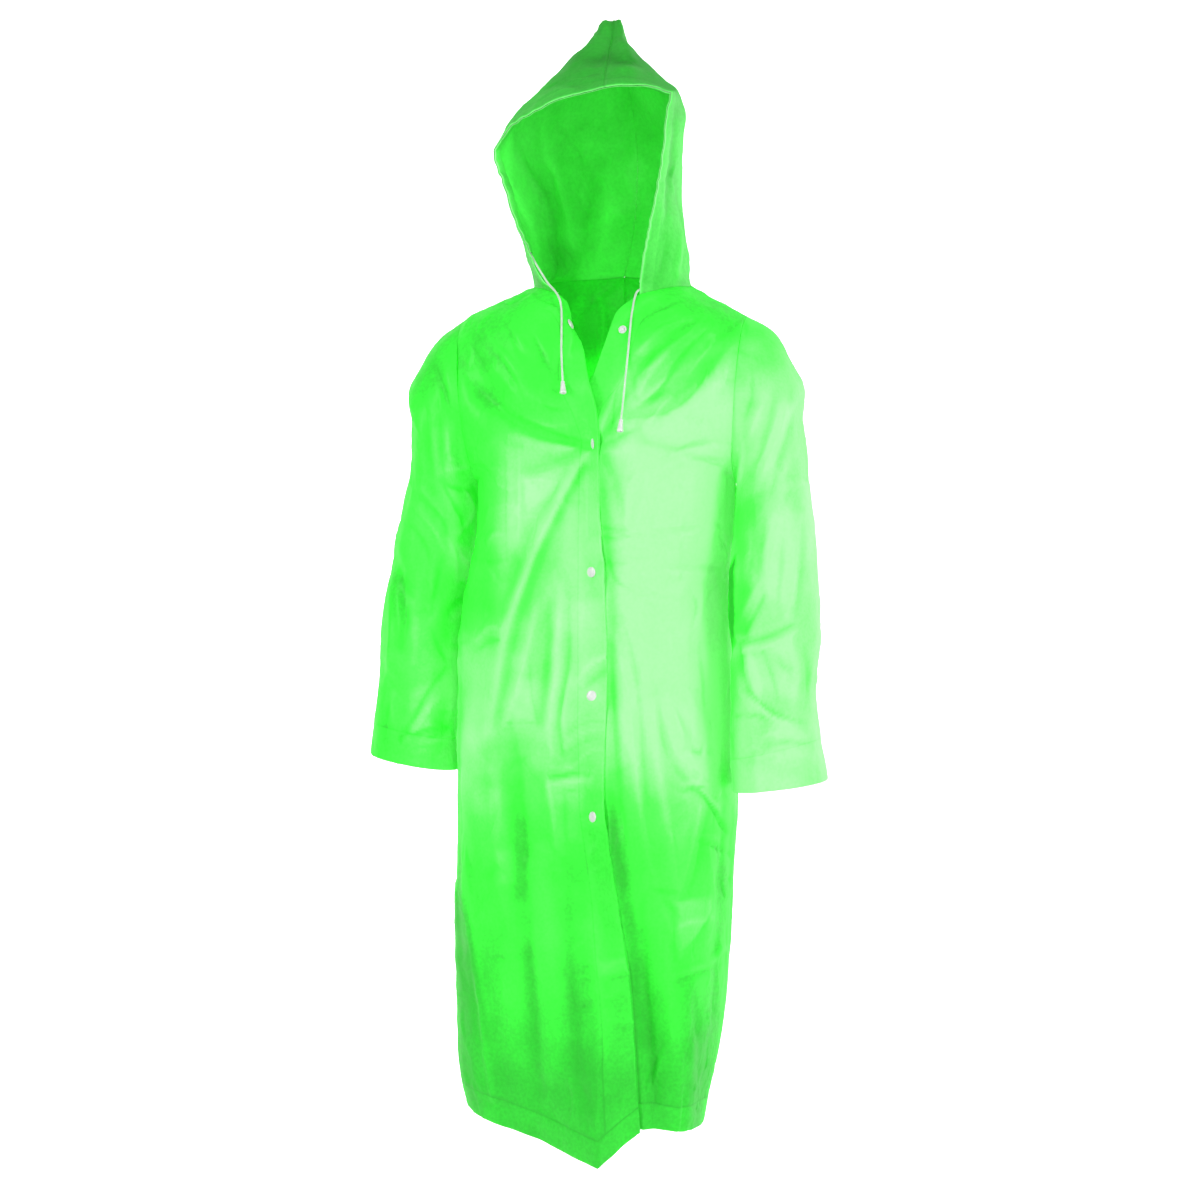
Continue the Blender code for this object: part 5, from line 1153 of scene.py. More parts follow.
# seen from behind: X and height in millimetres
BACK_CREASES = [
    # packed lines
    (1.2, 3.0, 3.0, 0.0, 0.3, 0.3, "4 -10 2 -220 -6 -470 -16 -720 -22 -960"),
    (-1.2, 3.0, 3.0, 0.0, 0.3, 0.3, "-128 -262 -40 -258 50 -260 132 -256"),
    (1.2, 3.0, 3.0, 0.0, 0.3, 0.3, "-146 -498 -60 -494 40 -497 140 -492"),
    (-1.2, 3.0, 3.0, 0.0, 0.3, 0.3, "-148 -742 -60 -738 30 -741 130 -736"),
    # pulled from the armholes and the neck
    (-5.0, 12, 16, 0.2, 0.6, 0.0, "-142 -150 -104 -180 -60 -196 -10 -202"),
    (-4.4, 12, 16, -0.2, 0.6, 0.0, "150 -142 112 -176 66 -196 16 -206"),
    (4.0, 10, 14, 0.0, 0.4, 0.0, "-146 -118 -106 -140 -62 -156 -18 -160"),
    (3.6, 10, 14, 0.0, 0.4, 0.0, "154 -112 116 -136 70 -152 26 -160"),
    (-3.6, 8, 12, 0.0, 0.5, 0.0, "-60 24 -84 -24 -104 -82 -116 -140"),
    (3.4, 8, 12, 0.0, 0.4, 0.0, "-44 30 -62 -20 -78 -74 -84 -130"),
    (-3.4, 8, 12, 0.0, 0.5, 0.0, "78 20 100 -26 118 -80 126 -136"),
    (3.2, 8, 12, 0.0, 0.4, 0.0, "60 28 78 -22 92 -76 98 -132"),
    (-2.6, 6, 8, 0.0, 0.4, 0.2, "-100 -2 -118 -30 -132 -64"),
    (-2.6, 6, 8, 0.0, 0.4, 0.2, "118 -6 134 -34 146 -70"),
    (2.4, 5, 7, 0.2, 0.5, 0.2, "-30 36 -20 0 -22 -40 -34 -84"),
    (-2.4, 5, 7, 0.2, 0.5, 0.2, "34 36 34 -4 44 -46 56 -90"),
    # across the small of the back
    (-3.0, 5.0, 5.0, 0.2, 0.4, 0.2, "-150 -352 -110 -362 -62 -360 -24 -350"),
    (2.4, 6.0, 6.0, 0.0, 0.4, 0.2, "-148 -366 -106 -378 -58 -376 -16 -366"),
    (-2.8, 5.0, 5.0, -0.2, 0.4, 0.2, "150 -338 112 -350 70 -352 28 -344"),
    (2.2, 6.0, 6.0, 0.0, 0.4, 0.2, "150 -354 110 -366 66 -368 22 -358"),
    (-2.6, 4.5, 4.5, 0.2, 0.3, 0.3, "-120 -404 -80 -412 -30 -408"),
    (-2.4, 4.5, 4.5, 0.0, 0.3, 0.3, "24 -396 66 -406 118 -398"),
    (1.8, 4.5, 4.5, 0.0, 0.3, 0.3, "40 -420 82 -428 126 -420"),
    (-2.0, 4.0, 4.0, 0.0, 0.4, 0.3, "-156 -430 -126 -440 -96 -462"),
    (-2.0, 4.0, 4.0, 0.0, 0.4, 0.3, "152 -424 124 -438 98 -462"),
    # hanging folds
    (4.4, 13, 17, 0.3, 0.0, 0.7, "-52 -420 -50 -560 -48 -760 -44 -1000"),
    (-4.4, 11, 15, 0.0, 0.0, 0.7, "-98 -440 -98 -600 -92 -800 -88 -1000"),
    (3.8, 11, 14, -0.3, 0.0, 0.7, "62 -420 62 -560 54 -760 48 -1000"),
    (-4.2, 11, 15, 0.0, 0.0, 0.7, "6 -440 2 -600 -2 -800 -2 -1000"),
    (3.2, 9, 12, 0.0, 0.0, 0.7, "120 -520 118 -680 108 -840 98 -1000"),
    (-3.2, 9, 12, 0.0, 0.0, 0.7, "-142 -600 -140 -760 -134 -900 -128 -1000"),
    (3.0, 6, 8, 0.4, 0.2, 0.2, "18 -560 16 -680 20 -800"),
    (-2.6, 6, 8, 0.0, 0.2, 0.2, "84 -620 82 -740 74 -880"),
    # sat-on crumples
    (-2.2, 4.0, 4.0, 0.2, 0.5, 0.3, "-70 -632 -44 -644 -14 -640"),
    (2.0, 4.0, 4.0, 0.0, 0.4, 0.3, "-64 -646 -38 -660 -6 -656"),
    (-2.4, 4.0, 4.0, 0.2, 0.6, 0.3, "44 -668 66 -690 78 -724"),
    (2.0, 4.0, 4.0, 0.0, 0.5, 0.3, "50 -664 76 -680 100 -684"),
    (-1.8, 3.5, 3.5, 0.0, 0.4, 0.4, "44 -668 22 -676 0 -672"),
    (1.8, 4.0, 4.0, 0.0, 0.4, 0.3, "-88 -860 -60 -852 -26 -858"),
    (-1.6, 3.5, 3.5, 0.0, 0.4, 0.3, "20 -884 52 -876 84 -884"),
]

SLEEVE_BACK_CREASES = [
    # the wearer's right
    (-3.2, 8, 8, 0.2, 0.3, 0.2, "-228 -70 -216 -110 -206 -150 -198 -196"),
    (3.0, 8, 8, 0.0, 0.3, 0.2, "-214 -62 -200 -104 -190 -146 -184 -188"),
    (-2.8, 5, 5, 0.2, 0.6, 0.3, "-182 -268 -204 -276 -232 -270"),
    (2.4, 6, 6, 0.0, 0.5, 0.3, "-184 -284 -206 -294 -238 -288"),
    (-3.2, 5, 5, 0.0, 0.6, 0.3, "-188 -340 -212 -330 -240 -336 -262 -350"),
    (2.8, 6, 6, 0.0, 0.5, 0.3, "-190 -356 -214 -348 -244 -354 -264 -368"),
    (-2.4, 5, 5, 0.0, 0.6, 0.3, "-192 -380 -214 -392 -240 -420"),
    (2.2, 6, 6, 0.0, 0.3, 0.3, "-206 -420 -222 -448 -234 -490"),
    (-2.2, 5, 5, 0.0, 0.3, 0.3, "-236 -420 -250 -460 -258 -510"),
    (-2.0, 4, 4, 0.0, 0.6, 0.3, "-188 -470 -208 -478 -230 -470"),
    # the wearer's left
    (-3.0, 8, 8, -0.2, 0.3, 0.2, "236 -74 222 -112 212 -152 204 -198"),
    (2.8, 8, 8, 0.0, 0.3, 0.2, "222 -64 208 -104 198 -148 190 -190"),
    (-2.8, 5, 5, 0.0, 0.6, 0.3, "186 -262 208 -272 240 -264"),
    (2.4, 6, 6, 0.0, 0.5, 0.3, "188 -280 212 -290 246 -282"),
    (-3.2, 5, 5, 0.0, 0.6, 0.3, "190 -346 214 -334 238 -338 258 -354"),
    (2.6, 6, 6, 0.0, 0.5, 0.3, "192 -362 216 -352 242 -356 260 -370"),
    (-2.4, 5, 5, 0.0, 0.6, 0.3, "192 -400 214 -410 238 -436"),
    (2.2, 6, 6, 0.0, 0.3, 0.3, "212 -436 222 -470 230 -520"),
    (-2.2, 5, 5, 0.0, 0.3, 0.3, "240 -430 246 -480 252 -540"),
    (-2.0, 4, 4, 0.0, 0.6, 0.3, "190 -500 210 -508 232 -500"),
]

# seen from the wearer's right and left: Y and height in millimetres
SIDE_CREASES = [
    (-4.0, 11, 15, 0.0, 0.2, 0.7, "-52 -420 -50 -620 -56 -820 -52 -990"),
    (3.6, 10, 14, 0.3, 0.2, 0.7, "-14 -400 -10 -600 -12 -800 -16 -990"),
    (-4.2, 11, 15, 0.0, 0.2, 0.7, "30 -420 34 -620 40 -820 42 -990"),
    (3.6, 10, 14, 0.0, 0.2, 0.7, "70 -440 76 -640 84 -840 86 -990"),
    (-3.0, 6, 8, 0.3, 0.7, 0.2, "-8 -262 14 -290 44 -310 84 -320"),
    (3.0, 6, 8, 0.0, 0.6, 0.2, "-4 -282 20 -312 50 -334 88 -346"),
    (-2.8, 5, 6, 0.0, 0.4, 0.3, "-70 -420 -30 -428 20 -420 60 -428"),
    (2.2, 5, 6, 0.0, 0.4, 0.3, "-66 -440 -26 -446 24 -438 64 -446"),
    (-2.2, 4, 4, 0.0, 0.4, 0.3, "-60 -700 -30 -712 6 -704"),
    (2.0, 4, 4, 0.0, 0.4, 0.3, "-56 -720 -24 -730 12 -720"),
    (-2.0, 4, 4, 0.0, 0.4, 0.3, "10 -850 40 -858 76 -848"),
]

HOOD_SIDE_CREASES = [
    # Y and height in millimetres, on both outer sides
    (-3.0, 8, 8, 0.0, 0.3, 0.2, "-70 150 -40 120 -16 84 -6 44"),
    (2.8, 8, 8, 0.0, 0.3, 0.2, "-46 176 -16 144 8 104 18 56"),
    (-3.0, 8, 8, 0.0, 0.2, 0.3, "-6 214 20 170 40 122 48 66"),
    (2.4, 6, 6, 0.0, 0.2, 0.3, "20 236 48 190 70 136 76 80"),
    (-2.2, 5, 5, 0.0, 0.3, 0.3, "-76 214 -50 236 -20 262 2 292"),
    (2.2, 5, 5, 0.0, 0.3, 0.3, "-66 198 -36 214 -6 240 16 270"),
    (-2.0, 5, 5, 0.0, 0.5, 0.2, "-40 22 -30 44 -28 70"),
    (-2.0, 5, 5, 0.0, 0.5, 0.2, "36 28 40 52 36 80"),
    (2.0, 5, 5, 0.0, 0.5, 0.2, "8 26 12 46 6 72"),
]

HOOD_BACK_CREASES = [
    (-3.0, 7, 9, 0.0, 0.5, 0.2, "-52 44 -44 84 -40 130 -36 176"),
    (2.8, 7, 9, 0.0, 0.4, 0.2, "-26 52 -20 92 -16 140 -12 190"),
    (-2.8, 7, 9, 0.0, 0.5, 0.2, "60 42 58 84 56 130 50 180"),
    (2.6, 7, 9, 0.0, 0.4, 0.2, "84 40 80 76 76 118"),
    (-2.2, 5, 5, 0.2, 0.3, 0.3, "-62 222 -40 232 -14 236"),
    (2.0, 5, 5, 0.0, 0.3, 0.3, "-58 206 -36 214 -8 218"),
    (-2.2, 5, 5, 0.2, 0.3, 0.3, "44 228 66 222 88 212"),
]

# paler and deeper patches of painted light and shade, seen from the front: strength, softness, points round the edge
RIGHT_LIGHT_SHADE_PATCHES = [
    (0.16, 5, "520 680 535 680 534 722 512 724"),
    (0.14, 6, "552 780 582 776 580 838 556 846"),
    (0.16, 5, "525 480 556 482 549 498 528 512"),
    (0.14, 5, "496 850 512 848 514 882 498 884"),
    (0.12, 6, "508 448 586 448 556 500 520 560 508 540"),
    (-0.12, 6, "545 520 572 480 560 560 530 620 520 610"),
    (-0.10, 8, "540 610 556 600 548 720 534 720"),
    (0.12, 6, "566 600 602 600 600 700 570 700"),
    (0.12, 4, "599 962 626 958 630 972 602 976"),
    (-0.10, 6, "504 760 524 760 528 900 512 900"),
    (0.10, 7, "478 790 500 790 506 860 484 870"),
]
LEFT_LIGHT_SHADE_PATCHES = [
    (0.22, 5, "677 903 710 899 714 918 700 936 680 956 675 930"),
    (0.16, 5, "664 700 684 716 700 760 690 778 668 760"),
    (0.14, 7, "645 455 700 452 724 500 700 522 650 522"),
    (0.12, 6, "650 540 700 536 720 556 690 562 652 556"),
    (0.14, 7, "650 600 690 612 690 660 660 650"),
    (-0.16, 5, "640 402 676 398 708 374 724 352 700 360 668 386"),
    (-0.12, 5, "658 328 700 318 690 336 660 356 640 372"),
    (0.16, 4, "636 352 660 332 684 322 668 336 646 360"),
    (-0.16, 6, "708 556 730 560 728 640 712 650"),
    (-0.07, 5, "606 790 622 790 632 880 622 900"),
]
# painted shade in the deep slit between the trunk and the wearer's left sleeve
UNDERARM_SHADE = [
    (-0.62, 1.6, "736 556 730 570 727 606 728 640 731 662 734 640 735 606 736 580"),
]
SLEEVE_LIGHT_SHADE_PATCHES = [
    (0.20, 4, "454 545 464 546 478 575 456 582"),
    (0.14, 5, "412 690 448 676 440 720 404 738"),
    (-0.10, 6, "392 570 408 575 404 650 388 650"),
    (0.14, 5, "434 430 452 426 452 470 438 476"),
    (0.12, 6, "770 520 792 500 786 600 768 600"),
    (0.14, 6, "746 660 790 640 800 700 756 690"),
    (-0.14, 6, "738 585 760 588 742 630 732 640"),
    (0.10, 6, "770 720 800 720 812 760 776 764"),
    (0.12, 6, "780 410 800 400 790 470 766 490"),
    (-0.12, 6, "744 400 760 400 752 450 740 470"),
]


# ---------------------------------------------------------------- cloth grids with their folds
def soft_fade(grid, columns=(), rows=(), width=0.012):
    """1 inside the piece and 0 at the named edges, so that pieces that are joined there still meet."""
    fade = np.ones(grid.shape[:2])
    for edge in columns:
        line = grid if edge == 0 else grid[:, ::-1]
        step = np.linalg.norm(np.diff(line, axis=1), axis=2)
        along = np.concatenate([np.zeros((len(grid), 1)), np.cumsum(step, axis=1)], axis=1)
        share = ease(along / width)
        fade = np.minimum(fade, share if edge == 0 else share[:, ::-1])
    for edge in rows:
        line = grid if edge == 0 else grid[::-1]
        step = np.linalg.norm(np.diff(line, axis=0), axis=2)
        along = np.concatenate([np.zeros((1, grid.shape[1])), np.cumsum(step, axis=0)], axis=0)
        share = ease(along / width)
        fade = np.minimum(fade, share if edge == 0 else share[::-1])
    return fade


def edge_distance(grid, axis, first):
    line = grid if first else np.flip(grid, axis)
    step = np.linalg.norm(np.diff(line, axis=axis), axis=2)
    pad = np.zeros((1, grid.shape[1])) if axis == 0 else np.zeros((grid.shape[0], 1))
    along = np.concatenate([pad, np.cumsum(step, axis=axis)], axis=axis)
    return along if first else np.flip(along, axis)


def weld_groove(distance, depth=0.00016, width=0.0011):
    return -depth * np.exp(-((distance / width) ** 2))


def patches(flat, shapes):
    """Soft-edged patches: each is (strength, softness, points round its edge)."""
    value = np.zeros(flat.shape[:-1])
    for strength, soft, text in shapes:
        knots = np.array(text.split(), float).reshape(-1, 2)
        near = ((flat > knots.min(axis=0) - 3 * soft) & (flat < knots.max(axis=0) + 3 * soft)).all(axis=-1)
        if not near.any():
            continue
        points = flat[near]
        far = np.full(len(points), 1e9)
        inside = np.zeros(len(points), bool)
        for p, q in zip(knots, np.roll(knots, -1, axis=0)):
            edge = q - p
            share = np.clip(((points - p) @ edge) / (edge @ edge), 0, 1)
            far = np.minimum(far, np.linalg.norm(points - (p + share[:, None] * edge), axis=1))
            crosses = (p[1] > points[:, 1]) != (q[1] > points[:, 1])
            if q[1] != p[1]:
                inside ^= crosses & (points[:, 0] < (q[0] - p[0]) * (points[:, 1] - p[1]) / (q[1] - p[1]) + p[0])
        signed = np.where(inside, far, -far)
        value[near] += strength * ease(signed / (2 * soft) + 0.5)
    return value


def blob(flat, x, y, wide, high):
    return np.exp(-(((flat[..., 0] - x) / wide) ** 2 + ((flat[..., 1] - y) / high) ** 2))


def painted_light_front(flat):
    """Painted light and shade on the film, seen from the front: painted light palest over the trunk and the wearer's
    left arm, and painted shade under the wearer's right arm, beside the lap edge, down the side and towards the hem.
    """
    x, y = flat[..., 0], flat[..., 1]
    top = 322 + 46 * (1 - ease((x - 596) / 40))
    body = ease((y - top) / 120) * (1 - ease((y - 712) / 160))
    value = 0.17 + (0.56 + 0.34 * ease((x - 596) / 46)) * body
    # painted light: paler spots at the shoulder, chest and waist
    value += 0.30 * blob(flat, 702, 385, 46, 46) * (1 - body) + 0.14 * blob(flat, 662, 520, 40, 90)
    value += 0.10 * blob(flat, 556, 610, 26, 110)
    # painted shade between the wearer's right arm and the trunk
    shaded = (1 - ease((x - 484) / 26)) * ease((y - 360) / 50) * (1 - ease((y - 600) / 70))
    value = value * (1 - shaded) + 0.24 * shaded
    # painted shadow in a band beside the lap's edge, and a darker spot below it
    lap = np.interp(y, [440, 500, 530, 571, 610, 740, 791, 873, 965, 1082], [599, 600, 603, 606, 609, 610, 607, 615, 630, 640])
    value -= 0.24 * np.exp(-(((x - lap - 4) / 6) ** 2)) * ease((y - 440) / 60) * (1 - 0.5 * ease((y - 700) / 60)) * (x > lap - 3)
    value -= 0.10 * blob(flat, 613, 820, 7, 40)
    # painted light: paler spots on the skirt, and along the side of the trunk on the wearer's left
    value += 0.12 * blob(flat, 684, 850, 22, 62) + 0.08 * blob(flat, 560, 835, 16, 34)
    value += 0.34 * ease((x - 698) / 22) * ease((y - 430) / 60) * (1 - ease((y - 690) / 60))
    # painted shade, darker towards the hem and down the side of the skirt on the wearer's right
    value -= 0.17 * ease((y - 930) / 190)
    edge = 462 + (y - 880) * 0.145
    value -= 0.16 * (1 - ease((x - edge) / 7)) * ease((y - 860) / 70) * (1 - ease((y - 1062) / 30))
    value = np.maximum(value, 0.02)
    return value


def painted_light_back(points):
    # painted light over the middle of the back, with painted shade towards the sides, towards the hem and below the
    # neck
    x, z = points[..., 0], points[..., 2]
    body = ease((-0.03 - z) / 0.12) * (1 - ease((-0.50 - z) / 0.14))
    value = 0.15 + 0.54 * body * (1 - 0.4 * ease((np.abs(x) - 0.09) / 0.06)) - 0.08 * ease((-0.80 - z) / 0.12)
    return value - 0.15 * ease((z + 0.09) / 0.07) * (1 - ease((np.abs(x) - 0.07) / 0.03))


def painted_light_sleeve(points, flat, side, ahead):
    # painted light down the sleeves, with painted shade on the inner side of the wearer's left arm beside the trunk and
    # over most of the wearer's right arm
    x, y, z = flat[..., 0], flat[..., 1], points[..., 2]
    if side > 0:
        front = 0.42 + 0.40 * ease((y - 326) / 70)
        front -= 0.36 * ease((y - 450) / 60) * (1 - ease((y - 628) / 14)) * (1 - ease((x - 748 + (y - 560) * 0.12) / 16))
        front -= 0.24 * ease((y - 640) / 30) * (1 - ease((x - 737) / 10))
        front += 0.12 * blob(flat, 786, 600, 22, 120)
        plain = 0.34 + 0.40 * ease((-0.05 - z) / 0.10)
    else:
        front = 0.14 + 0.24 * ease((y - 430) / 250) * np.exp(-(((x - 430) / 26) ** 2)) + 0.08 * ease((y - 360) / 100)
        front += 0.34 * ease((y - 430) / 60) * ease((x - 432) / 22)
        plain = 0.14 + 0.24 * ease((-0.05 - z) / 0.10) + 0.10 * ease((-0.40 - z) / 0.08)
    return front * ahead + plain * (1 - ahead)


def painted_light_hood(flat, side, ahead):
    x, y = flat[..., 0], flat[..., 1]
    # painted shade over the hood's top and in a band near it, paler lower down and on the wearer's left
    value = -0.06 + 0.16 * ease((y - 64) / 40) - 0.16 * blob(flat, 612, 58, 44, 7)
    if side > 0:
        value += 0.12 * ease((y - 95) / 60) * ease((x - 640) / 16)
    # inside the hood: painted light and shade, paler towards its far edge with a darker spot
    inside = 0.25 + 0.10 * (1 - ease((x - 508) / 8)) - 0.16 * blob(flat, 560, 262, 12, 22)
    return value * ahead + inside * (1 - ahead)


RIDGE_HIGHLIGHT_LIFT = 190.0  # painted highlight where the film is creased out and painted shade where it is creased in, per metre of rise


def creased_painted_light(painted_light, creases, swell):
    """Painted highlights on the ridges and painted shade in the troughs, strongest where the painted light is palest,
    and the same over the film's swell.
    """
    keen = 0.22 + 0.78 * np.clip(painted_light / 0.55, 0, 1)
    mottle = np.clip(swell * 60.0, -0.08, 0.08) * keen * np.clip(painted_light / 0.25, 0.3, 1)
    return painted_light + 0.21 * np.tanh(creases * RIDGE_HIGHLIGHT_LIFT / 0.21) * keen + mottle


def soft_film(points, seed):
    """Light unevenness of the film all over: slow swell, packing creases and fine crumples, in metres."""
    lift = 0.0012 * waves(points, 0.11, seed) + 0.0005 * waves(points, 0.040, seed + 1)
    lift += 0.0011 * crumple(points, 0.055, seed + 2, 0.0052)
    lift += 0.0005 * crumple(points, 0.024, seed + 3, 0.0034)
    return lift


def shaped(grid, normals, rise, fade):
    return grid + normals * (rise * fade)[..., None]


def front_laid(side):
    row = fine_right_row if side < 0 else fine_left_row
    grid = np.array([row(t, 96) for t in STATIONS])
    normals = grid_normals(grid, CENTRE)
    grid = folded(grid, normals, RIGHT_FRONT_FOLDS if side < 0 else LEFT_FRONT_FOLDS, True)
    return hem_point(grid, STATIONS) if side < 0 else grid


def front_piece(side):
    grid = front_laid(side)
    normals = grid_normals(grid, CENTRE)
    ahead = facing(normals, TOWARD_VIEW)
    flat = chart(grid)
    rise = crease_rise(flat, RIGHT_FRONT_CREASES if side < 0 else LEFT_FRONT_CREASES) * ahead
    sideways = facing(normals, np.array([float(side), 0.0, 0.0]), 3.0, -0.35)
    rise += crease_rise(side_chart(grid), SIDE_CREASES, 5.0) * sideways * (1 - 0.6 * ahead)
    made = rise.copy()
    swell = soft_film(grid, 40 + side)
    rise = rise * CREASE_GAIN + swell
    strip = len(STRIP)
    if side > 0:
        under = (1 - ease((STATIONS - 1.05) / 0.30))[:, None] * (np.arange(grid.shape[1]) < strip)[None]
        rise = rise * (1 - under * 0.85) - under * 0.0006
    rise = np.clip(rise, -0.0048 if side < 0 else -0.009, 0.010)
    rise = np.minimum(rise, 0.010 - 0.0085 * ease(sideways / 0.6))
    fade = soft_fade(grid, columns=(-1,), rows=(-1,), width=0.014)
    neck_rows = ease((STATIONS - 1.60) / 0.06)[:, None]
    fade *= 1 - neck_rows * (1 - soft_fade(grid, columns=(0,), width=0.012))
    grid = shaped(grid, normals, rise, fade)
    normals = grid_normals(grid, CENTRE)
    # welds: the side and armhole seams, the shoulder, the neck, the facing's inner edge and the hem's upper edge
    mark = weld_groove(edge_distance(grid, 1, False)) + weld_groove(edge_distance(grid, 0, False))
    mark += weld_groove(edge_distance(grid, 1, True)) * (STATIONS > 1.68)[:, None]
    strip_at = lengths_of(STRIP, grid.shape[1])
    open_strip = (STATIONS < 1.62)[:, None] * (STATIONS > HEM_STATION)[:, None]
    if side < 0 or True:
        mark += weld_groove(np.abs(strip_at - PLACKET)[None], 0.00035) * open_strip
    hem_at = np.abs(STATIONS - HEM_STATION)[:, None] * 0.79
    mark += weld_groove(hem_at, 0.00035)
    grid = grid + normals * mark[..., None]
    # the free edges turn in to the facings
    turn_in = np.clip(1 - edge_distance(grid, 0, True) / EDGE_ROUND, 0, 1) ** 2
    edge_in = np.clip(1 - edge_distance(grid, 1, True) / EDGE_ROUND, 0, 1) ** 2 * (STATIONS < 1.66)[:, None]
    grid = grid - normals * (np.maximum(turn_in, edge_in) * INNER_LAY * 0.5)[..., None]
    painted_light = painted_light_front(flat) + patches(flat, RIGHT_LIGHT_SHADE_PATCHES if side < 0 else LEFT_LIGHT_SHADE_PATCHES)
    painted_light = creased_painted_light(painted_light * ahead + painted_light_back(grid) * (1 - ahead), made, swell) + patches(flat, UNDERARM_SHADE)
    # painted light along the left front's side, where the cloth turns away from the front
    if side > 0:
        x, y = flat[..., 0], flat[..., 1]
        painted_light += 0.34 * ease((x - 698) / 12) * (1 - ease((x - 727) / 5)) * ease((y - 440) / 50) * (1 - ease((y - 620) / 60))
    double = np.maximum((STATIONS < HEM_STATION)[:, None] * 1.0, (strip_at < PLACKET)[None] * open_strip * 1.0)
    return grid, normals, {"painted_light": painted_light, "double": double + np.zeros_like(painted_light), "weld": -mark / 0.0004}


def lengths_of(first, count):
    return np.concatenate([first, np.full(count - len(first), 9.0)])


def back_halves():
    halves = []
    grids = []
    for side in (-1, 1):
        grid = np.array([fine_back_row(side, t, 54) for t in STATIONS])
        normals = grid_normals(grid, CENTRE)
        normals[:, 0] = (0.0, 1.0, 0.0)
        grid = folded(grid, normals, BACK_FOLDS, False)
        grids.append(meets(grid, front_laid(side), STATIONS))
    shared = STATIONS <= 1.60
    middle = (grids[0][:, 0] + grids[1][:, 0]) / 2
    both = []
    for side, grid in zip((-1, 1), grids):
        grid[shared, 0] = middle[shared]
        normals = grid_normals(grid, CENTRE)
        both.append(normals)
    level = both[0][:, 0] + both[1][:, 0]
    level /= np.linalg.norm(level, axis=1, keepdims=True)
    for side, grid, normals in zip((-1, 1), grids, both):
        normals[shared, 0] = level[shared]
        behind = facing(normals, np.array([0.0, 1.0, 0.0]))
        rise = crease_rise(back_chart(grid), BACK_CREASES, 5.0) * behind
        sideways = facing(normals, np.array([float(side), 0.0, 0.0]), 3.0, -0.35)
        rise += crease_rise(side_chart(grid), SIDE_CREASES, 5.0) * sideways * (1 - 0.6 * behind)
        made = rise.copy()
        swell = soft_film(grid, 60)
        rise = rise * CREASE_GAIN + swell
        fade = soft_fade(grid, columns=(-1,), rows=(-1,), width=0.014)
        neck_rows = ease((STATIONS - 1.54) / 0.06)[:, None]
        fade *= 1 - neck_rows * (1 - soft_fade(grid, columns=(0,), width=0.012))
        grid = shaped(grid, normals, rise, fade)
        finer = grid_normals(grid, CENTRE)
        finer[shared, 0] = normals[shared, 0]
        mark = weld_groove(edge_distance(grid, 1, False)) + weld_groove(edge_distance(grid, 0, False))
        mark += weld_groove(edge_distance(grid, 1, True)) * (STATIONS > 1.60)[:, None]
        mark += weld_groove(np.abs(STATIONS - HEM_STATION)[:, None] * 0.79, 0.00035)
        grid = grid + finer * mark[..., None]
        turn_in = np.clip(1 - edge_distance(grid, 0, True) / EDGE_ROUND, 0, 1) ** 2
        grid = grid - finer * (turn_in * INNER_LAY * 0.5)[..., None]
        double = (STATIONS < HEM_STATION)[:, None] * np.ones(grid.shape[1])[None]
        painted_light = creased_painted_light(painted_light_back(grid), made, swell)
        halves.append((grid, finer, {"painted_light": painted_light, "double": double, "weld": -mark / 0.0004}))
    return halves


SLEEVE_AROUND = 132
CREASE_GAIN = 1.45
CUFF_ALONG = 1 - CUFF_DEPTH / 0.50


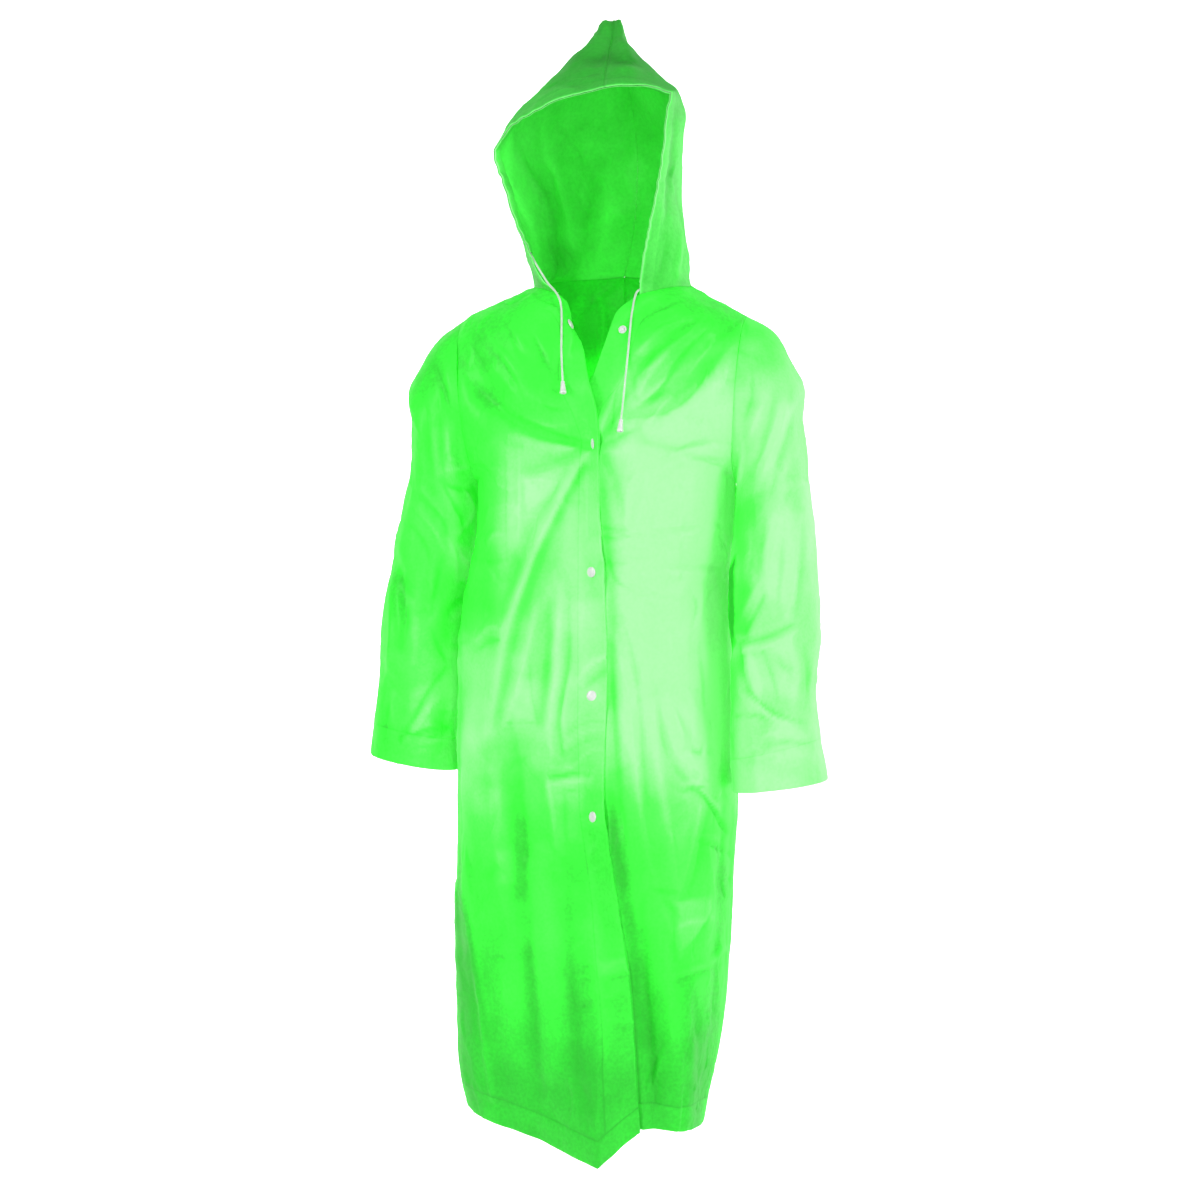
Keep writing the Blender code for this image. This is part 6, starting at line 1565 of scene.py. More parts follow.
def sleeve_piece(side):
    rows = RIGHT_SLEEVE if side < 0 else LEFT_SLEEVE
    start = [0.0, 0.0022, 0.0046, 0.0080]
    weld = [CUFF_ALONG - 0.0060, CUFF_ALONG - 0.0024, CUFF_ALONG, CUFF_ALONG + 0.0024, CUFF_ALONG + 0.0060]
    end = [0.9880, 0.9940, 0.9975, 1.0]
    along = np.array(
        start + list(np.linspace(start[-1], weld[0], 118)[1:-1]) + weld + list(np.linspace(weld[-1], end[0], 10)[1:-1]) + end
    )
    angles = np.linspace(0, 2 * math.pi, SLEEVE_AROUND, endpoint=False)
    grid = np.array([sleeve_ring(rows, a, angles) for a in along])
    hole = np.array([armhole(side, 2 - a / math.pi, True) if a <= math.pi else armhole(side, 2 - (2 * math.pi - a) / math.pi, False) for a in angles])
    grid += (hole - grid[0])[None] * np.exp(-((along / 0.055) ** 2))[:, None, None]
    normals = tube_normals(grid)
    grid = folded(grid, normals, SLEEVE_FOLDS_RIGHT if side < 0 else SLEEVE_FOLDS_LEFT, True)
    grid = folded(grid, normals, SLEEVE_FOLDS_BACK, False)
    normals = tube_normals(grid)
    ahead = facing(normals, TOWARD_VIEW)
    flat = chart(grid)
    rise = crease_rise(flat, RIGHT_SLEEVE_CREASES if side < 0 else LEFT_SLEEVE_CREASES) * ahead
    rise += crease_rise(back_chart(grid), SLEEVE_BACK_CREASES, 5.0) * facing(normals, np.array([0.0, 1.0, 0.0]))
    made = rise.copy()
    swell = soft_film(grid, 80 + side) * 1.2
    rise = rise * CREASE_GAIN + swell
    inner = facing(normals, np.array([-float(side), 0.0, 0.0]), 2.0, -0.2)
    rise = np.minimum(rise, 0.009 - 0.006 * inner)
    level = grid[..., 2]
    if side < 0:
        close = 0.0046 * ease((-0.225 - level) / 0.03) * (1 - ease((-0.40 - level) / 0.08))
    else:
        close = 0.0026 * np.exp(-(((level + 0.243) / 0.026) ** 2)) + 0.0046 * ease((-0.425 - level) / 0.03)
    rise += close * ease(inner / 0.5)
    from_top = edge_distance(grid, 0, True)
    fade = ease(from_top / 0.016)
    grid = shaped(grid, normals, np.clip(rise, -0.009, 0.009), fade)
    normals = tube_normals(grid)
    mark = weld_groove(from_top) + weld_groove(np.abs(along - CUFF_ALONG)[:, None] * 0.52 + np.zeros_like(from_top), 0.00035)
    grid = grid + normals * mark[..., None]
    to_end = edge_distance(grid, 0, False)
    grid = grid - normals * (np.clip(1 - to_end / EDGE_ROUND, 0, 1) ** 2 * INNER_LAY * 0.5)[..., None]
    painted_light = painted_light_sleeve(grid, flat, side, ahead) + patches(flat, SLEEVE_LIGHT_SHADE_PATCHES) * ahead
    painted_light = creased_painted_light(painted_light, made, swell) + patches(flat, UNDERARM_SHADE)
    short = (0.016 * blob(flat, 467, 334, 2.2, 12) if side < 0 else 0.016 * blob(flat, 746, 326, 2.2, 9)) * ahead
    painted_light -= 12.0 * short
    double = (along > CUFF_ALONG)[:, None] * np.ones(SLEEVE_AROUND)[None]
    return grid, normals, {"painted_light": painted_light, "double": double, "weld": -mark / 0.0004}, along


def tube_normals(grid):
    closed = np.concatenate([grid[:, -1:], grid, grid[:, :1]], axis=1)
    normals = np.cross(closed[:, 2:] - closed[:, :-2], np.gradient(grid, axis=0))
    normals /= np.maximum(np.linalg.norm(normals, axis=2, keepdims=True), 1e-12)
    middle = grid.mean(axis=1, keepdims=True)
    return normals * (1 if np.median((normals * (grid - middle)).sum(axis=2)) > 0 else -1)


CASING_COLUMNS = 8
HOOD_CENTRE = (0.01, 0.02, 0.13)


def fine_hood_row(side, up, steps):
    rows = HOOD_RIGHT if side < 0 else HOOD_LEFT
    seam = read(HOOD_SEAM, "up", "x y z", up)
    data = read(rows, "up", "mid_x mid_y mid_z face_x face_y face_z", up)
    mid, face = data[:3], data[3:]
    one, two = np.linalg.norm(mid - seam), np.linalg.norm(face - mid)
    round_back = 1 - ease((up - 0.55) / 0.35)
    leave = np.array([side * one * 1.15, 0.0, mid[2] - seam[2]]) * round_back + (mid - seam) * (1 - round_back)
    through = (face - seam) / np.linalg.norm(face - seam)
    arrive = (face - mid) + (face - mid - through * two) * 0.5
    s = np.linspace(0, 1, 91)[:, None]

    def piece(p, q, tp, tq):
        return (
            p * (1 + 2 * s) * (1 - s) ** 2
            + tp * s * (1 - s) ** 2
            + q * s * s * (3 - 2 * s)
            + tq * s * s * (s - 1)
        )

    points = np.vstack([piece(seam, mid, leave, through * one), piece(mid, face, through * two, arrive)[1:]])
    if up < 0.2:
        end = HOOD_END_RIGHT if side < 0 else HOOD_END_LEFT
        ring = np.array([neck(side, a) for a in np.linspace(180, end, 181)])
        points = ring * (1 - ease(up / 0.2)) + points * ease(up / 0.2)
    total = lengths(points)[-1]
    near = total - CASING_WIDTH
    wanted = [0.0, 0.0012, 0.0026, 0.0045, 0.0075] + list(np.linspace(0.0075, near, steps + 1)[1:])
    wanted += list(np.linspace(near, total, CASING_COLUMNS + 1)[1:])
    return at_lengths(points, wanted)


def flat_peak(side, grid):
    """The crown comes to a narrow flat peak, level between its two ridges."""
    x, y, z = grid[..., 0], grid[..., 1], grid[..., 2]
    middle = 0.0105 - 0.158 * y
    near = ease((z - 0.298) / 0.024)
    squeeze = 0.17 if side < 0 else 0.36
    grid[..., 0] = middle + (x - middle) * (1 - squeeze * near)
    apart = np.clip(1 - (np.abs(grid[..., 0] - middle) / 0.019) ** 2, 0, 1)
    lifted = z + 0.0115 * ease((z - 0.322) / 0.018) * apart
    cap = 0.3528
    grid[..., 2] = np.where(lifted > cap - 0.002, cap - 0.002 + 0.002 * np.tanh((lifted - cap + 0.002) / 0.002), lifted)
    return grid


HOOD_UPS = np.array([0.0, 0.003, 0.007, 0.012] + list(np.linspace(0.012, 0.985, 108)[1:]) + [0.991, 0.9955, 1.0])


def hood_piece(side):
    grid = flat_peak(side, np.array([fine_hood_row(side, up, 62) for up in HOOD_UPS]))
    normals = grid_normals(grid, HOOD_CENTRE)
    ahead = facing(normals, TOWARD_VIEW)
    flat = chart(grid)
    sideways = facing(normals, np.array([float(side), 0.0, 0.0]), 3.0, -0.2)
    behind = facing(normals, np.array([0.0, 1.0, 0.0]), 3.0, -0.2)
    rise = crease_rise(flat, HOOD_CREASES) * ahead
    rise += crease_rise(side_chart(grid), HOOD_SIDE_CREASES, 5.0) * sideways * (1 - 0.7 * ahead)
    rise += crease_rise(back_chart(grid), HOOD_BACK_CREASES, 5.0) * behind * (1 - 0.7 * sideways)
    made = rise.copy()
    swell = soft_film(grid, 100)
    rise = rise * 1.2 + swell
    rise += 0.0016 * waves(grid, 0.060, 107) * (1 - ahead)
    fade = soft_fade(grid, columns=(0,), rows=(0, -1), width=0.014)
    to_face = edge_distance(grid, 1, False)
    gather = np.sin(HOOD_UPS * 96 + 2.2 * np.sin(HOOD_UPS * 23)) * (0.4 + 0.6 * np.sin(HOOD_UPS * 37 + 1.0) ** 2)
    rise = rise * (0.45 + 0.55 * ease(to_face / 0.03))
    rise += 0.0008 * gather[:, None] * np.exp(-((to_face / 0.024) ** 2))
    grid = shaped(grid, normals, np.clip(rise, -0.005, 0.0022) - 0.0012, fade)
    normals = grid_normals(grid, HOOD_CENTRE)
    mark = weld_groove(edge_distance(grid, 1, True)) + weld_groove(edge_distance(grid, 0, True))
    mark += weld_groove(edge_distance(grid, 0, False)) * 0.2
    mark += weld_groove(to_face - CASING_WIDTH, 0.00035, 0.0013)
    grid = grid + normals * mark[..., None]
    grid = grid - normals * (np.clip(1 - to_face / 0.0026, 0, 1) ** 2 * 0.0009)[..., None]
    painted_light = creased_painted_light(painted_light_hood(flat, side, ahead), made, swell)
    pale_edge = np.exp(-((to_face / 0.0016) ** 2)) * 0.66
    painted_light += pale_edge
    double = (to_face < CASING_WIDTH) * 1.0
    return grid, normals, {"painted_light": painted_light, "double": double, "weld": -mark / 0.0004}


# ---------------------------------------------------------------- meshes
def film_mesh(name, grids, fields=(), closed=False):
    """One mesh from grids of points, joined where they share points."""
    points, faces, values, offset = [], [], [], 0
    for i, grid in enumerate(grids):
        rows, across = grid.shape[:2]
        index = np.arange(rows * across).reshape(rows, across) + offset
        if closed:
            index = np.concatenate([index, index[:, :1]], axis=1)
        quads = np.stack([index[:-1, :-1], index[:-1, 1:], index[1:, 1:], index[1:, :-1]], -1).reshape(-1, 4)
        faces.append(quads)
        points.append(grid.reshape(-1, 3))
        if fields:
            values.append({k: np.broadcast_to(v, (rows, across)).reshape(-1) for k, v in fields[i].items()})
        offset += rows * across
    points, faces = np.vstack(points), np.vstack(faces)
    key = np.round(points * 1e6).astype(np.int64)
    _, first, back = np.unique(key, axis=0, return_index=True, return_inverse=True)
    back = back.reshape(-1)
    order = np.argsort(first, kind="stable")
    rank = np.empty(len(order), int)
    rank[order] = np.arange(len(order))
    first = first[order]
    faces = rank[back[faces]]
    solid = np.array([len(set(f)) == 4 for f in faces.tolist()])
    mesh = bpy.data.meshes.new(name)
    mesh.from_pydata(points[first].tolist(), [], faces[solid].tolist())
    mesh.validate()
    if fields:
        for k in values[0]:
            whole = np.concatenate([v[k] for v in values])[first].astype(np.float32)
            mesh.attributes.new(k, "FLOAT", "POINT").data.foreach_set("value", whole)
    mesh.shade_smooth()
    return mesh


def outward(mesh, away_from):
    """Faces the mesh away from a point on its inner side."""
    count = len(mesh.polygons)
    centre, normal = np.empty(count * 3), np.empty(count * 3)
    mesh.polygons.foreach_get("center", centre)
    mesh.polygons.foreach_get("normal", normal)
    centre, normal = centre.reshape(-1, 3), normal.reshape(-1, 3)
    if np.median((normal * (centre - np.asarray(away_from))).sum(axis=1)) < 0:
        mesh.flip_normals()


def put(name, mesh, looks, stands_for):
    obj = bpy.data.objects.new(name, mesh)
    for look in looks if isinstance(looks, (list, tuple)) else [looks]:
        mesh.materials.append(look)
    scene.collection.objects.link(obj)
    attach(obj, "root")
    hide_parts(*stands_for)
    return obj


def film_piece(name, grids, fields, look, stands_for, away_from=CENTRE, closed=False, thickness=FILM):
    mesh = film_mesh(name, grids, fields, closed)
    outward(mesh, away_from)
    obj = put(name, mesh, look, stands_for)
    wall = obj.modifiers.new("Wall", "SOLIDIFY")
    wall.thickness = thickness
    wall.offset = 0.0
    wall.use_quality_normals = True
    return obj


def cut_of(grid, closed=False):
    """Width, length and area of the film that a grid is made of."""
    wide = np.linalg.norm(np.diff(grid, axis=1), axis=2).sum(axis=1)
    if closed:
        wide = wide + np.linalg.norm(grid[:, 0] - grid[:, -1], axis=1)
        grid = np.concatenate([grid, grid[:, :1]], axis=1)
    long = np.linalg.norm(np.diff(grid, axis=0), axis=2).sum(axis=0)
    one = np.linalg.norm(np.cross(grid[:-1, 1:] - grid[:-1, :-1], grid[1:, :-1] - grid[:-1, :-1]), axis=2)
    two = np.linalg.norm(np.cross(grid[1:, :-1] - grid[1:, 1:], grid[:-1, 1:] - grid[1:, 1:]), axis=2)
    return wide.max(), long.max(), float((one + two).sum() / 2)


def turned_mesh(name, profile, sides=40):
    """A turned form from rows of radius and height, outer side from the top down."""
    points, rings = [], []
    for radius, height in profile:
        if radius < 1e-6:
            rings.append([len(points)])
            points.append((0.0, 0.0, height))
        else:
            rings.append(list(range(len(points), len(points) + sides)))
            points += [
                (radius * math.cos(2 * math.pi * k / sides), radius * math.sin(2 * math.pi * k / sides), height)
                for k in range(sides)
            ]
    faces = []
    for one, two in zip(rings, rings[1:]):
        for k in range(sides):
            n = (k + 1) % sides
            if len(one) == 1:
                faces.append((one[0], two[k], two[n]))
            elif len(two) == 1:
                faces.append((one[k], two[0], one[n]))
            else:
                faces.append((one[k], two[k], two[n], one[n]))
    mesh = bpy.data.meshes.new(name)
    mesh.from_pydata(points, [], faces)
    mesh.shade_smooth()
    return mesh


def rounded(profile, cut, steps=3):
    """The profile with its corners rounded by the given cut."""
    knots = [np.array(p, float) for p in profile]
    out = [tuple(knots[0])]
    for before, here, after in zip(knots, knots[1:], knots[2:]):
        one, two = before - here, after - here
        a, b = np.linalg.norm(one), np.linalg.norm(two)
        if min(a, b) < 1e-7:
            out.append(tuple(here))
            continue
        reach = min(cut, a * 0.42, b * 0.42)
        start, end = here + one / a * reach, here + two / b * reach
        for u in np.linspace(0, 1, steps + 1):
            out.append(tuple(start * (1 - u) ** 2 + here * 2 * u * (1 - u) + end * u * u))
    out.append(tuple(knots[-1]))
    return out


def stand(obj, point, axis):
    turn = Vector((0, 0, 1)).rotation_difference(Vector(axis).normalized()).to_matrix().to_4x4()
    obj.data.transform(Matrix.Translation(Vector(point)) @ turn)


def cord_mesh(name, path, diameter, sides=20):
    """A braided cord along a path: strands that cross over each other show as low diamonds."""
    path = np.asarray(path, float)
    way = np.gradient(path, axis=0)
    way /= np.linalg.norm(way, axis=1, keepdims=True)
    side = np.cross(way[0], (0.3, 0.2, 0.9))
    side /= np.linalg.norm(side)
    along = lengths(path)
    points = []
    for i, (p, w) in enumerate(zip(path, way)):
        side = side - w * (side @ w)
        side /= np.linalg.norm(side)
        up = np.cross(w, side)
        angle = np.linspace(0, 2 * math.pi, sides, endpoint=False)
        one = np.cos(5 * angle + along[i] * 2 * math.pi / 0.0042)
        two = np.cos(5 * angle - along[i] * 2 * math.pi / 0.0042)
        radius = diameter / 2 * (0.955 + 0.045 * np.maximum(one, two))
        points.append(p + np.outer(radius * np.cos(angle), side) + np.outer(radius * np.sin(angle), up))
    points = np.array(points)
    rows = len(points)
    index = np.arange(rows * sides).reshape(rows, sides)
    index = np.concatenate([index, index[:, :1]], axis=1)
    faces = np.stack([index[:-1, :-1], index[:-1, 1:], index[1:, 1:], index[1:, :-1]], -1).reshape(-1, 4).tolist()
    vertices = points.reshape(-1, 3).tolist()
    for ring, at, turn in ((0, path[0], -1), (rows - 1, path[-1], 1)):
        centre = len(vertices)
        vertices.append(list(at))
        for k in range(sides):
            one, two = ring * sides + k, ring * sides + (k + 1) % sides
            faces.append((one, two, centre) if turn > 0 else (two, one, centre))
    mesh = bpy.data.meshes.new(name)
    mesh.from_pydata(vertices, [], faces)
    mesh.validate()
    mesh.shade_smooth()
    return mesh


# ---------------------------------------------------------------- materials
class Nodes:
    def __init__(self, name):
        self.material = bpy.data.materials.new(name)
        self.material.use_nodes = True
        self.tree = self.material.node_tree
        self.tree.nodes.clear()

    def add(self, kind, settings=(), **inputs):
        node = self.tree.nodes.new(kind)
        for key, value in dict(settings).items():
            setattr(node, key, value)
        for key, value in inputs.items():
            self.put(node, key.replace("_", " "), value)
        return node

    def put(self, node, key, value):
        socket = node.inputs[int(key[1:])] if key[0] == "#" else node.inputs[key]
        if isinstance(value, bpy.types.NodeSocket):
            self.tree.links.new(value, socket)
        elif isinstance(value, bpy.types.Node):
            self.tree.links.new(value.outputs[0], socket)
        else:
            socket.default_value = value

    def math(self, kind, a, b=0.0, c=0.0, clamp=False):
        node = self.tree.nodes.new("ShaderNodeMath")
        node.operation = kind
        node.use_clamp = clamp
        for i, value in enumerate((a, b, c)):
            if isinstance(value, bpy.types.NodeSocket):
                self.tree.links.new(value, node.inputs[i])
            elif isinstance(value, bpy.types.Node):
                self.tree.links.new(value.outputs[0], node.inputs[i])
            else:
                node.inputs[i].default_value = value
        return node

    def ramp(self, factor, stops):
        node = self.tree.nodes.new("ShaderNodeValToRGB")
        ramp = node.color_ramp
        while len(ramp.elements) < len(stops):
            ramp.elements.new(0.5)
        for element, (at, colour) in zip(ramp.elements, stops):
            element.position = at
            element.color = (*colour, 1.0)
        self.tree.links.new(factor.outputs[0] if isinstance(factor, bpy.types.Node) else factor, node.inputs[0])
        return node

    def mix(self, factor, a, b, kind="MIX"):
        node = self.tree.nodes.new("ShaderNodeMix")
        node.data_type = "RGBA"
        node.blend_type = kind
        for i, value in ((0, factor), (6, a), (7, b)):
            if isinstance(value, bpy.types.Node):
                self.tree.links.new(value.outputs[0] if value.bl_idname != "ShaderNodeMix" else value.outputs[2], node.inputs[i])
            elif isinstance(value, bpy.types.NodeSocket):
                self.tree.links.new(value, node.inputs[i])
            else:
                node.inputs[i].default_value = value
        return node

    def noise(self, size, detail=3.0, rough=0.5, warp=0.0, vector=None):
        node = self.tree.nodes.new("ShaderNodeTexNoise")
        node.inputs["Scale"].default_value = 1.0 / size
        node.inputs["Detail"].default_value = detail
        node.inputs["Roughness"].default_value = rough
        node.inputs["Distortion"].default_value = warp
        if vector is None:
            vector = self.add("ShaderNodeTexCoord").outputs["Object"]
        self.tree.links.new(vector, node.inputs["Vector"])
        return node


def green_film(name, shaded, deep, leaf, mid, pale, shade=1.0, through=0.09, painted_glow=0.16, floor=0.13):
    """Milky EVA film: light passes into it and scatters, its face is satin, and packing has left fine creases. Its
    colour follows the painted light and shade, and it gives off a painted glow of that colour.
    """
    n = Nodes(name)
    object_place = n.add("ShaderNodeTexCoord").outputs["Object"]
    # painted light and shade, read from the mesh
    painted_light = n.add("ShaderNodeAttribute", {"attribute_name": "painted_light"}).outputs["Fac"]
    double = n.add("ShaderNodeAttribute", {"attribute_name": "double"}).outputs["Fac"]
    weld = n.add("ShaderNodeAttribute", {"attribute_name": "weld"}).outputs["Fac"]
    cloud = n.noise(0.085, 2.0, 0.55, 0.3, object_place)
    fleck = n.noise(0.0042, 1.0, 0.6, 0.0, object_place)
    grain = n.noise(0.0011, 0.0, 0.6, 0.0, object_place)
    level = n.math("MULTIPLY_ADD", n.math("SUBTRACT", cloud, 0.5), 0.22, painted_light)
    level = n.math("MULTIPLY_ADD", n.math("SUBTRACT", fleck, 0.5), 0.08, level)
    level = n.math("MULTIPLY_ADD", double, 0.05, level)
    level = n.math("MULTIPLY_ADD", weld, -0.08, level)
    level = n.math("MULTIPLY_ADD", level, 0.80, 0.20)
    level = n.math("MAXIMUM", level, floor, clamp=True)
    colour = n.ramp(level, [(0.0, shaded), (0.20, deep), (0.34, leaf), (0.56, mid), (1.0, pale)])
    tone = n.ramp(fleck, [(0.30, (0.94, 0.96, 0.94)), (0.62, (1.0, 1.0, 1.0))])
    colour = n.mix(1.0, colour.outputs[0], tone.outputs[0], "MULTIPLY")
    fine = n.noise(0.010, 2.0, 0.62, 0.6, object_place)
    bump = n.add("ShaderNodeBump", Strength=0.10, Distance=0.0012, Height=fine.outputs[0])
    bump = n.add("ShaderNodeBump", Strength=0.05, Distance=0.0003, Height=grain.outputs[0], Normal=bump.outputs[0])
    gloss = n.math("MULTIPLY_ADD", cloud, 0.16, 0.30)
    rim = n.add("ShaderNodeLayerWeight", Blend=0.35)
    gloss = n.math("MULTIPLY_ADD", n.math("POWER", rim.outputs["Facing"], 3.0), 0.5, gloss)
    face = n.add("ShaderNodeBsdfPrincipled", Roughness=gloss.outputs[0], Normal=bump.outputs[0])
    face.inputs["IOR"].default_value = 1.48
    face.inputs["Specular IOR Level"].default_value = 0.20
    # painted glow: the film gives off its own colour as light, lifting its shade
    n.put(face, "Emission Color", colour.outputs[2])
    face.inputs["Emission Strength"].default_value = painted_glow
    n.put(face, "Base Color", colour.outputs[2])
    inside = n.add("ShaderNodeBsdfTranslucent", Color=colour.outputs[2], Normal=bump.outputs[0])
    body = n.add("ShaderNodeMixShader")
    body.inputs[0].default_value = 0.36
    n.tree.links.new(face.outputs[0], body.inputs[1])
    n.tree.links.new(inside.outputs[0], body.inputs[2])
    clear = n.add("ShaderNodeBsdfTransparent", Color=(0.30 * shade, 1.0, 0.32 * shade, 1.0))
    whole = n.add("ShaderNodeMixShader")
    whole.inputs[0].default_value = through
    n.tree.links.new(body.outputs[0], whole.inputs[1])
    n.tree.links.new(clear.outputs[0], whole.inputs[2])
    out = n.add("ShaderNodeOutputMaterial")
    n.tree.links.new(whole.outputs[0], out.inputs[0])
    return n.material


def white_plastic(name):
    n = Nodes(name)
    place = n.add("ShaderNodeTexCoord").outputs["Object"]
    cloud = n.noise(0.006, 3.0, 0.5, 0.0, place)
    scuff = n.noise(0.0009, 2.0, 0.6, 0.4, place)
    colour = n.ramp(cloud, [(0.3, (0.52, 0.55, 0.52)), (0.7, (0.60, 0.63, 0.60))])
    gloss = n.math("MULTIPLY_ADD", scuff, 0.22, 0.18)
    bump = n.add("ShaderNodeBump", Strength=0.06, Distance=0.0002, Height=scuff.outputs[0])
    face = n.add("ShaderNodeBsdfPrincipled", Roughness=gloss.outputs[0], Normal=bump.outputs[0])
    n.put(face, "Base Color", colour.outputs[0])
    face.inputs["Subsurface Weight"].default_value = 0.12
    face.inputs["Subsurface Radius"].default_value = (0.002, 0.002, 0.002)
    out = n.add("ShaderNodeOutputMaterial")
    n.tree.links.new(face.outputs[0], out.inputs[0])
    return n.material


def white_braid(name):
    n = Nodes(name)
    place = n.add("ShaderNodeTexCoord").outputs["Object"]
    cloud = n.noise(0.012, 3.0, 0.5, 0.0, place)
    fibre = n.noise(0.00035, 2.0, 0.7, 0.0, place)
    colour = n.ramp(cloud, [(0.3, (0.44, 0.56, 0.44)), (0.7, (0.54, 0.66, 0.54))])
    shade = n.ramp(fibre, [(0.3, (0.78, 0.80, 0.78)), (0.6, (1.0, 1.0, 1.0))])
    colour = n.mix(1.0, colour.outputs[0], shade.outputs[0], "MULTIPLY")
    bump = n.add("ShaderNodeBump", Strength=0.35, Distance=0.0002, Height=fibre.outputs[0])
    face = n.add("ShaderNodeBsdfPrincipled", Normal=bump.outputs[0])
    face.inputs["Roughness"].default_value = 0.78
    face.inputs["Sheen Weight"].default_value = 0.25
    n.put(face, "Base Color", colour.outputs[2])
    out = n.add("ShaderNodeOutputMaterial")
    n.tree.links.new(face.outputs[0], out.inputs[0])
    return n.material


# greens of the film, from the most shaded to the palest lit; the painted light and shade picks among them
DARK = (0.034, 0.46, 0.037)
DEEP = (0.042, 0.60, 0.046)
LEAF = (0.062, 0.86, 0.066)
MID = (0.120, 0.93, 0.125)
PALE = (0.450, 0.94, 0.450)
film = green_film("green_film", DARK, DEEP, LEAF, MID, PALE)
# darker copies of the film for the hood: painted shade over the hood
shaded_hood_film = green_film(
    "green_film_hood", (0.031, 0.37, 0.033), (0.052, 0.53, 0.055), (0.082, 0.70, 0.086), (0.155, 0.90, 0.160), PALE, painted_glow=0.10, floor=0.0
)
shaded_hood_double_film = green_film(
    "green_film_hood_double", (0.031, 0.37, 0.033), (0.052, 0.53, 0.055), (0.082, 0.70, 0.086), (0.155, 0.90, 0.160), PALE, through=0.06, painted_glow=0.10, floor=0.0
)
double_film = green_film("green_film_double", DARK, DEEP, LEAF, MID, PALE, through=0.06)
plastic = white_plastic("white_plastic")
braid = white_braid("white_cord")


# ---------------------------------------------------------------- the coat
def part(grid, rows=slice(None), cols=slice(None), fields=None):
    return grid[rows, cols], {k: np.broadcast_to(v, grid.shape[:2])[rows, cols] for k, v in (fields or {}).items()}


def pulled(grid, edges, gap=SEAM_GAP):
    return drawn_in(grid, {edge: gap for edge in edges})


sheets = {}
strip_end = len(STRIP)
facing_end = int(np.argmin(np.abs(STATIONS - 1.60))) + 1
fronts = {}
for name, side in (("right", -1), ("left", 1)):
    grid, normals, fields = front_piece(side)
    fronts[side] = (grid, normals)
    whole = pulled(grid, ["last_row", "last_column"])
    film_piece(f"{name}_front_film", [whole], [fields], film, [f"{name}_front"])
    sheets[f"{name}_front"] = cut_of(whole)
    # the facing inside the hem
    hem = grid - normals * INNER_LAY
    hem, marks = part(hem, slice(0, HEM_ROW + 1), slice(None), fields)
    hem = pulled(hem, ["last_column", "last_row"])
    film_piece(f"{name}_hem_film", [hem], [marks], double_film, [f"{name}_hem"])
    sheets[f"{name}_hem"] = cut_of(hem)
    # the facing inside the front edge
    strip = grid - normals * INNER_LAY
    strip, marks = part(strip, slice(HEM_ROW, facing_end), slice(0, strip_end), fields)
    strip = pulled(strip, ["first_row", "last_row"])
    film_piece(
        f"{name}_placket_film", [strip], [marks], double_film, [f"{name}_placket"]
    )
    sheets[f"{name}_placket"] = cut_of(strip)

halves = back_halves()
grids = [pulled(h[0], ["last_row", "last_column"]) for h in halves]
film_piece("back_film", grids, [h[2] for h in halves], film, ["back"])
one, two = cut_of(grids[0]), cut_of(grids[1])
sheets["back"] = (one[0] + two[0], max(one[1], two[1]), one[2] + two[2])
hems, marks = [], []
for grid, normals, fields in halves:
    inner = grid - normals * INNER_LAY
    hem, mark = part(inner, slice(0, HEM_ROW + 1), slice(None), fields)
    hems.append(pulled(hem, ["last_column", "last_row"]))
    marks.append(mark)
film_piece("back_hem_film", hems, marks, double_film, ["back_hem"])
one, two = cut_of(hems[0]), cut_of(hems[1])
sheets["back_hem"] = (one[0] + two[0], max(one[1], two[1]), one[2] + two[2])

for name, side in (("right", -1), ("left", 1)):
    grid, normals, fields, along = sleeve_piece(side)
    middle = grid.reshape(-1, 3).mean(axis=0)
    whole = pulled(grid, ["first_row"])
    film_piece(
        f"{name}_sleeve_film", [whole], [fields], film, [f"{name}_sleeve"], middle, closed=True
    )
    sheets[f"{name}_sleeve"] = cut_of(whole, True)
    row = int(np.argmin(np.abs(along - CUFF_ALONG)))
    cuff, marks = part(grid - normals * INNER_LAY, slice(row, None), slice(None), fields)
    film_piece(
        f"{name}_cuff_film", [cuff], [marks], double_film, [f"{name}_cuff"],
        cuff.reshape(-1, 3).mean(axis=0), closed=True,
    )
    sheets[f"{name}_cuff"] = cut_of(cuff, True)

casing, casing_marks, lanes, hoods = [], [], [], {}
HOOD_ENDS = {"right": 0.22, "left": 0.10}  # how far up the hood the tunnel ends on each side
for name, side in (("right", -1), ("left", 1)):
    grid, normals, fields = hood_piece(side)
    hoods[side] = (grid, normals)
    whole = pulled(grid, ["first_row", "last_row", "first_column"])
    film_piece(
        f"hood_{name}_film", [whole], [fields], shaded_hood_film, [f"hood_{name}"], HOOD_CENTRE
    )
    sheets[f"hood_{name}"] = cut_of(whole)
    share = np.linspace(0, 1, CASING_COLUMNS + 1)
    loft = INNER_LAY + (CASING_LOFT - INNER_LAY) * np.sin(math.pi * share) ** 0.8
    inner = grid[:, -CASING_COLUMNS - 1 :] - normals[:, -CASING_COLUMNS - 1 :] * loft[None, :, None]
    casing.append(inner)
    casing_marks.append({k: np.broadcast_to(v, grid.shape[:2])[:, -CASING_COLUMNS - 1 :] for k, v in fields.items()})
    middle = -1 - CASING_COLUMNS // 2
    lanes.append(grid[:, middle] - normals[:, middle] * CORD_DEPTH)

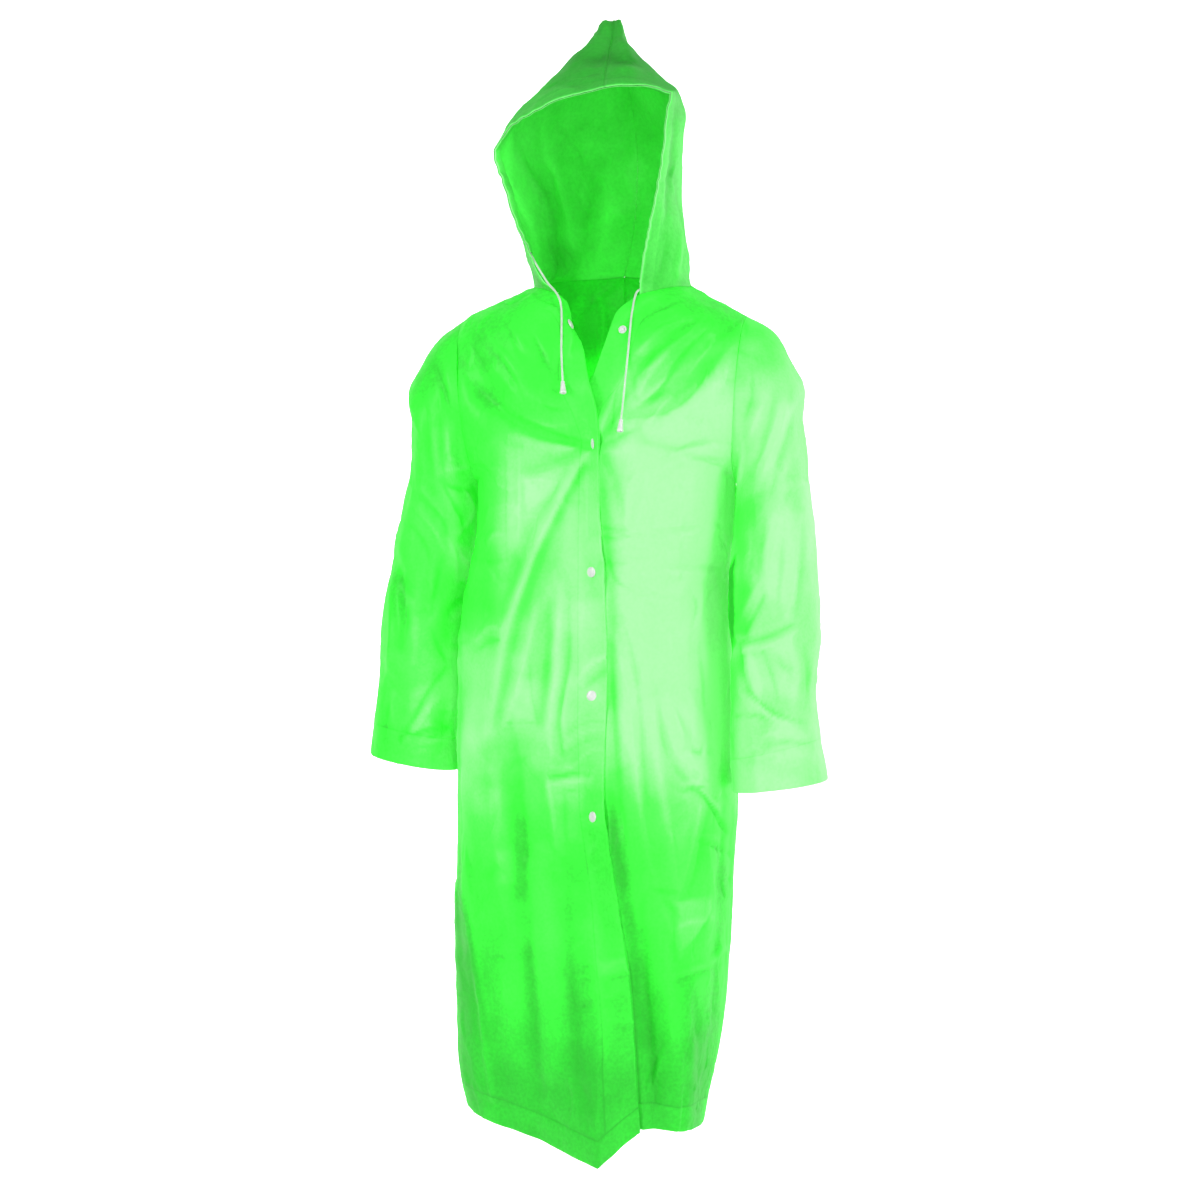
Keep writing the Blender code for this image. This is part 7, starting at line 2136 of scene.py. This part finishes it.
mouths = {n: int(np.argmin(np.abs(HOOD_UPS - HOOD_ENDS[n]))) for n in HOOD_ENDS}
one, two = mouths["right"], mouths["left"]
crown = (casing[0][-1] + casing[1][-1]) / 2
strip = np.concatenate([casing[0][one:-1], crown[None], casing[1][two:-1][::-1]])
strip = drawn_in(strip, {"first_row": 0.0015, "last_row": 0.0015})
marks = {
    k: np.concatenate([casing_marks[0][k][one:-1], casing_marks[0][k][-1:], casing_marks[1][k][two:-1][::-1]])
    for k in casing_marks[0]
}
film_piece(
    "hood_casing_film", [strip], [marks], shaded_hood_double_film, ["hood_casing"], HOOD_CENTRE
)
sheets["hood_casing"] = cut_of(strip)

# drawcord
tunnel = np.concatenate([lanes[0][one:-1], ((lanes[0][-1] + lanes[1][-1]) / 2)[None], lanes[1][two:-1][::-1]])
at = lengths(tunnel)
tunnel = at_lengths(tunnel, np.linspace(0.0, at[-1], int(at[-1] / 0.0012)))
run_cord = put("drawcord_run_braid", cord_mesh("drawcord_run_braid", tunnel, CORD_DIAMETER), braid, ["drawcord_run"])
cords = {}
for name, rows, way in (("right", CORD_RIGHT, lanes[0]), ("left", CORD_LEFT, lanes[1])):
    start = way[mouths[name]]
    along = way[mouths[name] - 3] - start
    along /= np.linalg.norm(along)
    route = smooth_route([start + along * CORD_START], rows, 0.0010)
    mesh = cord_mesh(f"drawcord_end_{name}_braid", route, CORD_DIAMETER)
    obj = put(f"drawcord_end_{name}_braid", mesh, braid, [f"drawcord_end_{name}"])
    down = route[-1] - route[-2]
    down /= np.linalg.norm(down)
    tip = turned_mesh(f"cord_tip_{name}_bell", rounded(TIP_FINE, 0.0005, 3))
    tip_obj = put(f"cord_tip_{name}_bell", tip, plastic, [f"cord_tip_{name}"])
    stand(tip_obj, route[-1] + down * 0.0001, -down)
    cords[name] = (obj, route, tip_obj)

# snaps
snap_column = int(np.argmin(np.abs(STRIP - SNAP_INSET)))


def snap_place(side, station):
    grid, normals = fronts[side]
    row = int(np.argmin(np.abs(STATIONS - station)))
    rows = slice(row - 1, row + 2)
    cols = slice(snap_column - 1, snap_column + 2)
    if side > 0 and station < 1.2:
        other = strip_end - 1 - snap_column
        cols = slice(other - 1, other + 2)
    point = grid[rows, cols].reshape(-1, 3).mean(axis=0)
    normal = normals[rows, cols].reshape(-1, 3).mean(axis=0)
    return point, normal / np.linalg.norm(normal)


for i, station in enumerate([NECK_SNAP] + FASTENED):
    point, normal = snap_place(-1, station)
    other, out = snap_place(1, station)
    items = [("cap", CAP_FINE, point + normal * FILM, normal)]
    if i == 0:
        items += [
            ("back", CAP_FINE, other - out * (INNER_LAY + FILM), -out),
            ("socket", RING_FINE, point - normal * (INNER_LAY + FILM), -normal),
            ("stud", STUD_FINE, other + out * FILM, out),
        ]
    else:
        items += [
            ("back", CAP_FINE, other - out * (INNER_LAY + FILM), -out),
            ("pair", PAIR_FINE, point - normal * (INNER_LAY + FILM), -normal),
        ]
    for kind, profile, at, axis in items:
        mesh = turned_mesh(f"snap_{i}_{kind}_fine", rounded(profile, 0.0004, 3))
        obj = put(f"snap_{i}_{kind}_fine", mesh, plastic, [f"snap_{i}_{kind}"])
        stand(obj, at, axis)

for name, (wide, long, area) in sheets.items():
    print(f"SHEET {name} {wide:.4f} {long:.4f} {area:.5f} share {area / wide / long:.3f}")
for name, (obj, route, tip) in cords.items():
    print(f"CORD {name} length {lengths(route)[-1]:.4f} exit {route[0]}")

# ---------------------------------------------------------------- floor and light
def studio_floor():
    """A pale floor that rises in a round bend to a pale wall behind."""
    profile = [(-6.0, 0.0), (1.6, 0.0)]
    for a in np.linspace(0, math.pi / 2, 17)[1:]:
        profile.append((1.6 + 1.4 * math.sin(a), 1.4 - 1.4 * math.cos(a)))
    profile.append((3.0, 5.0))
    points, faces = [], []
    for x in (-7.0, 7.0):
        points += [(x, y, z + FLOOR) for y, z in profile]
    count = len(profile)
    faces = [(i, i + 1, count + i + 1, count + i) for i in range(count - 1)]
    mesh = bpy.data.meshes.new("studio_floor")
    mesh.from_pydata(points, [], faces)
    mesh.shade_smooth()
    n = Nodes("pale_floor")
    place = n.add("ShaderNodeTexCoord").outputs["Object"]
    cloud = n.noise(0.6, 3.0, 0.5, 0.0, place)
    colour = n.ramp(cloud, [(0.3, (0.93, 0.93, 0.93)), (0.7, (0.97, 0.97, 0.97))])
    face = n.add("ShaderNodeBsdfPrincipled")
    face.inputs["Roughness"].default_value = 0.8
    n.put(face, "Base Color", colour.outputs[0])
    out = n.add("ShaderNodeOutputMaterial")
    n.tree.links.new(face.outputs[0], out.inputs[0])
    mesh.materials.append(n.material)
    obj = bpy.data.objects.new("studio_floor", mesh)
    scene.collection.objects.link(obj)


FLOOR = -1.47
studio_floor()

world = bpy.data.worlds.new("studio")
scene.world = world
world.use_nodes = True
background = world.node_tree.nodes["Background"]
background.inputs[0].default_value = (1.0, 1.0, 1.0, 1.0)
background.inputs[1].default_value = 0.36


def soft_light(name, place, aim, width, height, power):
    data = bpy.data.lights.new(name, "AREA")
    data.shape = "RECTANGLE"
    data.size, data.size_y, data.energy = width, height, power
    obj = bpy.data.objects.new(name, data)
    obj.location = place
    obj.rotation_euler = (Vector(aim) - Vector(place)).to_track_quat("-Z", "Y").to_euler()
    scene.collection.objects.link(obj)


soft_light("key_left", (-1.7, -1.7, 0.5), (0, 0, -0.4), 0.5, 1.3, 34)
soft_light("key_right", (2.1, -1.3, 0.4), (0, 0, -0.4), 0.6, 1.5, 40)
soft_light("front_fill", (0.3, -3.4, -0.2), (0, 0, -0.4), 1.8, 2.2, 30)
soft_light("top", (0.2, -0.8, 2.0), (0, 0, -0.3), 1.4, 0.8, 5)
soft_light("wall_left", (-2.6, 1.0, 0.6), (-2.0, 3.0, 0.0), 1.4, 2.2, 150)
soft_light("wall_right", (2.6, 1.0, 0.6), (2.0, 3.0, 0.0), 1.4, 2.2, 150)

bpy.context.view_layer.update()
